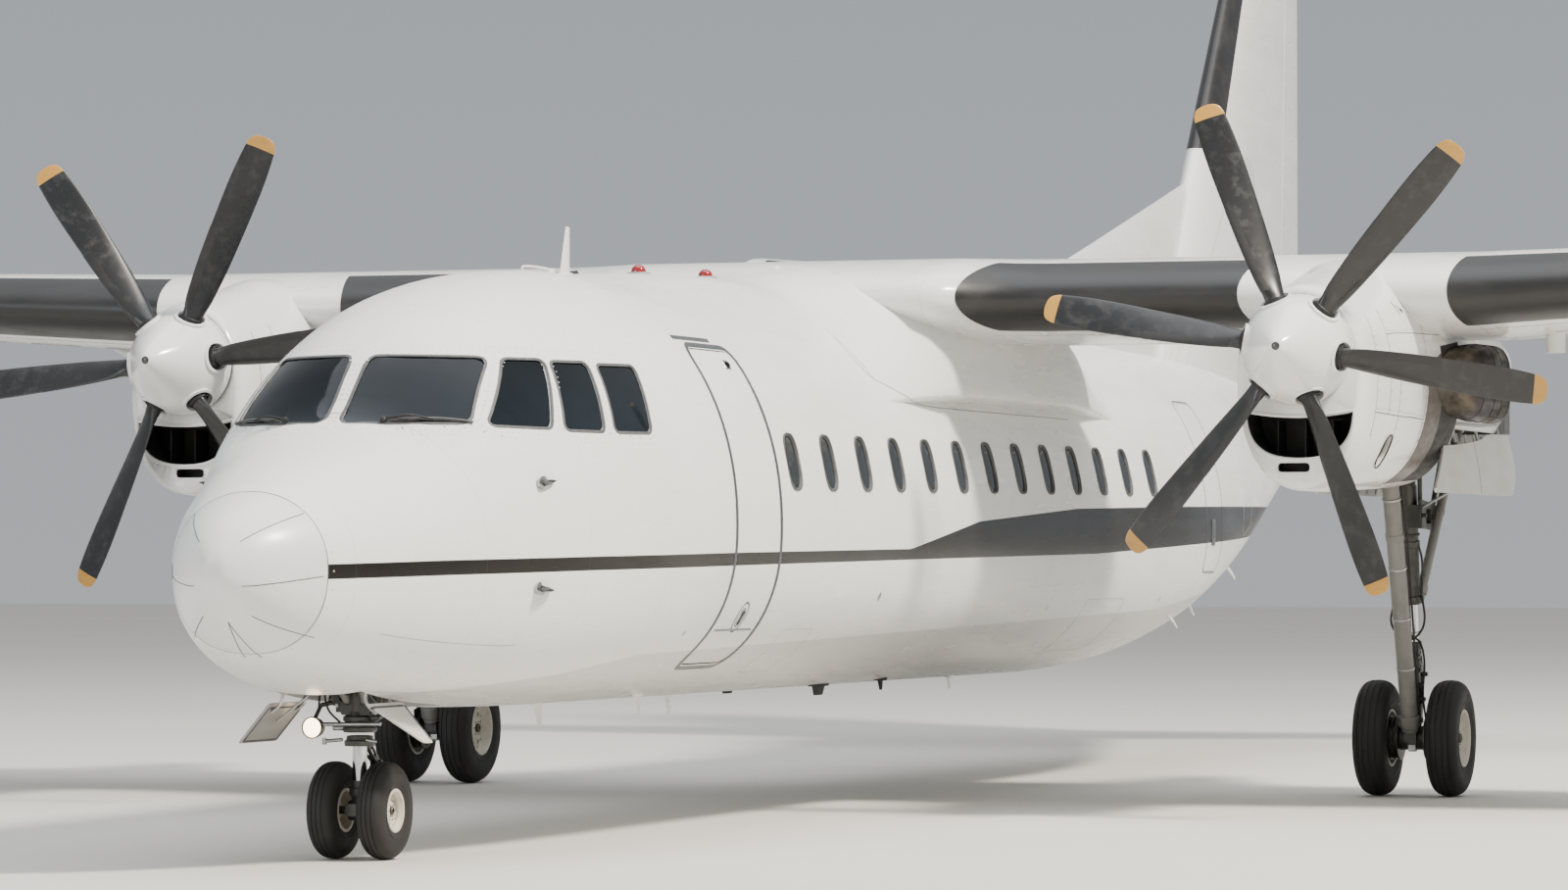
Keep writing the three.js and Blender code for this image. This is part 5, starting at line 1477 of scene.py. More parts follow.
nacelle = cut(
    nacelle_solid(), prism(INTAKE, "front", 8.3, 8.84), prism(SLOT, "front", 8.3, 8.58),
    block(NACELLE_X - .7, NACELLE_X + .7, BAY["first"], BAY["last"], 2, BAY["edge"]),
    block(BAY["inner"], BAY["outer"], BAY["first"], BAY["last"], 2, BAY["roof"]),
    rod(at(NACELLE_X, 8.3, HUB["z"]), at(NACELLE_X, 8.445, HUB["z"]), .371, sides=96),
    oval_rod(VENT_SPOT, VENT_OUT, .125, .085, .045, .1),
    rod(PORT_HOLE_SPOT - PORT_HOLE_OUT * .05, PORT_HOLE_SPOT + PORT_HOLE_OUT * .1, .024))

# Heat-stained stainless plates round the exhaust, browned ahead and black with soot behind
HEAT_PLATE = fitting("heat_browned_steel_plate", "#575049", "#3d3832", .46, .3, 160, .5, (9, .05), (1, 3, 1))
SOOT_PLATE = fitting("sooted_steel_plate", "#171614", "#2b2823", .64, .15, 90, .5, (9, .08), (1, 3, 1))
# Black wire mesh over a cooling vent, shown as a coarse grain.
VENT_MESH = fitting("black_wire_vent_mesh", "#15140f", "#4b463b", .5, .6, 9, .8, (5, .8))
# Intake duct in dark grey composite, matt from grit.
INTAKE_LINER = fitting("grit_worn_composite_intake", "#1c1c1d", "#35342f", .6, 0, 70, .6, (6, .08))


def plate_on_nacelle(outline, out=.003, deep=.005):
    """A thin plate that wraps the nacelle's outer side inside a side-view outline."""
    return cut(within(nacelle_solid(out), prism(outline, "side", NACELLE_X + .18, NACELLE_X + .8)),
               nacelle_solid(-deep))


def side_ring(station, low, high, outer=1, steps=16):
    """A path up the nacelle's side at a station; outer is 1 outboard and -1 inboard."""
    return [NACELLE_SKIN.nearest(at(NACELLE_X + outer * .62, station, z))[0]
            for z in np.linspace(low, high, steps)]


def side_line(first, last, z0, z1, outer=1, steps=12):
    """A path along the nacelle's side between two stations."""
    return [NACELLE_SKIN.nearest(at(NACELLE_X + outer * .62, s, z))[0]
            for s, z in zip(np.linspace(first, last, steps), np.linspace(z0, z1, steps))]


cowl_lines, fastener_rows = [], []
for outer in (1, -1):
    for station, low, high in ((8.68, 2.5, 3.52), (8.97, 2.72, 3.6), (9.2, 2.5, 3.05), (9.9, 2.3, 3.45),
                               (10.9, 2.55, 3.35), (12.2, 2.75, 3.3)):
        cowl_lines.append(side_ring(station, low, high, outer))
        fastener_rows.append(side_ring(station + .03, low + .03, high - .03, outer))
    for first, last, z0, z1 in ((8.68, 9.9, 2.72, 2.7), (8.97, 10.9, 3.33, 3.36), (9.9, 10.98, 2.52, 2.56)):
        cowl_lines.append(side_line(first, last, z0, z1, outer))
        fastener_rows.append(side_line(first + .04, last - .04, z0 + .03, z1 + .03, outer))
slits = [side_line(9.36, 9.44, 3.64, 3.5), side_line(9.44, 9.5, 3.6, 3.52)]
belly_ring = [NACELLE_SKIN.nearest(at(NACELLE_X + .6 * math.sin(t), 9.9, 3.03 - .9 * math.cos(t)))[0]
              for t in np.linspace(-1.2, 1.2, 24)]
cowl_lines.append(belly_ring)
bay_trim = [side_line(BAY["first"], BAY["last"], BAY["edge"], BAY["edge"], outer, 20) for outer in (1, -1)]

# Exhaust duct
EXHAUST_Z = 3.005
duct_share = monotone((10.15, 10.5, 10.88, 11.3), (.25, .75, 1, 1))
duct_x = monotone((10.15, 10.5, 10.88, 11.3), (.43, .56, .66, .69))


def duct_ring(station, shrink, sides=56):
    share = float(duct_share(station))
    wide, tall = .16 * (.6 + .4 * share) - shrink, .275 * share - shrink
    ring = []
    for i in range(sides):
        t = 2 * math.pi * i / sides
        c, s = math.cos(t), math.sin(t)
        ring.append(at(NACELLE_X + float(duct_x(station)) + wide * math.copysign(abs(c) ** .7, c), station,
                       EXHAUST_Z + tall * math.copysign(abs(s) ** .7, s)))
    return ring


duct_outside = loft([duct_ring(s, 0) for s in np.linspace(10.15, 11.3, 16)])
DUCT_SKIN = Surface(duct_outside)
duct = cut(duct_outside, loft([duct_ring(s, .014) for s in (10.8, 10.95, 11.1, 11.31)]))
duct_bands = [strip(DUCT_SKIN, duct_ring(s, 0)[i0:i1], .014, .003, pitch=.05)
              for s in (10.72, 10.9, 11.08, 11.27) for i0, i1 in ((0, 24), (32, 56))]
duct_bands += [strip(DUCT_SKIN, [duct_ring(s, 0)[i] for s in np.linspace(10.6, 11.28, 8)], .01, .003)
               for i in (9, 20, 47)]
jet_pipe = ring_of([(0, .125), (.34, .125), (.36, .118), (.34, .112), (0, .112)],
                   at(NACELLE_X + .67, 10.84, EXHAUST_Z), (0, 1, 0), 48)

for side, way in SIDES:
    node = f"nacelle_{side}"
    piece(f"nacelle_skin_{side}", on_side(nacelle, way), COWL_PAINT, replaces=[node],
          surface=NACELLE_SKIN if way > 0 else None, angle=30)
    lips = [tube([at(x, 8.425, z) for x, z in INTAKE + [INTAKE[0]]], .013, 10),
            tube([at(x, 8.43, z) for x, z in SLOT + [SLOT[0]]], .007, 8)]
    piece(f"intake_lips_{side}", on_side(joined(*lips), way), COWL_PAINT, angle=60)
    liner = cut(prism(grown(INTAKE, -.001), "front", 8.46, 8.838),
                prism(grown(INTAKE, -.012), "front", 8.4, 8.822))
    slot_liner = cut(prism(grown(SLOT, -.0005), "front", 8.45, 8.578),
                     prism(grown(SLOT, -.008), "front", 8.4, 8.57))
    vanes = [block(NACELLE_X + x - .004, NACELLE_X + x + .004, 8.6, 8.83, 2.43, 2.69) for x in (-.19, 0, .19)]
    face = rod(at(NACELLE_X, 8.432, HUB["z"]), at(NACELLE_X, 8.444, HUB["z"]), .3705, sides=72)
    piece(f"intake_liners_{side}", on_side(joined(liner, slot_liner, face, *vanes), way), INTAKE_LINER,
          angle=40)
    piece(f"cowl_seams_{side}", on_side(joined(*(strip(NACELLE_SKIN, p, .007, .0012, pitch=.08)
                                                 for p in cowl_lines)), way),
          SEAL_RUBBER, angle=60)
    piece(f"cowl_fasteners_{side}", on_side(heads_along(
        NACELLE_SKIN, fastener_rows, .06, .0065, .002, BARE_ALUMINIUM), way), BARE_ALUMINIUM)
    vent = oval_rod(VENT_SPOT, VENT_OUT, .124, .084, .044, -.034)
    rim = tube([VENT_SPOT + p for p in (
        (Vector((0, 1, 0)) - VENT_OUT * VENT_OUT.y).normalized() * .086 * math.cos(t)
        + VENT_OUT.cross((Vector((0, 1, 0)) - VENT_OUT * VENT_OUT.y).normalized()) * .126 * math.sin(t)
        for t in circle(40, 1))], .005, 6)
    hole = rod(PORT_HOLE_SPOT - PORT_HOLE_OUT * .049, PORT_HOLE_SPOT - PORT_HOLE_OUT * .02, .0235)
    piece(f"cowl_vents_{side}", on_side(joined(
        vent, rim, hole, *(strip(NACELLE_SKIN, p, .012, .0012) for p in slits)), way),
        VENT_MESH, angle=60)
    brown = plate_on_nacelle(((9.98, 2.28), (10.42, 2.3), (10.36, 3.2), (9.94, 3.1)))
    black = plate_on_nacelle(((10.425, 2.3), (10.97, 2.32), (10.97, 3.3), (10.365, 3.25)))
    piece(f"heat_plates_{side}", on_side(brown, way), HEAT_PLATE, angle=40)
    piece(f"soot_plates_{side}", on_side(black, way), SOOT_PLATE, angle=40)
    piece(f"exhaust_duct_{side}", on_side(duct, way), EXHAUST_METAL,
          replaces=[f"exhaust_{side}"], angle=40)
    piece(f"exhaust_bands_{side}", on_side(joined(*duct_bands), way), EXHAUST_METAL,
          angle=50)
    piece(f"jet_pipes_{side}", on_side(jet_pipe, way), SOOT_PLATE)

    # Wheel bay: ribs across its roof, a rail round its edge and pipes along it
    ribs = [block(BAY["inner"] + .002, BAY["outer"] - .002, s, s + .025, BAY["roof"] - .07,
                  BAY["roof"] - .001)
            for s in np.arange(11.25, 13.4, .3)]
    walls = [block(x, x + .012, BAY["first"] + .01, BAY["last"] - .01, BAY["edge"] + .005, BAY["roof"] - .002)
             for x in (BAY["inner"] + .001, BAY["outer"] - .013)]
    roof = block(BAY["inner"] + .001, BAY["outer"] - .001, BAY["first"] + .01, BAY["last"] - .01,
                 BAY["roof"] - .012, BAY["roof"] - .0005)
    ends = [block(BAY["inner"] + .001, BAY["outer"] - .001, s, s + .012, BAY["edge"] + .005,
                  BAY["roof"] - .002)
            for s in (BAY["first"] + .001, BAY["last"] - .013)]
    pipes = [tube(smooth_path([at(BAY["inner"] + .06 + .05 * k, s,
                                  BAY["roof"] - .085 - .02 * math.sin(s * 3 + k))
                               for s in np.linspace(11.1, 13.35, 8)], 4), .009, 8) for k in range(3)]
    piece(f"main_bay_lining_{side}", on_side(joined(*ribs, *walls, roof, *ends), way), GEAR_DARK,
          angle=40)
    piece(f"main_bay_pipes_{side}", on_side(joined(*pipes), way), BARE_ALUMINIUM)
    rails = joined(*(strip(NACELLE_SKIN, p, .03, .004, pitch=.12) for p in bay_trim))
    piece(f"main_bay_rails_{side}", on_side(rails, way), LAP_SEALANT, angle=60)

# Propellers: radius, chord, thickness, angle of a blade section to the disc
BLADE = ((.19, .15, .15, 55), (.35, .152, .12, 52), (.5, .2, .066, 45), (.85, .238, .034, 37),
         (1.3, .248, .02, 28), (1.66, .212, .012, 23), (1.72, .165, .009, 22.4), (1.738, .11, .007, 22.1),
         (1.745, .04, .005, 22))
blade_chord, blade_thick, blade_angle = (monotone([row[0] for row in BLADE], [row[k] for row in BLADE])
                                         for k in (1, 2, 3))


def blade_section(r):
    """A blade's chord, thickness, angle in radians and share of flatness at a radius."""
    flat = min(max((r - .3) / .2, 0), 1)
    return float(blade_chord(r)), float(blade_thick(r)), math.radians(float(blade_angle(r))), flat


def blade_mesh():
    """One blade up the Z axis: a round root that flattens into a twisted, tapering section."""
    rings = []
    for r in (*np.linspace(.19, 1.66, 34), 1.68, 1.7, 1.72, 1.731, 1.738, 1.743, 1.745):
        chord, thick, angle, flat = blade_section(r)
        ring = []
        for i in range(28):
            t = 2 * math.pi * i / 28
            across = chord / 2 * math.cos(t)
            hollow = 1 if math.sin(t) < 0 else 1 - .25 * flat
            deep = thick / 2 * math.sin(t) * (1 + .28 * flat * math.cos(t)) * hollow
            ring.append((across * math.cos(angle) - deep * math.sin(angle),
                         across * math.sin(angle) + deep * math.cos(angle), r))
        rings.append(ring)
    return loft(rings)


def boot_on_blade():
    """The rubber heater boot over a blade's inner leading edge."""
    rings = []
    for r in np.linspace(.42, 1.02, 14):
        chord, thick, angle, flat = blade_section(r)
        ring = []
        for lift in (.0022, -.002):
            arc = []
            for i in range(17):
                t = math.pi + (i - 8) / 8 * 1.05
                across = (chord / 2 + lift) * math.cos(t)
                deep = (thick / 2 + lift) * math.sin(t) * (1 + .28 * flat * math.cos(t)) * (
                    1 if math.sin(t) < 0 else 1 - .25 * flat)
                arc.append((across * math.cos(angle) - deep * math.sin(angle),
                            across * math.sin(angle) + deep * math.cos(angle), r))
            ring += arc if lift > 0 else arc[::-1]
        rings.append(ring)
    return loft(rings)


SPINNER = ((0, 0), (.025, .05), (.11, .128), (.26, .232), (.42, .322), (.54, .364), (.65, .375))
spinner_radius = monotone([math.sqrt(a) for a, _ in SPINNER], [r for _, r in SPINNER])
SPINNER_PROFILE = [(a, float(spinner_radius(math.sqrt(a)))) for a in (
    0, .0015, .005, .012, .022, .036, .055, .08, .11, .145, .185, .23, .28, .33, .38, .43, .48, .53, .58,
                                                                      .615, .65)]
blade_shape, blade_boot = blade_mesh(), boot_on_blade()
for side, way in SIDES:
    centre = at(way * NACELLE_X, HUB["station"], HUB["z"])
    tip = at(way * NACELLE_X, HUB["tip"], HUB["z"])
    body = f"propeller_{side}"
    cone = turned(SPINNER_PROFILE, tip, (0, 1, 0), 96)
    cone_skin = Surface(cone)
    turns = [math.radians(BLADE_PHASE[side] + 60 * i) for i in range(6)]
    blades, boots, lips, collars, holes = [], [], [], [], []
    for turn in turns:
        place = Matrix.Translation(centre) @ Matrix.Rotation(turn, 4, "Y")
        aim = Vector((math.sin(turn), 0, math.cos(turn)))
        flank = Vector((math.cos(turn), 0, -math.sin(turn)))
        blades.append(moved(blade_shape, place))
        boots.append(moved(blade_boot, place))
        holes.append(rod(centre + aim * .24, centre + aim * .6, .094, sides=40))
        ring = [cone_skin.hit(centre + aim * .7 + flank * .103 * math.cos(t)
                              + Vector((0, .103 * math.sin(t), 0)),
                              -aim)[0] for t in circle(40)]
        lips.append(strip(cone_skin, ring, .024, .017, closed=True, pitch=.03))
        collars.append(ring_of([(.25, .066), (.345, .066), (.352, .072), (.345, .081), (.25, .081)],
                               centre, aim, 36))
    piece(f"propeller_blade_set_{side}", joined(*blades), blade_finish(side, way * NACELLE_X), body,
          [f"propeller_blades_{side}"], angle=50)
    piece(f"blade_heater_boots_{side}", joined(*boots), BOOT_RUBBER, body, angle=60)
    piece(f"blade_root_seals_{side}", joined(*collars), MATT_BLACK, body)
    paint = spinner_finish(side, way * NACELLE_X)
    piece(f"spinner_cone_{side}", cut(cone, *holes), paint, body, [f"spinner_{side}"],
          surface=cone_skin, angle=40)
    piece(f"spinner_root_lips_{side}", joined(*lips), paint, body, angle=60)
    rim = [tip + Vector((.374 * math.cos(t), .612, .374 * math.sin(t)))
           for t in circle(72)]
    heads = [tip + Vector((.374 * math.cos(t), .632, .374 * math.sin(t)))
             for t in circle(72, 1)]
    plate = turned([(.632, .3), (.634, .366), (.65, .372)], tip, (0, 1, 0), 72)
    piece(f"spinner_rear_band_{side}", joined(
        strip(cone_skin, rim, .006, .001, closed=True, pitch=.05),
        heads_along(cone_skin, [heads], .06, .006, .0018, BARE_ALUMINIUM), plate), BARE_ALUMINIUM, body)

# Forward door with its built-in stair, and the vestibule behind it

STAIR = dict(first=4.94, last=5.58, low=1.42, high=2.74, steps=5, half=.016, reach=-.045, gap=.225)
door_panel = shell_of(DOOR, *DOOR_BLOCK, 0, .058)
door_panel = cut(door_panel, rod(at(1.2325, 5.273, 1.388), at(1.5, 5.273, 1.388), .001))
piece("forward_door_skin", door_panel, DOOR_PAINT, "forward_door", ["forward_door"],
      surface=SKIN,
      angle=30)


def door_x(station, z, inward):
    return side_x(station, z) - inward


lining = shell_of(grown(DOOR, -.05), *DOOR_BLOCK, .0585, .068)
treads, grips, nosings = [], [], []
for z in np.linspace(STAIR["low"], STAIR["high"], STAIR["steps"]):
    inner, outer = door_x(5.26, z, STAIR["gap"]), door_x(5.26, z, -STAIR["reach"] + .02)
    treads.append(block(inner, outer, STAIR["first"], STAIR["last"], z - STAIR["half"], z + STAIR["half"]))
    nosings.append(rod(at(inner, STAIR["first"], z), at(inner, STAIR["last"], z), .019, sides=20))
    grips += [block(inner + .012 + .026 * k, inner + .022 + .026 * k, STAIR["first"] + .02,
                    STAIR["last"] - .02,
                    z + STAIR["half"] - .001, z + STAIR["half"] + .0025) for k in range(5)]
sides = [rod(at(door_x(5.26, STAIR["low"] - .12, .085), s, STAIR["low"] - .12),
             at(door_x(5.26, STAIR["high"] + .1, .085), s, STAIR["high"] + .1), .014, sides=16)
         for s in (STAIR["first"] - .006, STAIR["last"] + .006)]
rails = []
for s in (STAIR["first"] - .02, STAIR["last"] + .02):
    rails.append(tube(smooth_path([at(door_x(s, z, inward), s, z) for z, inward in (
        (1.5, .07), (1.62, .2), (1.95, .235), (2.35, .235), (2.62, .2), (2.74, .07))], 6), .0125, 14))
piece("stair_lining", lining, CABIN_LINING, "forward_door", angle=40)
piece("stair_treads", joined(*treads, *sides), GEAR_ENAMEL, "forward_door", angle=40,
      bevel=.002)
piece("stair_grips", joined(*grips, *nosings), STAIR_GRIP, "forward_door", angle=40)
piece("stair_rails", joined(*rails), BARE_ALUMINIUM, "forward_door")
seal_path = skin_path(closed_path(grown(DOOR, -.022), .05), "side", 1)
door_seal = [p - SKIN.nearest(p)[1] * .0625 for p in seal_path]
piece("forward_door_seal", tube(door_seal, .006, 8), SEAL_RUBBER, "forward_door")


def skin_plate(spot, half_wide, half_tall, thick, corner, turn=0.0):
    """A thin plate with rounded corners on the fuselage side, about a point (X, station, Z)."""
    centre, normal = SKIN.nearest(at(*spot))[:2]
    level = Vector((0, 0, 1)).cross(normal).normalized()
    upright = normal.cross(level)
    c, s = math.cos(turn), math.sin(turn)
    outline = rounded(((-half_wide, -half_tall), (half_wide, -half_tall), (half_wide, half_tall),
                       (-half_wide, half_tall)), corner)
    return loft([[centre + normal * lift + level * (u * c - v * s) * share + upright * (u * s + v * c) * share
                  for u, v in outline]
                 for lift, share in ((-.006, 1), (thick * .7, 1), (thick, .96))])


# Dark cast handle inside two round rings, with patches rubbed bright.
HANDLE_METAL = fitting("dark_cast_door_handle", "#2b2e31", "#6b6f72", .42, .5, 30, .6, (4, .1))
HANDLE = (1.232, 5.273, 1.388)
handle_spot, handle_out = SKIN.nearest(at(*HANDLE))[:2]
handle_side = Vector((0, 0, 1)).cross(handle_out).normalized()
handle_up = handle_out.cross(handle_side)


def handle_ring(radius, squash, thick, steps=40):
    points = [handle_spot + handle_out * .001 + handle_side * radius * squash * math.cos(t)
              + handle_up * radius * math.sin(t) for t in circle(steps)]
    return strip(SKIN, points, thick, .002, closed=True, pitch=.02)


grip = loft([[handle_spot + handle_out * lift + handle_side * u + handle_up * v for u, v in rounded(
    ((-.018, -.052), (.018, -.052), (.018, .052), (-.018, .052)), .017)] for lift in (-.002, .004, .006)])
piece("door_handle", joined(handle_ring(.108, .8, .012), handle_ring(.066, .8, .008), grip), HANDLE_METAL,
      "forward_door", angle=50)
lamp_plate = skin_plate((1.076, 5.43, 2.99), .05, .035, .006, .012)
lamp_spot, lamp_out = SKIN.nearest(at(1.076, 5.43, 2.985))[:2]
lamp_lens = turned([(.004, 0), (.004, .026), (.016, .022), (.022, .01), (.0235, 0)], lamp_spot, lamp_out, 28)
piece("door_lamp_plate", lamp_plate, BARE_ALUMINIUM, "forward_door", angle=40)
piece("door_lamp_lens", lamp_lens, CABIN_ACRYLIC, "forward_door")
piece("aft_door_handle", joined(
    skin_plate((1.302, 16.95, 1.98), .075, .11, .004, .03),
    skin_plate((1.30, 16.95, 1.99), .022, .06, .008, .02)), OUTLINE_PAINT, angle=40)

# The room behind the door: stations of its ends, heights of its floor and ceiling, its back wall
ROOM_FRONT, ROOM_END, ROOM_FLOOR, ROOM_TOP, ROOM_BACK = 4.902, 5.618, 1.302, 2.988, .36
room = [block(.352, ROOM_BACK, ROOM_FRONT, ROOM_END, ROOM_FLOOR, ROOM_TOP),
        block(ROOM_BACK, .95, ROOM_FRONT, 4.91, ROOM_FLOOR, ROOM_TOP),
        block(ROOM_BACK, .95, 5.61, ROOM_END, ROOM_FLOOR, ROOM_TOP),
        block(ROOM_BACK, .98, ROOM_FRONT, ROOM_END, 2.98, ROOM_TOP)]
curtain = [block(.361, .372 + .012 * (k % 2), 4.915 + .036 * k, 4.951 + .036 * k, 1.36, 2.9)
           for k in range(19)]
floor_mat = [block(.362, 1.12, 4.912, 5.608, ROOM_FLOOR, 1.31)]
floor_mat += [block(.38, 1.1, 4.94 + .05 * k, 4.955 + .05 * k, 1.3095, 1.313) for k in range(14)]
sill = loft([[at(x, s, z) for x, z in ((.98, 1.303), (1.19, 1.303), (1.19, 1.318), (.98, 1.318))]
             for s in (4.915, 5.605)])
piece("vestibule_lining", joined(*room, *curtain), CABIN_LINING, angle=30)
piece("vestibule_floor", joined(*floor_mat), STAIR_GRIP, angle=30)
piece("door_sill_plate", sill, BARE_ALUMINIUM, angle=30)


# Wheels: rim and web of one wheel about its middle, distances along the axle outwards
def superellipse_crown(half, middle, top, grooves, width, depth, power=2.5):
    """Tread and shoulder of a tyre as (along, radius), from one side to the other."""
    alongs = [half * math.cos(t) for t in np.linspace(0, math.pi, 33)]
    alongs = [a for a in alongs if all(abs(a - g) > width for g in grooves)]
    marks = [(a, 0) for a in alongs]
    for g in grooves:
        marks += [(g + width * .55, 0), (g + width * .45, depth), (g - width * .45, depth),
                  (g - width * .55, 0)]
    marks.sort(key=lambda mark: -mark[0])
    return [(a, middle + (top - middle) * (1 - abs(a / half) ** power) ** (1 / power) - down)
            for a, down in marks]


def tyre_mesh(wheel, centre, grooves, depth):
    half, top, rim = wheel["width"] / 2 * .985, wheel["tyre"], wheel["rim"]
    middle, bead = rim + (top - rim) * .5, half * .8
    side = [(bead + (half - bead) * math.cos(u), middle - (middle - rim + .004) * math.sin(u))
            for u in np.linspace(.15, math.pi / 2, 9)]
    rib = [(bead + (half - bead) * math.cos(.55) + .0035, middle - (middle - rim + .004) * math.sin(.55))]
    side = side[:3] + rib + side[3:]
    crown = superellipse_crown(half, middle, top, grooves, width=top * .022, depth=depth)
    profile = [(a, r) for a, r in side[::-1]] + crown + [(-a, r) for a, r in side]
    return ring_of(profile, centre, (1, 0, 0), 96)


def wheel_mesh(wheel, centre, outward, holes, hole_radius, hole_ring):
    """A split wheel: rim flanges, a dished web with cooling holes and a bearing boss."""
    rim, axle = wheel["rim"], wheel["axle"]
    half = wheel["width"] / 2 * .86
    profile = [(-half, rim - .003), (half, rim - .003), (half + .003, rim - .008), (half, rim - .02),
               (half - .012, rim - .026), (half * .66, rim - .034), (half * .42, rim * .76),
               (half * .36, rim * .7),
               (half * .36, rim * .5), (half * .42, rim * .42), (half * .56, rim * .37),
               (half * .6, axle + .006),
               (half * .58, axle), (-half * .3, axle), (-half * .3, rim * .4), (half * .1, rim * .48),
               (half * .14, rim * .76), (half * .1, rim * .82), (-half + .012, rim - .02), (-half, rim - .02)]
    body = ring_of(profile, centre, (outward, 0, 0), 72)
    cutters = []
    for i in range(holes):
        t = 2 * math.pi * (i + .5) / holes
        spot = centre + Vector((0, math.cos(t), math.sin(t))) * hole_ring
        cutters.append(rod(spot - Vector((.12, 0, 0)), spot + Vector((.12, 0, 0)), hole_radius, sides=20))
    return cut(body, *cutters)


def ring_of_bolts(centre, outward, count, ring, radius, height, turn=0.0):
    parts = []
    for i in range(count):
        t = 2 * math.pi * (i + turn) / count
        spot = centre + Vector((0, math.cos(t), math.sin(t))) * ring
        parts.append(rod(spot, spot + Vector((outward * height, 0, 0)), radius, sides=6))
    return parts


def wheel_pair(name, wheel, body, tyre_nodes, hub_node, x, holes, hole_radius, grooves, depth):
    """Both wheels of a leg with their tyres, caps and through axle."""
    centres = [at(x + out * wheel["spacing"], wheel["station"], wheel["tyre"]) for out in (1, -1)]
    hubs, dark, bolts = [], [], []
    for centre, out in zip(centres, (1, -1)):
        face = wheel["width"] / 2 * .86
        hubs.append(wheel_mesh(wheel, centre, out, holes, hole_radius, wheel["rim"] * .61))
        bolts += ring_of_bolts(centre + Vector((out * face * .3, 0, 0)), out, holes, wheel["rim"] * .73,
                               wheel["rim"] * .034, face * .14)
        dark.append(turned([(face * .2, 0), (face * .2, wheel["axle"] * .98),
                            (face * .72, wheel["axle"] * .98),
                            (face * .78, wheel["axle"] * .8), (face * .78, wheel["axle"] * .45),
                            (face * .66, wheel["axle"] * .4), (face * .66, 0)], centre, (out, 0, 0), 36))
        dark += ring_of_bolts(centre + Vector((out * face * .57, 0, 0)), out, 6, wheel["axle"] * 1.45,
                              wheel["axle"] * .16, .008)
        dark.append(rod(centre + Vector((0, wheel["rim"] * .12, wheel["rim"] * .9))
                        + Vector((out * face * .55, 0, 0)),
                        centre + Vector((0, wheel["rim"] * .16, wheel["rim"] * .9))
                        + Vector((out * face * .95, 0, 0)),
                        .004, sides=8))
    axle = rod(centres[0], centres[1], wheel["axle"] * .97, sides=32)
    piece(f"{name}_wheels", joined(*hubs), HUB_ENAMEL, body, [hub_node], angle=35)
    piece(f"{name}_wheel_bolts", joined(*bolts), BARE_ALUMINIUM, body, angle=30)
    piece(f"{name}_bearing_caps", joined(*dark, axle), BRAKE_STEEL, body, angle=35)
    for node, centre in zip(tyre_nodes, centres):
        tyre = tyre_mesh(wheel, centre, grooves, depth)
        piece(node.replace("tyre", "tyre_tread"), tyre, TYRE_RUBBER, body, [node], angle=32)


for side, way in SIDES:
    order = ("outer", "inner") if way > 0 else ("inner", "outer")
    wheel_pair(f"main_{side}", MAIN, f"main_wheels_{side}", [f"main_tyre_{side}_{place}" for place in order],
               f"main_hubs_{side}", way * MAIN["x"], 10, .019, (-.066, -.022, .022, .066), .006)
wheel_pair("nose", NOSE, "nose_wheels", ["nose_tyre_port", "nose_tyre_starboard"], "nose_hubs", 0, 12, .0085,
           (-.03, 0, .03), .0045)

# Main legs

def on_leg(out, station, z):
    return at(MAIN["x"] + out, station, z)


def collar(first, last, share, long, radius, thick, sides=32):
    """A round band on a tube, at a share of the way along it."""
    first, last = Vector(first), Vector(last)
    axis = (last - first).normalized()
    centre = first.lerp(last, share)
    return turned([(-long / 2, 0), (-long / 2, radius + thick * .6), (-long / 2 + thick * .5, radius + thick),
                   (long / 2 - thick * .5, radius + thick), (long / 2, radius + thick * .6), (long / 2, 0)],
                  centre, axis, sides)


def link_arm(first, last, wide, deep, hole=.5):
    """A flat forged arm with round ends and a lightening hole, seen from the side."""
    first, last = Vector(first), Vector(last)
    axis = (last - first).normalized()
    across = Vector((1, 0, 0))
    normal = axis.cross(across).normalized()
    long = (last - first).length
    outline = [(math.cos(t) * -wide, math.sin(t) * wide) for t in np.linspace(-math.pi / 2, math.pi / 2, 9)]
    outline += [(long + math.cos(t) * wide * .8, math.sin(t) * wide * .8)
                for t in np.linspace(math.pi / 2, -math.pi / 2, 9)]
    arm = loft([[first + axis * u + normal * v + across * lift for u, v in outline]
                for lift in (-deep, deep)])
    window = [(long * (.5 + .28 * math.cos(t) * hole * 1.6), wide * .5 * math.sin(t))
              for t in circle(20)]
    tool = loft([[first + axis * u + normal * v + across * lift for u, v in window]
                 for lift in (-deep * 2, deep * 2)])
    return cut(arm, tool)


# Radii of the leg's tubes
FRONT_STRUT, SIDE_STRUT, CYLINDER, PISTON, SHANK = .064, .036, .0745, .0625, .056
# Pins across the bay that carry the leg: station, height, radius
BAY_PINS = ((12.44, 2.85, .058), (11.78, 2.8, .048), (13.33, 2.82, .043))
# Pins of the torque links: station, height
UPPER_PIN, KNEE_PIN, LOWER_PIN = (12.66, 1.17), (12.93, .9), (12.77, .56)
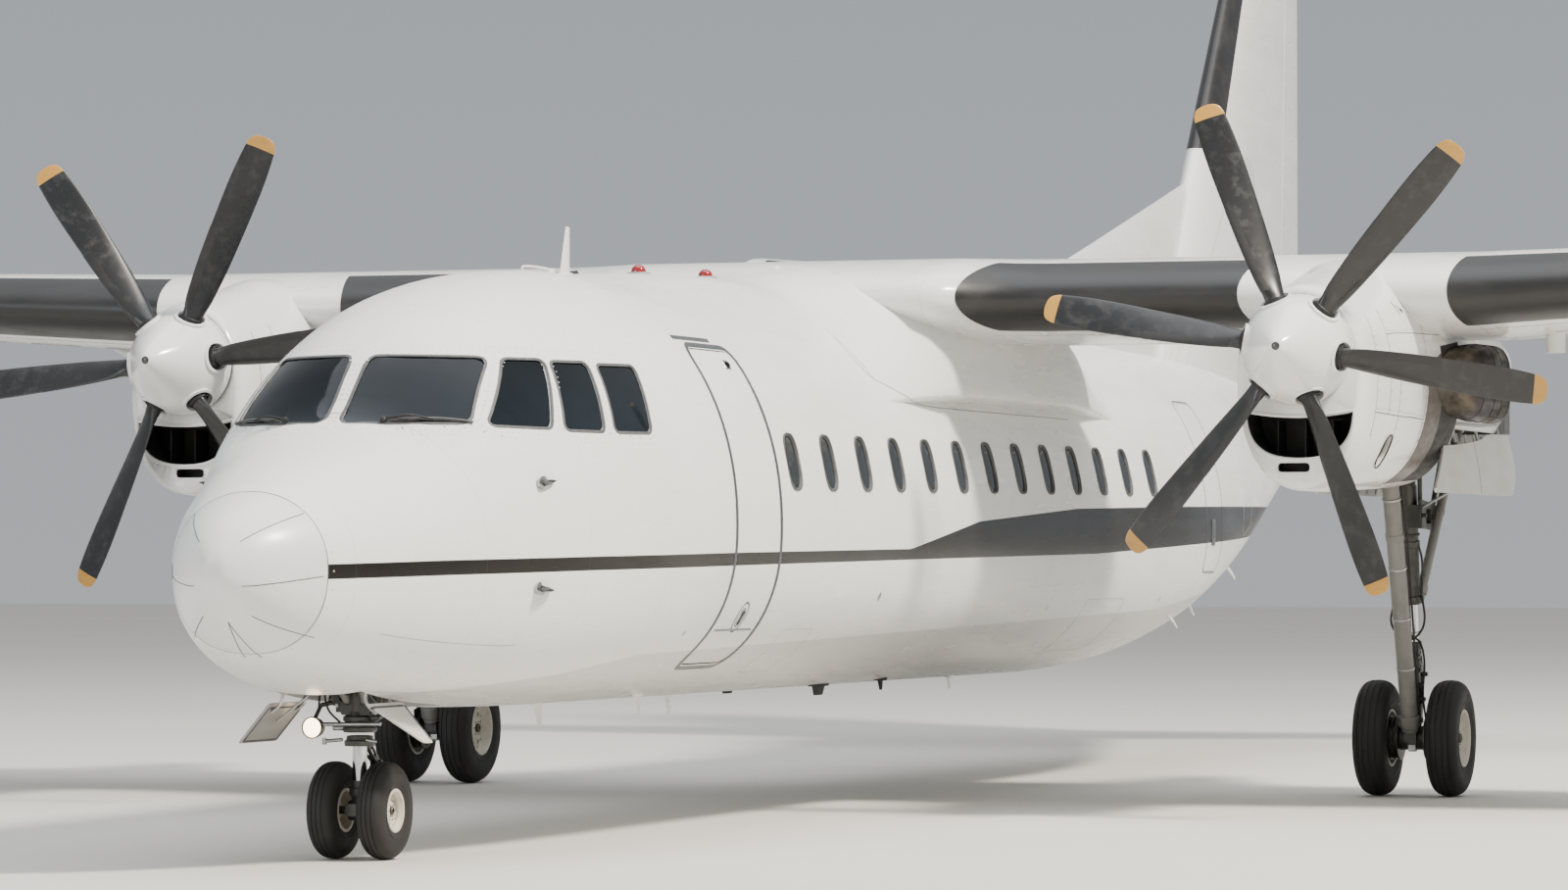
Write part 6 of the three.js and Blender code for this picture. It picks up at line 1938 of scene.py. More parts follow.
# Ends of the sliding tube, and the axle: station, height
PISTON_FOOT, PISTON_HEAD = (12.662, 1.12), (12.62, 1.45)
AXLE = (MAIN["station"], MAIN["tyre"])
struts, dark_tubes, chrome, castings = [], [], [], []
links, hoses, brakes, lights = [], [], [], []
front_low, front_high = on_leg(0, 12.62, .49), on_leg(0, 11.78, 2.8)
struts += [rod(front_low, front_high, FRONT_STRUT, sides=32),
           collar(front_low, front_high, .03, .09, FRONT_STRUT, .012),
           collar(front_low, front_high, .62, .05, FRONT_STRUT, .006),
           collar(front_low, front_high, .97, .1, FRONT_STRUT, .012)]
for out in (-.15, .23):
    low, high = on_leg(out * .28, 12.64, 1.46), on_leg(out, 13.33, 2.82)
    struts += [rod(low, high, SIDE_STRUT, sides=24), collar(low, high, .05, .07, SIDE_STRUT, .01),
               collar(low, high, .48, .045, SIDE_STRUT, .006), collar(low, high, .95, .07, SIDE_STRUT, .01)]
upper_low, upper_high = on_leg(0, 12.622, 1.44), on_leg(0, 12.5, 2.3)
dark_tubes += [rod(upper_low, upper_high, CYLINDER, sides=40),
               collar(upper_low, upper_high, .02, .06, CYLINDER, .014),
               collar(upper_low, upper_high, .5, .05, CYLINDER, .01),
               collar(upper_low, upper_high, .58, .02, CYLINDER, .012),
               rod(on_leg(0, 12.5, 2.26), on_leg(0, 12.44, 2.88), .066, sides=32),
               *(rod(at(BAY["inner"] + .006, s, z), at(BAY["outer"] - .006, s, z), radius)
                 for s, z, radius in BAY_PINS)]
frame_side = [(12.44, 1.985), (12.9, 1.97), (13.07, 2.03), (13.07, 2.12), (12.9, 2.17), (12.44, 2.2)]
frame_window = rounded(((12.62, 2.02), (12.8, 2.02), (12.8, 2.13), (12.62, 2.13)), .03)
frame_small = rounded(((12.87, 2.03), (12.98, 2.05), (12.98, 2.1), (12.87, 2.12)), .02)
for first, last in ((-.12, -.098), (.098, .12)):
    cheek = prism(frame_side, "side", MAIN["x"] + first, MAIN["x"] + last)
    castings.append(cut(cheek, *(prism(hole, "side", MAIN["x"] + first - .02, MAIN["x"] + last + .02)
                                 for hole in (frame_window, frame_small))))
castings += [block(MAIN["x"] - .12, MAIN["x"] + .12, s, s + .022, 1.99, 2.16) for s in (12.45, 12.82, 13.03)]
castings += [rod(on_leg(-.15, s, z), on_leg(.15, s, z), .016, sides=14)
             for s, z in ((12.5, 2.08), (12.84, 2.07), (13.02, 2.07))]
for out in (-.1, .1):
    low, high = on_leg(out, 12.95, 2.17), on_leg(out * 1.8, 13.12, 2.83)
    castings += [rod(low, high, .02, sides=14),
                 rod(on_leg(out, 12.5, 2.18), on_leg(out * 1.6, 12.2, 2.84), .018, sides=14)]
chrome.append(rod(on_leg(0, *PISTON_FOOT), on_leg(0, *PISTON_HEAD), PISTON, sides=48))
shank_low, shank_high = on_leg(0, MAIN["station"], .45), on_leg(0, 12.66, 1.13)
castings += [rod(shank_low, shank_high, SHANK, sides=32), collar(shank_low, shank_high, .98, .07, SHANK, .02),
             collar(shank_low, shank_high, .8, .04, SHANK, .012),
             collar(shank_low, shank_high, .45, .16, SHANK, .014),
             rod(on_leg(-.094, *AXLE), on_leg(.094, *AXLE), .09, sides=40),
             rod(on_leg(-.1, *AXLE), on_leg(.1, *AXLE), .07, sides=40)]
castings += [block(MAIN["x"] - .03, MAIN["x"] + .03, 12.655, 12.70, .355, .5),
             block(MAIN["x"] - .045, MAIN["x"] + .045, 12.60, 12.665, .40, .56)]
hook = cut(prism(rounded(((12.655, .33), (12.72, .33), (12.74, .39), (12.655, .39)), .012), "side",
                 MAIN["x"] - .028, MAIN["x"] + .028),
           rod(on_leg(-.1, 12.69, .355), on_leg(.1, 12.69, .355), .011, sides=20))
for out in (-.042, .042):
    links += [link_arm(on_leg(out, *UPPER_PIN), on_leg(out * .5, *KNEE_PIN), .036, .009),
              link_arm(on_leg(out, *LOWER_PIN), on_leg(out * .5, *KNEE_PIN), .034, .009)]
links += [rod(on_leg(-.06, *pin), on_leg(.06, *pin), radius, sides=18)
          for pin, radius in ((UPPER_PIN, .02), (KNEE_PIN, .017), (LOWER_PIN, .02))]
for k in range(4):
    z = .66 + .11 * k
    castings += [block(MAIN["x"] - .085 + .01 * k, MAIN["x"] - .04, 12.64 - .02 * k, 12.70 - .02 * k, z,
                       z + .035),
                 block(MAIN["x"] + .04, MAIN["x"] + .088 - .008 * k, 12.66 - .02 * k, 12.73 - .02 * k,
                       z + .04, z + .075)]
    lights += [rod(on_leg(-.09 + .01 * k, 12.665 - .02 * k, z + .018),
                   on_leg(-.098 + .01 * k, 12.665 - .02 * k, z + .018),
                   .011, sides=6), rod(on_leg(.09 - .008 * k, 12.69 - .02 * k, z + .058),
                                       on_leg(.1 - .008 * k, 12.69 - .02 * k, z + .058), .011, sides=6)]
lights.append(hook)
lights += [collar(on_leg(0, *PISTON_FOOT), on_leg(0, *PISTON_HEAD), share, .012, PISTON, .008)
           for share in (.22, .3)]
hoses += [tube(smooth_path([on_leg(*p) for p in route], 6), .0085, 8) for route in (
    ((-.09, 12.56, 1.5), (-.12, 12.5, 1.3), (-.05, 12.5, 1.19), (.07, 12.56, 1.16), (.1, 12.64, 1.0),
     (.08, 12.68, .75), (.1, 12.72, .52)),
    ((.09, 12.55, 1.55), (.12, 12.56, 1.32), (.07, 12.58, 1.2), (-.06, 12.6, 1.1), (-.09, 12.64, .9),
     (-.075, 12.7, .7), (-.1, 12.73, .5)),
    ((.02, 12.5, 2.0), (.095, 12.55, 1.8), (.1, 12.57, 1.62), (.085, 12.6, 1.45)),
    ((-.09, 12.42, 2.6), (-.13, 12.4, 2.3), (-.11, 12.46, 2.05), (-.095, 12.5, 1.8), (-.09, 12.56, 1.5)),
    ((.05, 11.9, 2.56), (.085, 12.1, 2.0), (.08, 12.3, 1.45), (.075, 12.45, 1.0), (.07, 12.6, .6)))]
clips = [collar(front_low, front_high, share, .018, FRONT_STRUT, .007) for share in (.2, .36, .52, .74, .86)]
for out in (1, -1):
    for k in range(5):
        centre = on_leg(out * (.102 + .018 * k), *AXLE)
        brakes.append(ring_of([(-.006, .06), (-.006, .165 - .012 * (k % 2)),
                               (.006, .165 - .012 * (k % 2)), (.006, .06)],
                              centre, (1, 0, 0), 48))
    for i in range(6):
        t = math.pi * 2 * (i + .5) / 6
        spot = on_leg(out * .096, *AXLE) + Vector((0, math.cos(t), math.sin(t))) * .125
        brakes.append(rod(spot, spot + Vector((out * .085, 0, 0)), .021, sides=16))
for side, way in SIDES:
    piece(f"main_leg_struts_{side}", on_side(joined(*struts), way), GEAR_ENAMEL,
          replaces=[f"main_leg_{side}"], angle=35)
    piece(f"main_leg_cylinder_{side}", on_side(joined(*dark_tubes), way), GEAR_DARK,
          angle=35)
    piece(f"main_leg_castings_{side}", on_side(joined(*castings), way), GEAR_DARK,
          angle=30,
          bevel=.0025)
    piece(f"main_leg_piston_{side}", on_side(joined(*chrome), way), HARD_CHROME)
    piece(f"main_leg_links_{side}", on_side(joined(*links), way), GEAR_DARK, angle=30)
    piece(f"main_leg_hoses_{side}", on_side(joined(*hoses), way), HOSE_RUBBER)
    piece(f"main_leg_clips_{side}", on_side(joined(*clips, *lights), way), BARE_ALUMINIUM,
          angle=35)
    piece(f"main_brakes_{side}", on_side(joined(*brakes), way), BRAKE_STEEL, angle=35)

# Main gear doors: pressed panels with hat stiffeners, goosenecks and a rod to the leg

def door_sheet(x_high, x_low, outline, thick, bow):
    """A panel between two depths, bowed outwards, cut to an outline in side view."""
    steps = [i / 10 for i in range(11)]
    face = [(x_high + (x_low - x_high) * t + bow * math.sin(math.pi * t), 2.68 - .455 * t) for t in steps]
    back = [(x + thick, z) for x, z in face]
    stations = [s for s, _ in outline]
    body = prism(face + back[::-1], "front", min(stations) - .05, max(stations) + .05)
    return cut(within(body, prism(outline, "side", 3.3, 4.9)), nacelle_solid(.006))


OUTER_DOOR = [(11.0, 2.68), (13.2, 2.68), (13.2, 2.44), (13.16, 2.35), (13.0, 2.235), (12.93, 2.225),
              (10.36, 2.225),
              (10.33, 2.25)]
INNER_DOOR = rounded(((11.04, 2.225), (13.2, 2.225), (13.2, 2.68), (11.04, 2.68)), .04)
outer_panel = door_sheet(4.52, 4.6, OUTER_DOOR, .016, .012)
inner_panel = door_sheet(3.64, 3.575, INNER_DOOR, .016, -.012)


def stiffeners(x_high, x_low, inward, first):
    hats = []
    for s in np.arange(first, 13.1, .29):
        outline = [(x_high + (x_low - x_high) * t
                    + inward * (.004 + .022 * math.sin(math.pi * min(max(t * 1.1, .05), .95))),
                    2.66 - .42 * t) for t in np.linspace(0, 1, 9)]
        face = [(x_high + (x_low - x_high) * t - inward * .001, 2.66 - .42 * t) for t in np.linspace(1, 0, 9)]
        hats.append(prism(outline + face, "front", s, s + .03))
    for t in (.28, .62):
        x, z = x_high + (x_low - x_high) * t + inward * .012, 2.66 - .42 * t
        hats.append(rod(at(x, first, z), at(x, 13.08, z), .011, sides=10))
    return hats


goosenecks = []
for s in (11.4, 12.2, 13.0):
    for x, inward in ((4.522, -1), (3.638, 1)):
        goosenecks.append(tube(smooth_path([at(x, s, 2.6), at(x + inward * .03, s, 2.72),
                                            at(x + inward * .075, s, 2.8),
                                            at(x + inward * .05, s, 2.88)], 5), .012, 10))
door_rods = [rod(at(4.565, 12.45, 2.42), on_leg(.07, 12.53, 2.12), .011, sides=12),
             rod(at(3.612, 12.45, 2.42), on_leg(-.07, 12.53, 2.12), .011, sides=12)]
panel_skin = Surface(outer_panel)
door_seam = strip(panel_skin, [panel_skin.nearest(at(4.7, 11.87, z))[0] for z in np.linspace(2.66, 2.24, 8)],
                  .008, .0015, pitch=.08)
for side, way in SIDES:
    piece(f"main_gear_door_outer_skin_{side}", on_side(outer_panel, way), GEAR_DOOR_PAINT,
          replaces=[f"main_gear_door_outer_{side}"], angle=35, bevel=.003)
    piece(f"main_gear_door_inner_skin_{side}", on_side(inner_panel, way), GEAR_DOOR_PAINT,
          replaces=[f"main_gear_door_inner_{side}"], angle=35, bevel=.003)
    piece(f"main_gear_door_ribs_{side}", on_side(joined(*stiffeners(4.52, 4.6, -1, 11.15), *stiffeners(
        3.656, 3.591, 1, 11.15)), way), GREY_DOOR_PAINT, angle=35)
    piece(f"main_gear_door_arms_{side}", on_side(joined(*goosenecks, *door_rods), way), BARE_ALUMINIUM,
          angle=35)
    piece(f"main_gear_door_seams_{side}", on_side(door_seam, way), SEAL_RUBBER, angle=60)
    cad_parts[f"engine_block_{side}"].data.materials.clear()
    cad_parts[f"engine_block_{side}"].data.materials.append(GEAR_DARK)

# Nose leg, fork and doors

LEG = NOSE["station"]
cheek = [(-.15, 1.16), (.15, 1.16), (.15, 1.0), (.12, .9), (.085, .845), (-.085, .845), (-.12, .9),
         (-.15, 1.0)]
pocket = rounded(((-.1, .93), (-.03, .9), (-.03, 1.1), (-.11, 1.1)), .02)
trunk = cut(prism(cheek, "front", LEG - .075, LEG + .06), prism(pocket, "front", LEG - .2, LEG - .05),
            prism([(-u, z) for u, z in pocket][::-1], "front", LEG - .2, LEG - .05))
nose_castings = [
    trunk, rod(at(0, LEG, .75), at(0, LEG - .025, 1.36), .072, sides=40),
    turned([(0, 0), (0, .094), (.012, .102), (.028, .102), (.034, .09), (.06, .088), (.07, .1),
            (.092, .1), (.1, .085),
            (.12, .08), (.12, 0)], at(0, LEG, .742), (0, 0, 1), 48),
    rod(at(-.28, LEG - .03, 1.3), at(.28, LEG - .03, 1.3), .052, sides=32),
    *(rod(at(out * .13, LEG - .04, .9), at(out * .2, LEG - .06, 1.32), .022, sides=16) for out in (-1, 1)),
    *(block(out * .115 - .014, out * .115 + .014, LEG - .06, LEG + .05, .86, 1.02) for out in (-1, 1)),
    *(rod(at(out * .035 - .004, LEG - .1, .96), at(out * .065, LEG - .09, 1.2), .018, sides=14)
      for out in (-1, 1))]
nose_struts = [rod(at(out * .05, LEG + .01, .87), at(out * .12, 1.56, 1.35), .026, sides=20)
               for out in (-1, 1)]
nose_struts += [rod(at(-.27, 1.56, 1.35), at(.27, 1.56, 1.35), .033, sides=24),
                block(-.09, .09, 2.0, 2.21, .882, .958),
                rod(at(-.1, 2.16, .92), at(.1, 2.16, .92), .02, sides=18)]
steering = [rod(at(out * .055, LEG + .09, .915), at(out * .2, LEG + .075, .93), .032, sides=24)
            for out in (-1, 1)]
steering += [rod(at(out * .2, LEG + .075, .93), at(out * .225, LEG + .073, .932), .024, sides=20)
             for out in (-1, 1)]
fittings = [rod(at(-.19, LEG - .09, .79), at(.17, LEG - .09, .795), .012, sides=12),
            rod(at(-.16, LEG - .02, .77), at(-.08, LEG - .02, .77), .018, sides=14),
            rod(at(.09, LEG - .03, .8), at(.2, LEG - .09, .85), .009, sides=10),
            *(rod(at(out * .11, LEG - .09, .9 + .1 * k), at(out * .11, LEG - .08, .9 + .1 * k), .012, sides=6)
              for out in (-1, 1) for k in range(3))]
nose_hoses = [tube(smooth_path([at(*p) for p in route], 6), .0065, 8) for route in (
    ((.09, LEG - .06, 1.2), (.16, LEG - .1, 1.05), (.17, LEG - .1, .93), (.1, LEG - .08, .85),
     (.09, LEG - .02, .78)),
    ((-.1, LEG - .06, 1.2), (-.19, LEG - .05, 1.08), (-.24, LEG - .03, .97), (-.26, LEG - .01, .85)),
    ((-.05, LEG - .08, 1.15), (-.17, LEG - .1, 1.0), (-.16, LEG - .1, .88), (-.09, LEG - .08, .8)),
    ((.04, LEG + .09, 1.2), (.14, LEG + .13, 1.05), (.12, LEG + .12, .92), (.06, LEG + .1, .8)))]
piece("nose_leg_casting", joined(*nose_castings), GEAR_DARK, replaces=["nose_leg"],
      angle=32,
      bevel=.0025)
piece("nose_leg_struts", joined(*nose_struts, *steering), GEAR_ENAMEL, angle=32)
piece("nose_leg_fittings", joined(*fittings), BARE_ALUMINIUM, angle=32)
piece("nose_leg_hoses", joined(*nose_hoses), HOSE_RUBBER)
# Pins of the nose torque links: station, height
FORK_TOP_PIN, FORK_KNEE_PIN, FORK_LOW_PIN = (LEG + .045, .69), (LEG + .245, .56), (LEG + .045, .35)
fork_castings = [
    turned([(0, 0), (0, .05), (.02, .062), (.05, .062), (.06, .05), (.1, .05)], at(0, LEG, .36),
           (0, 0, 1), 40),
    turned([(0, 0), (0, .088), (.012, .092), (.03, .092), (.038, .08), (.06, .078), (.064, .055), (.064, 0)],
           at(0, LEG, .662), (0, 0, 1), 48),
    rod(at(-.06, LEG, NOSE["tyre"]), at(.06, LEG, NOSE["tyre"]), .06, sides=36),
    rod(at(0, LEG, NOSE["tyre"]), at(0, LEG, .38), .048, sides=32),
    *(rod(at(out * .06, LEG, NOSE["tyre"]), at(out * .07, LEG, NOSE["tyre"]), .045, sides=30)
      for out in (-1, 1)),
    cut(block(-.046, .046, 1.945, 2.03, .256, .326),
        rod(at(-.1, 1.965, .291), at(.1, 1.965, .291), .013, sides=20)),
    *(link_arm(at(out * .026, *FORK_TOP_PIN), at(out * .012, *FORK_KNEE_PIN), .026, .007) for out in (-1, 1)),
    *(link_arm(at(out * .026, *FORK_LOW_PIN), at(out * .012, *FORK_KNEE_PIN), .026, .007) for out in (-1, 1)),
    *(rod(at(-.036, *pin), at(.036, *pin), .014, sides=16)
      for pin in (FORK_TOP_PIN, FORK_KNEE_PIN, FORK_LOW_PIN))]
piece("nose_fork_castings", joined(*fork_castings), GEAR_DARK, "nose_steer", ["nose_fork"],
      angle=32)
piece("nose_fork_piston", rod(at(0, LEG, .44), at(0, LEG, .672), .043, sides=48), HARD_CHROME,
      "nose_steer")
steer_arms = [rod(at(-.09, LEG - .05, .7), at(-.2, LEG - .06, .69), .011, sides=12),
              rod(at(-.2, LEG - .06, .67), at(-.2, LEG - .06, .71), .014, sides=12),
              rod(at(.06, LEG - .05, .7), at(.12, LEG - .03, .69), .011, sides=12)]
piece("nose_fork_fittings", joined(*steer_arms), BARE_ALUMINIUM, "nose_steer", angle=32)

# Nose doors: stations of their ends and heights of their edges, then the section and both side shapes
DOOR_FRONT, DOOR_END, DOOR_TOP, DOOR_LOW = 1.45, 1.96, .925, .69
DOOR_SLOPE = .84
NOSE_DOOR = [(.292, DOOR_TOP), (.49, DOOR_LOW), (.508, DOOR_LOW), (.312, DOOR_TOP)]
NOSE_DOOR_SIDE = rounded(((DOOR_FRONT, DOOR_LOW), (DOOR_END, DOOR_LOW), (DOOR_END, DOOR_TOP),
                          (DOOR_FRONT, DOOR_TOP)), .03)
# The port door tapers to a point aft; the starboard one is a plain slab with dark edges.
POINTED_DOOR_SIDE = rounded(((DOOR_FRONT, DOOR_TOP), (1.84, DOOR_LOW), (DOOR_END, DOOR_LOW),
                             (DOOR_END, DOOR_TOP)), .02)
EDGE_HIGH, EDGE_LOW = .9, .705


def door_edge_x(z):
    """Where the inner face of a nose door stands at a height."""
    return .302 + (DOOR_TOP - z) * DOOR_SLOPE


for side, way in SIDES:
    face = NOSE_DOOR_SIDE if way < 0 else POINTED_DOOR_SIDE
    nose_panel = within(prism(NOSE_DOOR, "front", DOOR_FRONT, DOOR_END), prism(face, "side", .2, .6))
    parts, arms = [], []
    for s in (1.47, 1.94) if way < 0 else (1.95,):
        parts.append(rod(at(door_edge_x(EDGE_HIGH), s, EDGE_HIGH), at(door_edge_x(EDGE_LOW), s, EDGE_LOW),
                         .012, sides=10))
    for z in (EDGE_HIGH, EDGE_LOW) if way < 0 else (EDGE_HIGH,):
        parts.append(rod(at(door_edge_x(z), 1.48, z), at(door_edge_x(z), 1.93, z), .011, sides=10))
    for s in (1.53, 1.88):
        arms.append(tube(smooth_path([at(.33, s, .87), at(.285, s, .905), at(.262, s, .95),
                                      at(.262, s, 1.0)], 5), .009, 10))
    arms.append(rod(at(.37, 1.7, .81), at(.16, 1.78, 1.0), .008, sides=10))
    piece(f"nose_gear_door_skin_{side}", on_side(nose_panel, way),
          GEAR_DOOR_PAINT if way > 0 else GREY_DOOR_PAINT,
          replaces=[f"nose_gear_door_{side}"], angle=35, bevel=.002)
    piece(f"nose_gear_door_edges_{side}", on_side(joined(*parts), way), SEAL_RUBBER,
          angle=35)
    piece(f"nose_gear_door_arms_{side}", on_side(joined(*arms), way), BARE_ALUMINIUM)
BAY_HALF, BAY_TOP = .279, 1.445
bay = [block(x, x + .008, 1.425, 2.615, 1.0, BAY_TOP) for x in (-BAY_HALF, .271)]
bay += [block(-BAY_HALF, BAY_HALF, 1.425, 2.615, 1.436, 1.448),
        block(-BAY_HALF, BAY_HALF, 1.422, 1.43, 1.0, BAY_TOP),
        block(-BAY_HALF, BAY_HALF, 2.608, 2.616, .95, BAY_TOP)]
bay += [block(-.27, .27, s, s + .02, 1.37, 1.437) for s in np.arange(1.5, 2.6, .18)]
piece("nose_bay_lining", joined(*bay), GEAR_DARK, angle=35)

# Taxi lamp on its arm
lamp_middle = at(-.26, 1.95, .77)
shell_ring = ring_of([(.0, .057), (-.004, .062), (0, .064), (.03, .0615), (.07, .054), (.088, .035),
                      (.09, .03),
                      (.086, .03), (.066, .05), (.026, .0575), (.008, .057)], lamp_middle, (0, 1, 0), 56)
lens = turned([(.001, 0), (.0015, .03), (.004, .05), (.007, .057), (.012, .057), (.012, 0)], lamp_middle,
              (0, 1, 0), 56)
back = turned([(.084, 0), (.084, .0305), (.09, .03), (.094, .02), (.094, 0)], lamp_middle, (0, 1, 0), 40)
bracket = [rod(at(-.26, 2.0, .825), at(-.235, 2.03, .9), .012, sides=14),
           rod(at(-.235, 2.03, .9), at(-.1, 2.05, .93), .014, sides=14),
           rod(at(-.26, 2.0, .83), at(-.26, 2.0, .8), .017, sides=14)]
piece("taxi_lamp_shell", joined(shell_ring, back, *bracket), GEAR_DARK,
      replaces=["taxi_lamp"], angle=35)
piece("taxi_lamp_lens", lens, LAMP_GLASS)

# Roof crown ahead of the wing

CROWN = dict(first=5.15, last=9.55, half=.92, sink=.003)
crown_rise = monotone((5.15, 6, 7, 8, 8.9, 9.55), (0, .055, .095, .12, .12, .06))
rows, across = np.linspace(CROWN["first"], CROWN["last"], 46), np.linspace(-1, 1, 37)
crown_top, crown_low = [], []
for s in rows:
    for share in across:
        skin = SKIN.hit(at(share * CROWN["half"], s, 6), Vector((0, 0, -1)))[0]
        lift = float(crown_rise(s)) * (1 - share * share) ** 2 - CROWN["sink"]
        crown_top.append(skin + Vector((0, 0, lift)))
        crown_low.append(skin - Vector((0, 0, .02)))
wide, count = len(across), len(rows) * len(across)
crown_faces = []
for r in range(len(rows) - 1):
    for c in range(wide - 1):
        a, b = r * wide + c, (r + 1) * wide + c
        crown_faces += [(a, a + 1, b + 1, b), (count + a, count + b, count + b + 1, count + a + 1)]
edge = [c for c in range(wide)] + [r * wide + wide - 1 for r in range(1, len(rows))]
edge += [(len(rows) - 1) * wide + c for c in range(wide - 2, -1, -1)] + [r * wide
        for r in range(len(rows) - 2, 0, -1)]
crown_faces += [(edge[i], edge[i - 1], count + edge[i - 1], count + edge[i]) for i in range(len(edge))]
crown = mesh_of(crown_top + crown_low, crown_faces)
ROOF = Surface(crown.copy())
piece("roof_crown_skin", crown, FUSELAGE_PAINT, angle=60)


# Wing fairing: it leaves the fuselage skin tangentially and swells to the full section
def fuselage_half(station, z):
    wide, mid, top, low = fuselage_row(station)
    span, power = (top - mid, UPPER_ROUND) if z > mid else (mid - low, LOWER_ROUND)
    return wide * max(1 - min(abs(z - mid) / span, 1) ** power, 0) ** (1 / power)


def eased(value, first, last):
    t = min(max((value - first) / (last - first), 0), 1)
    return t * t * (3 - 2 * t)


def fairing_ring(station, steps=44):
    """A section of the wing fairing, eased between the fuselage skin and its full shape."""
    half, mid, top, low = fairing_row(min(max(station, 9.9), 12.9))
    swell = eased(station, 8.3, 9.95) * (1 - eased(station, 12.7, 14.6))
    roof = fuselage_row(station)[2]
    rise = float(crown_rise(min(max(station, 5.15), 9.55)))
    inset = .006 * (1 - swell)
    right = []
    for t in np.linspace(-math.pi / 2, math.pi / 2, steps):
        power = 2 / (2.6 if t >= 0 else 2.2)
        x = half * max(math.cos(t), 0) ** power
        z = mid + math.copysign(abs(math.sin(t)) ** power, t) * (top - mid if t >= 0 else mid - low)
        share = (z - low) / (top - low)
        skin_z = 2.8 + (roof - 2.8) * share
        skin_x = fuselage_half(station, skin_z)
        hump = rise * max(1 - (skin_x / CROWN["half"]) ** 2, 0) ** 2
        right.append((skin_x - inset + (x - skin_x + inset) * swell,
                      skin_z + hump - inset + (z - skin_z - hump + inset) * swell))
    return [at(x, station, z) for x, z in right + [(-x, z) for x, z in right[-2:0:-1]]]


fairing = loft([fairing_ring(s) for s in np.linspace(8.3, 14.6, 76)])
FAIRING_SKIN = Surface(fairing)
piece("wing_fairing_skin", cut(fairing, fuselage_solid(7.6, 15.2, -.02)), FUSELAGE_PAINT,
      replaces=["wing_fairing"], surface=FAIRING_SKIN, angle=60)


def outer_skin(station, z, way):
    """The outermost skin at a height, on the fuselage or on the fairing."""
    found = [skin.hit(at(way * 3, station, z), Vector((-way, 0, 0))) for skin in (SKIN, FAIRING_SKIN)]
    return max(found, key=lambda pair: way * pair[0].x if abs(pair[0].z - z) < .01 else 0)


def roof_spot(station, x=0.0):
    """The highest point of the roof at a station, and the way out of it."""
    start = at(x, station, 6)
    found = ROOF.hit(start, Vector((0, 0, -1)))
    skin = SKIN.hit(start, Vector((0, 0, -1)))
    return found if found and found[0].z > skin[0].z else skin


def blade_antenna(root, height, chord, tip_chord, sweep, thick, down=1):
    """A swept blade on an oval foot, standing on a point of the skin."""
    rings = []
    for k in np.linspace(0, 1, 9):
        long = chord + (tip_chord - chord) * k ** 1.15
        start = root + Vector((0, sweep * k ** 1.1 - chord / 2, down * height * k))
        rings.append([start + Vector((thick * (1 - .6 * k) * side * math.sin(math.pi * u) ** .75,
                                      long * u, 0))
                      for side, us in ((1, np.linspace(.0, 1, 9)), (-1, np.linspace(.93, .07, 8)))
                      for u in us])
    foot = loft([[root + Vector((math.cos(t) * (thick * 2.6) * grow, math.sin(t) * (chord * .62) * grow,
                                 down * lift))
                  for t in circle(28)]
                 for lift, grow in ((-.015, 1), (.006, 1), (.011, .93))])
    return joined(loft(rings), foot)


def dome(spot, out, radius, height, steps=9):
    profile = [(-.004, 0), (-.004, radius)] + [
        (height * math.sin(t), radius * math.cos(t)) for t in np.linspace(0, math.pi / 2 - .01, steps)]
    return turned(profile + [(height, 0)], spot, out, 40)


whip = blade_antenna(roof_spot(5.38)[0], .31, .17, .07, .1, .017)
low_aerial = blade_antenna(roof_spot(3.86)[0], .045, .14, .09, .03, .02)
rear_aerial = blade_antenna(roof_spot(16.2)[0], .22, .2, .09, .09, .015)
roof_parts = [whip, low_aerial, rear_aerial]
loop_ends = [roof_spot(s)[0] for s in (4.44, 4.66)]
roof_parts.append(tube(smooth_path([loop_ends[0] - Vector((0, 0, .01)), loop_ends[0] + Vector((0, .01, .03)),
                                    loop_ends[0].lerp(loop_ends[1], .5) + Vector((0, 0, .04)),
                                    loop_ends[1] + Vector((0, -.01, .03)),
                                    loop_ends[1] - Vector((0, 0, .01))], 6), .008, 12))
piece("roof_aerials", joined(*roof_parts), COWL_PAINT, angle=40)
beacons = [roof_spot(s) for s in (6.74, 8.06)]
piece("roof_beacon_lenses", joined(*(dome(spot + out * .012, out, .05, .05) for spot, out,
                                     *_ in beacons)), RED_LENS)
piece("roof_beacon_bases", joined(*(turned([(-.01, 0), (-.01, .085), (.008, .08), (.013, .056),
                                            (.013, 0)], spot, out, 40)
                                    for spot, out, *_ in beacons)), LAP_SEALANT)

# Belly: aerials and drain masts

def belly_spot(x, station):
    return SKIN.hit(at(x, station, -3), Vector((0, 0, 1)))[0]


belly_parts = [blade_antenna(belly_spot(x, s), tall, chord, tip, sweep, .011, -1) for x, s, tall, chord,
               tip, sweep in (
    (.47, 5.45, .13, .13, .06, .07), (0, 2.82, .12, .11, .05, .06), (0, 4.9, .15, .16, .08, .09),
    (0, 7.3, .13, .13, .06, .07), (.36, 12.54, .1, .13, .07, .05))]
dark_belly = [blade_antenna(belly_spot(x, s), tall, chord, tip, .04, .02, -1) for x, s, tall, chord, tip in (
    (.346, 9.47, .075, .3, .2), (.465, 10.52, .08, .1, .06), (-.35, 9.5, .07, .28, .2))]
drains = []
for x, s in ((.969, 19.09), (1.148, 16.28), (.7, 18.2), (.35, 20.4)):
    spot, normal = SKIN.nearest(at(x, s, 1.2 + .12 * (s - 16)))[:2]
    drains.append(tube([spot - normal * .01, spot + normal * .05 + Vector((0, .02, -.02)),
                        spot + normal * .075 + Vector((0, .06, -.05))], [.016, .012, .008], 12))
piece("belly_aerials", joined(*belly_parts, *drains), COWL_PAINT, angle=40)
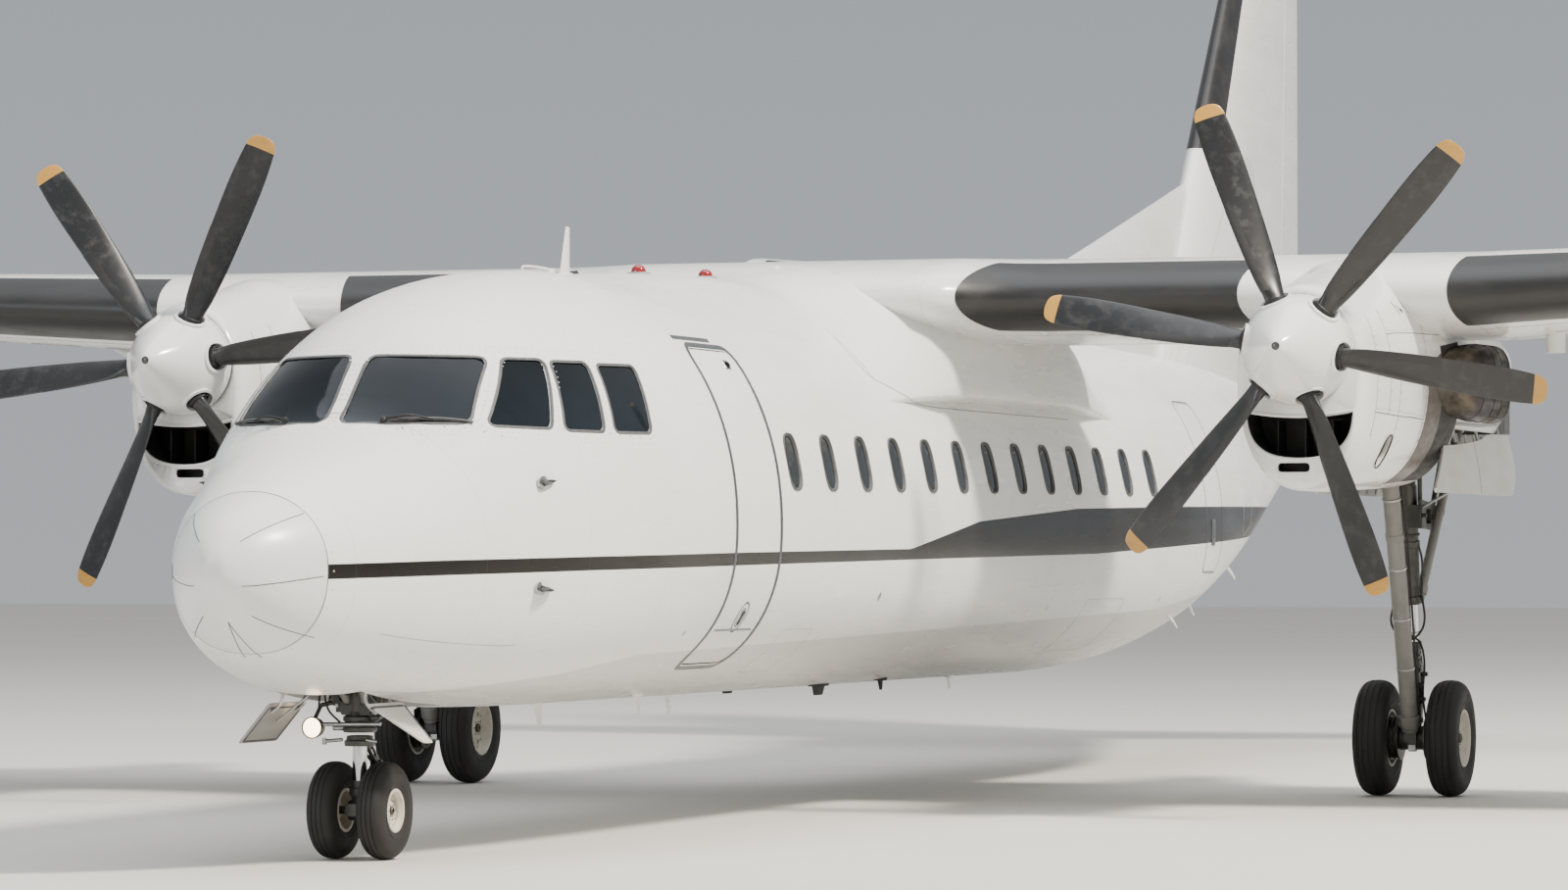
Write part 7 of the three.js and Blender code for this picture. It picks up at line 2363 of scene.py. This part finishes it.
piece("belly_dark_aerials", joined(*dark_belly), MATT_BLACK, angle=40)

# Nose: wipers, vanes, radome strips and latches

def off_skin(x, station, z, lift):
    spot, normal = SKIN.nearest(at(x, station, z))[:2]
    return spot + normal * lift


wipers, wiper_blades = [], []
for side, way in SIDES:
    pivot, elbow = off_skin(way * .3, 1.7, 2.53, .02), off_skin(way * .44, 1.76, 2.545, .045)
    heel, toe = off_skin(way * .35, 1.69, 2.562, .021), off_skin(way * .76, 1.95, 2.556, .021)
    middle = heel.lerp(toe, .52)
    wipers.append(turned([(-.02, 0), (-.02, .02), (.006, .018), (.012, .008), (.012, 0)], pivot,
                         SKIN.nearest(pivot)[1], 24))
    wipers.append(tube(smooth_path([pivot, elbow, middle + Vector((0, -.012, .004))], 6),
                       [.009] * 7 + [.006] * 6, 10))
    for k in (.15, .38, .66, .88):
        wipers.append(rod(heel.lerp(toe, k - .05), heel.lerp(toe, k + .05), .0065, sides=8))
    out = SKIN.nearest(middle)[1]
    spots = [heel.lerp(toe, k) for k in np.linspace(0, 1, 12)]
    path = [off_skin(spot.x, spot.y + MIDDLE, spot.z, .012) for spot in spots]
    wiper_blades.append(strip(SKIN, path, .009, .022, pitch=.04))
piece("wiper_arms", joined(*wipers), MATT_BLACK, angle=40)
piece("wiper_blades", joined(*wiper_blades), SEAL_RUBBER, angle=40)

vanes, vane_plates = [], []
for side, way in SIDES:
    for s, z in ((2.291, 2.201), (2.244, 1.588)):
        spot, normal = SKIN.nearest(at(way * 1.06, s, z))[:2]
        vane_plates.append(loft([[spot + normal * lift
                                  + Vector((0, math.cos(t) * .075 * grow, math.sin(t) * .042 * grow))
                                  for t in circle(36)]
                                 for lift, grow in ((-.012, 1), (.003, 1), (.005, .92))]))
        vanes.append(rod(spot, spot + normal * .03, .02, .016, 16))
        root = spot + normal * .024
        rings = []
        for k in np.linspace(0, 1, 6):
            centre = root + normal * (.034 * k) + Vector((0, .02 * k - .07, 0))
            long, thick = .18 - .04 * k, .016 - .008 * k
            rings.append([centre + Vector((0, long * u, thick * side_way * math.sin(math.pi * u) ** .7))
                          for side_way, us in ((1, np.linspace(0, 1, 8)), (-1, np.linspace(.9, .1, 7)))
                          for u in us])
        vanes.append(loft(rings))
piece("airflow_vanes", joined(*vanes), HANDLE_METAL, angle=45)
piece("vane_plates", joined(*vane_plates), BARE_ALUMINIUM, angle=40)

# Lightning strips on the radome, running back to its ring of fasteners
STRIPS = (((.123, .095, 1.852), (.332, .489, 2.011)), ((.144, .075, 1.608), (.458, .474, 1.661)),
          ((.146, .201, 1.445), (.362, .559, 1.321)), ((0, .2, 1.4), (.05, .554, 1.215)))


def skin_line(first, last, steps=14):
    return [SKIN.nearest(at(*(a + (b - a) * k for a, b in zip(first, last))))[0]
            for k in np.linspace(0, 1, steps)]


radome_lines = []
for first, last in STRIPS:
    for way in (1, -1):
        radome_lines.append(strip(SKIN, skin_line((way * first[0], *first[1:]),
                                                  (way * last[0], *last[1:])), .006, .0015,
                                  pitch=.05))
ring = [SKIN.nearest(at(.48 * math.cos(t), RADOME_END, 1.69 + .46 * math.sin(t)))[0]
        for t in circle(90)]
radome_lines.append(strip(SKIN, ring, .005, .0012, closed=True, pitch=.03))
piece("radome_strips", joined(*radome_lines), SEAL_RUBBER, angle=60)
latches = [SKIN.nearest(at(.5 * math.cos(t), RADOME_END + .035, 1.69 + .48 * math.sin(t)))[0]
           for t in circle(60, 1)]
piece("radome_fasteners", heads_along(SKIN, [latches], .105, .007, .0015, RIVET_PAINT), RIVET_PAINT)

# Panel outlines, ports and small covers on the fuselage
panel_lines, port_discs, dots = [], [], []


def side_outline(corners, radius, way, width=.005):
    path = skin_path(closed_path(rounded(corners, radius), .06), "side", way)
    panel_lines.append(strip(SKIN, path, width, .001, closed=True))


for way in (1, -1):
    side_outline(((6.3, 1.02), (6.9, 1.02), (6.9, 1.3), (6.3, 1.3)), .05, way)
    side_outline(((13.2, 1.05), (14.3, 1.05), (14.3, 1.45), (13.2, 1.45)), .08, way)
    side_outline(((18.7, 1.95), (19.3, 2.05), (19.3, 2.3), (18.7, 2.2)), .05, way)
    panel_lines.append(strip(SKIN, skin_line((way * .62, .95, 1.32), (way * .98, 2.2, 1.2), 16), .005, .001))
    panel_lines.append(strip(SKIN, skin_line((way * .30, 1.4, .96), (way * .62, 2.35, .93), 16), .006, .001))
    for s, z, r in ((4.4, 1.2, .02), (7.95, 1.5, .03), (12.2, 1.35, .028), (15.4, 1.4, .03)):
        spot, normal = SKIN.nearest(at(way * 1.3, s, z))[:2]
        port_discs.append(turned([(-.004, 0), (-.004, r), (.0015, r), (.002, r * .6), (.001, r * .5),
                                  (.001, 0)], spot, normal, 28))
    for first, last in (((way * .32, 1.62, 2.50), (way * .86, 2.1, 2.46)),
                        ((way * .9, 2.3, 2.5), (way * 1.16, 3.6, 2.46))):
        dots.append(skin_line(first, last, 18))
fairing_edge = [(8.411, 3.349), (8.355, 3.141), (8.42, 3.03), (8.601, 2.965), (9.164, 2.844),
                (10.664, 2.826), (12.972, 2.823)]
for way in (1, -1):
    edge_path = smooth_path([Vector((0, s, z)) for s, z in fairing_edge], 6)
    path = [outer_skin(p.y, p.z, way) for p in edge_path]
    for skin in (SKIN, FAIRING_SKIN):
        run = [spot for spot, _ in path if skin.nearest(spot)[2] < 1e-4]
        if len(run) > 2:
            panel_lines.append(strip(skin, run, .009, .0018, pitch=.08))
piece("fuselage_panel_lines", joined(*panel_lines), LAP_SEALANT, angle=60)
piece("fuselage_ports", joined(*port_discs), BARE_ALUMINIUM, angle=35)
piece("windscreen_sill_fasteners", heads_along(SKIN, dots, .12, .006, .0012, SEAL_RUBBER), SEAL_RUBBER)

# Lights at the wing tips and the tail
for side, way in SIDES:
    row = wing_row(14.28)
    tip = at(way * 14.3, row["lead"] + .13, row["z"] + .005)
    lens_shape = [(-.12, 0), (-.1, .03), (-.05, .042), (.02, .045), (.09, .036), (.14, .02), (.155, 0)]
    piece(f"wing_tip_light_{side}", turned(lens_shape, tip, Vector((way * .35, -1, 0)), 32),
          RED_LENS if way > 0 else GREEN_LENS)
tail_end = at(0, LENGTH - .03, 2.91)
piece("tail_light", dome(tail_end, Vector((0, 1, 0)), .03, .028), CABIN_ACRYLIC)
fin_top = fin_row(8.22)
beacon_spot = at(0, fin_top["lead"] + fin_top["chord"] * .4, 8.28)
piece("fin_beacon_lens", dome(beacon_spot, Vector((0, 0, 1)), .04, .036), RED_LENS)


# Camera and light
FLOOR_HALF = 160
FLOOR_DROP = .002
SKY_STRENGTH = .8


def stage_scene():
    """A pale floor, soft light and the camera at the photograph's angle."""
    corners = [(x * FLOOR_HALF, y * FLOOR_HALF, 0) for x, y in ((-1, -1), (1, -1), (1, 1), (-1, 1))]
    floor_mesh = mesh_of(corners, [(0, 1, 2, 3)])
    made, tree, shader, place = finish_material("pale_studio_floor", {"Roughness": .75})
    cloud = noise(tree, place, 9000, (1, 1, 1), 4)
    tree.links.new(mixed(tree, cloud, "#cdcac4", "#d8d5cf"), shader.inputs["Base Color"])
    floor_mesh.materials.append(made)
    floor = bpy.data.objects.new("floor", floor_mesh)
    floor.location.z = -FLOOR_DROP
    bpy.context.scene.collection.objects.link(floor)

    world = bpy.data.worlds.new("soft_sky")
    world.use_nodes = True
    bpy.context.scene.world = world
    tree = world.node_tree
    place = put(tree, "ShaderNodeTexCoord").outputs["Generated"]
    height = axes(tree, place)["Z"]
    sky = ramp(tree, height, ((.0, "#c9cdd2"), (.12, "#bfc4ca"), (.5, "#dfe2e5"), (1, "#f2f3f4")))
    tree.nodes["Background"].inputs["Strength"].default_value = SKY_STRENGTH
    tree.links.new(sky, tree.nodes["Background"].inputs["Color"])

    lamps = (  # name, place, aim, size, power in watts, colour
        ("key", (30, -12, 36), (0, -4, 2), 7, 42000, "#fff5e8"),
        ("sky_panel", (0, 0, 40), (0, 0, 2), 44, 12000, "#eef3fa"),
        ("front_fill", (-24, -46, 16), (0, -8, 2), 22, 7000, "#f2f4f8"),
    )
    for name, place, aim, size, power, colour in lamps:
        light = bpy.data.lights.new(name, "AREA")
        light.shape = "DISK"
        light.size, light.energy, light.color = size, power, linear(colour)[:3]
        lamp = bpy.data.objects.new(name, light)
        lamp.location = place
        lamp.rotation_euler = (Vector(aim) - Vector(place)).to_track_quat("-Z", "Y").to_euler()
        bpy.context.scene.collection.objects.link(lamp)

    lens = bpy.data.cameras.new("camera")
    lens.sensor_width, lens.lens = 36, 129.1
    lens.clip_start, lens.clip_end = .5, 1000
    camera = bpy.data.objects.new("camera", lens)
    camera.location = (13.054, -40.975, 1.757)
    camera.rotation_euler = (math.radians(91.163), 0, math.radians(18.923))
    bpy.context.scene.collection.objects.link(camera)
    bpy.context.scene.camera = camera


stage_scene()
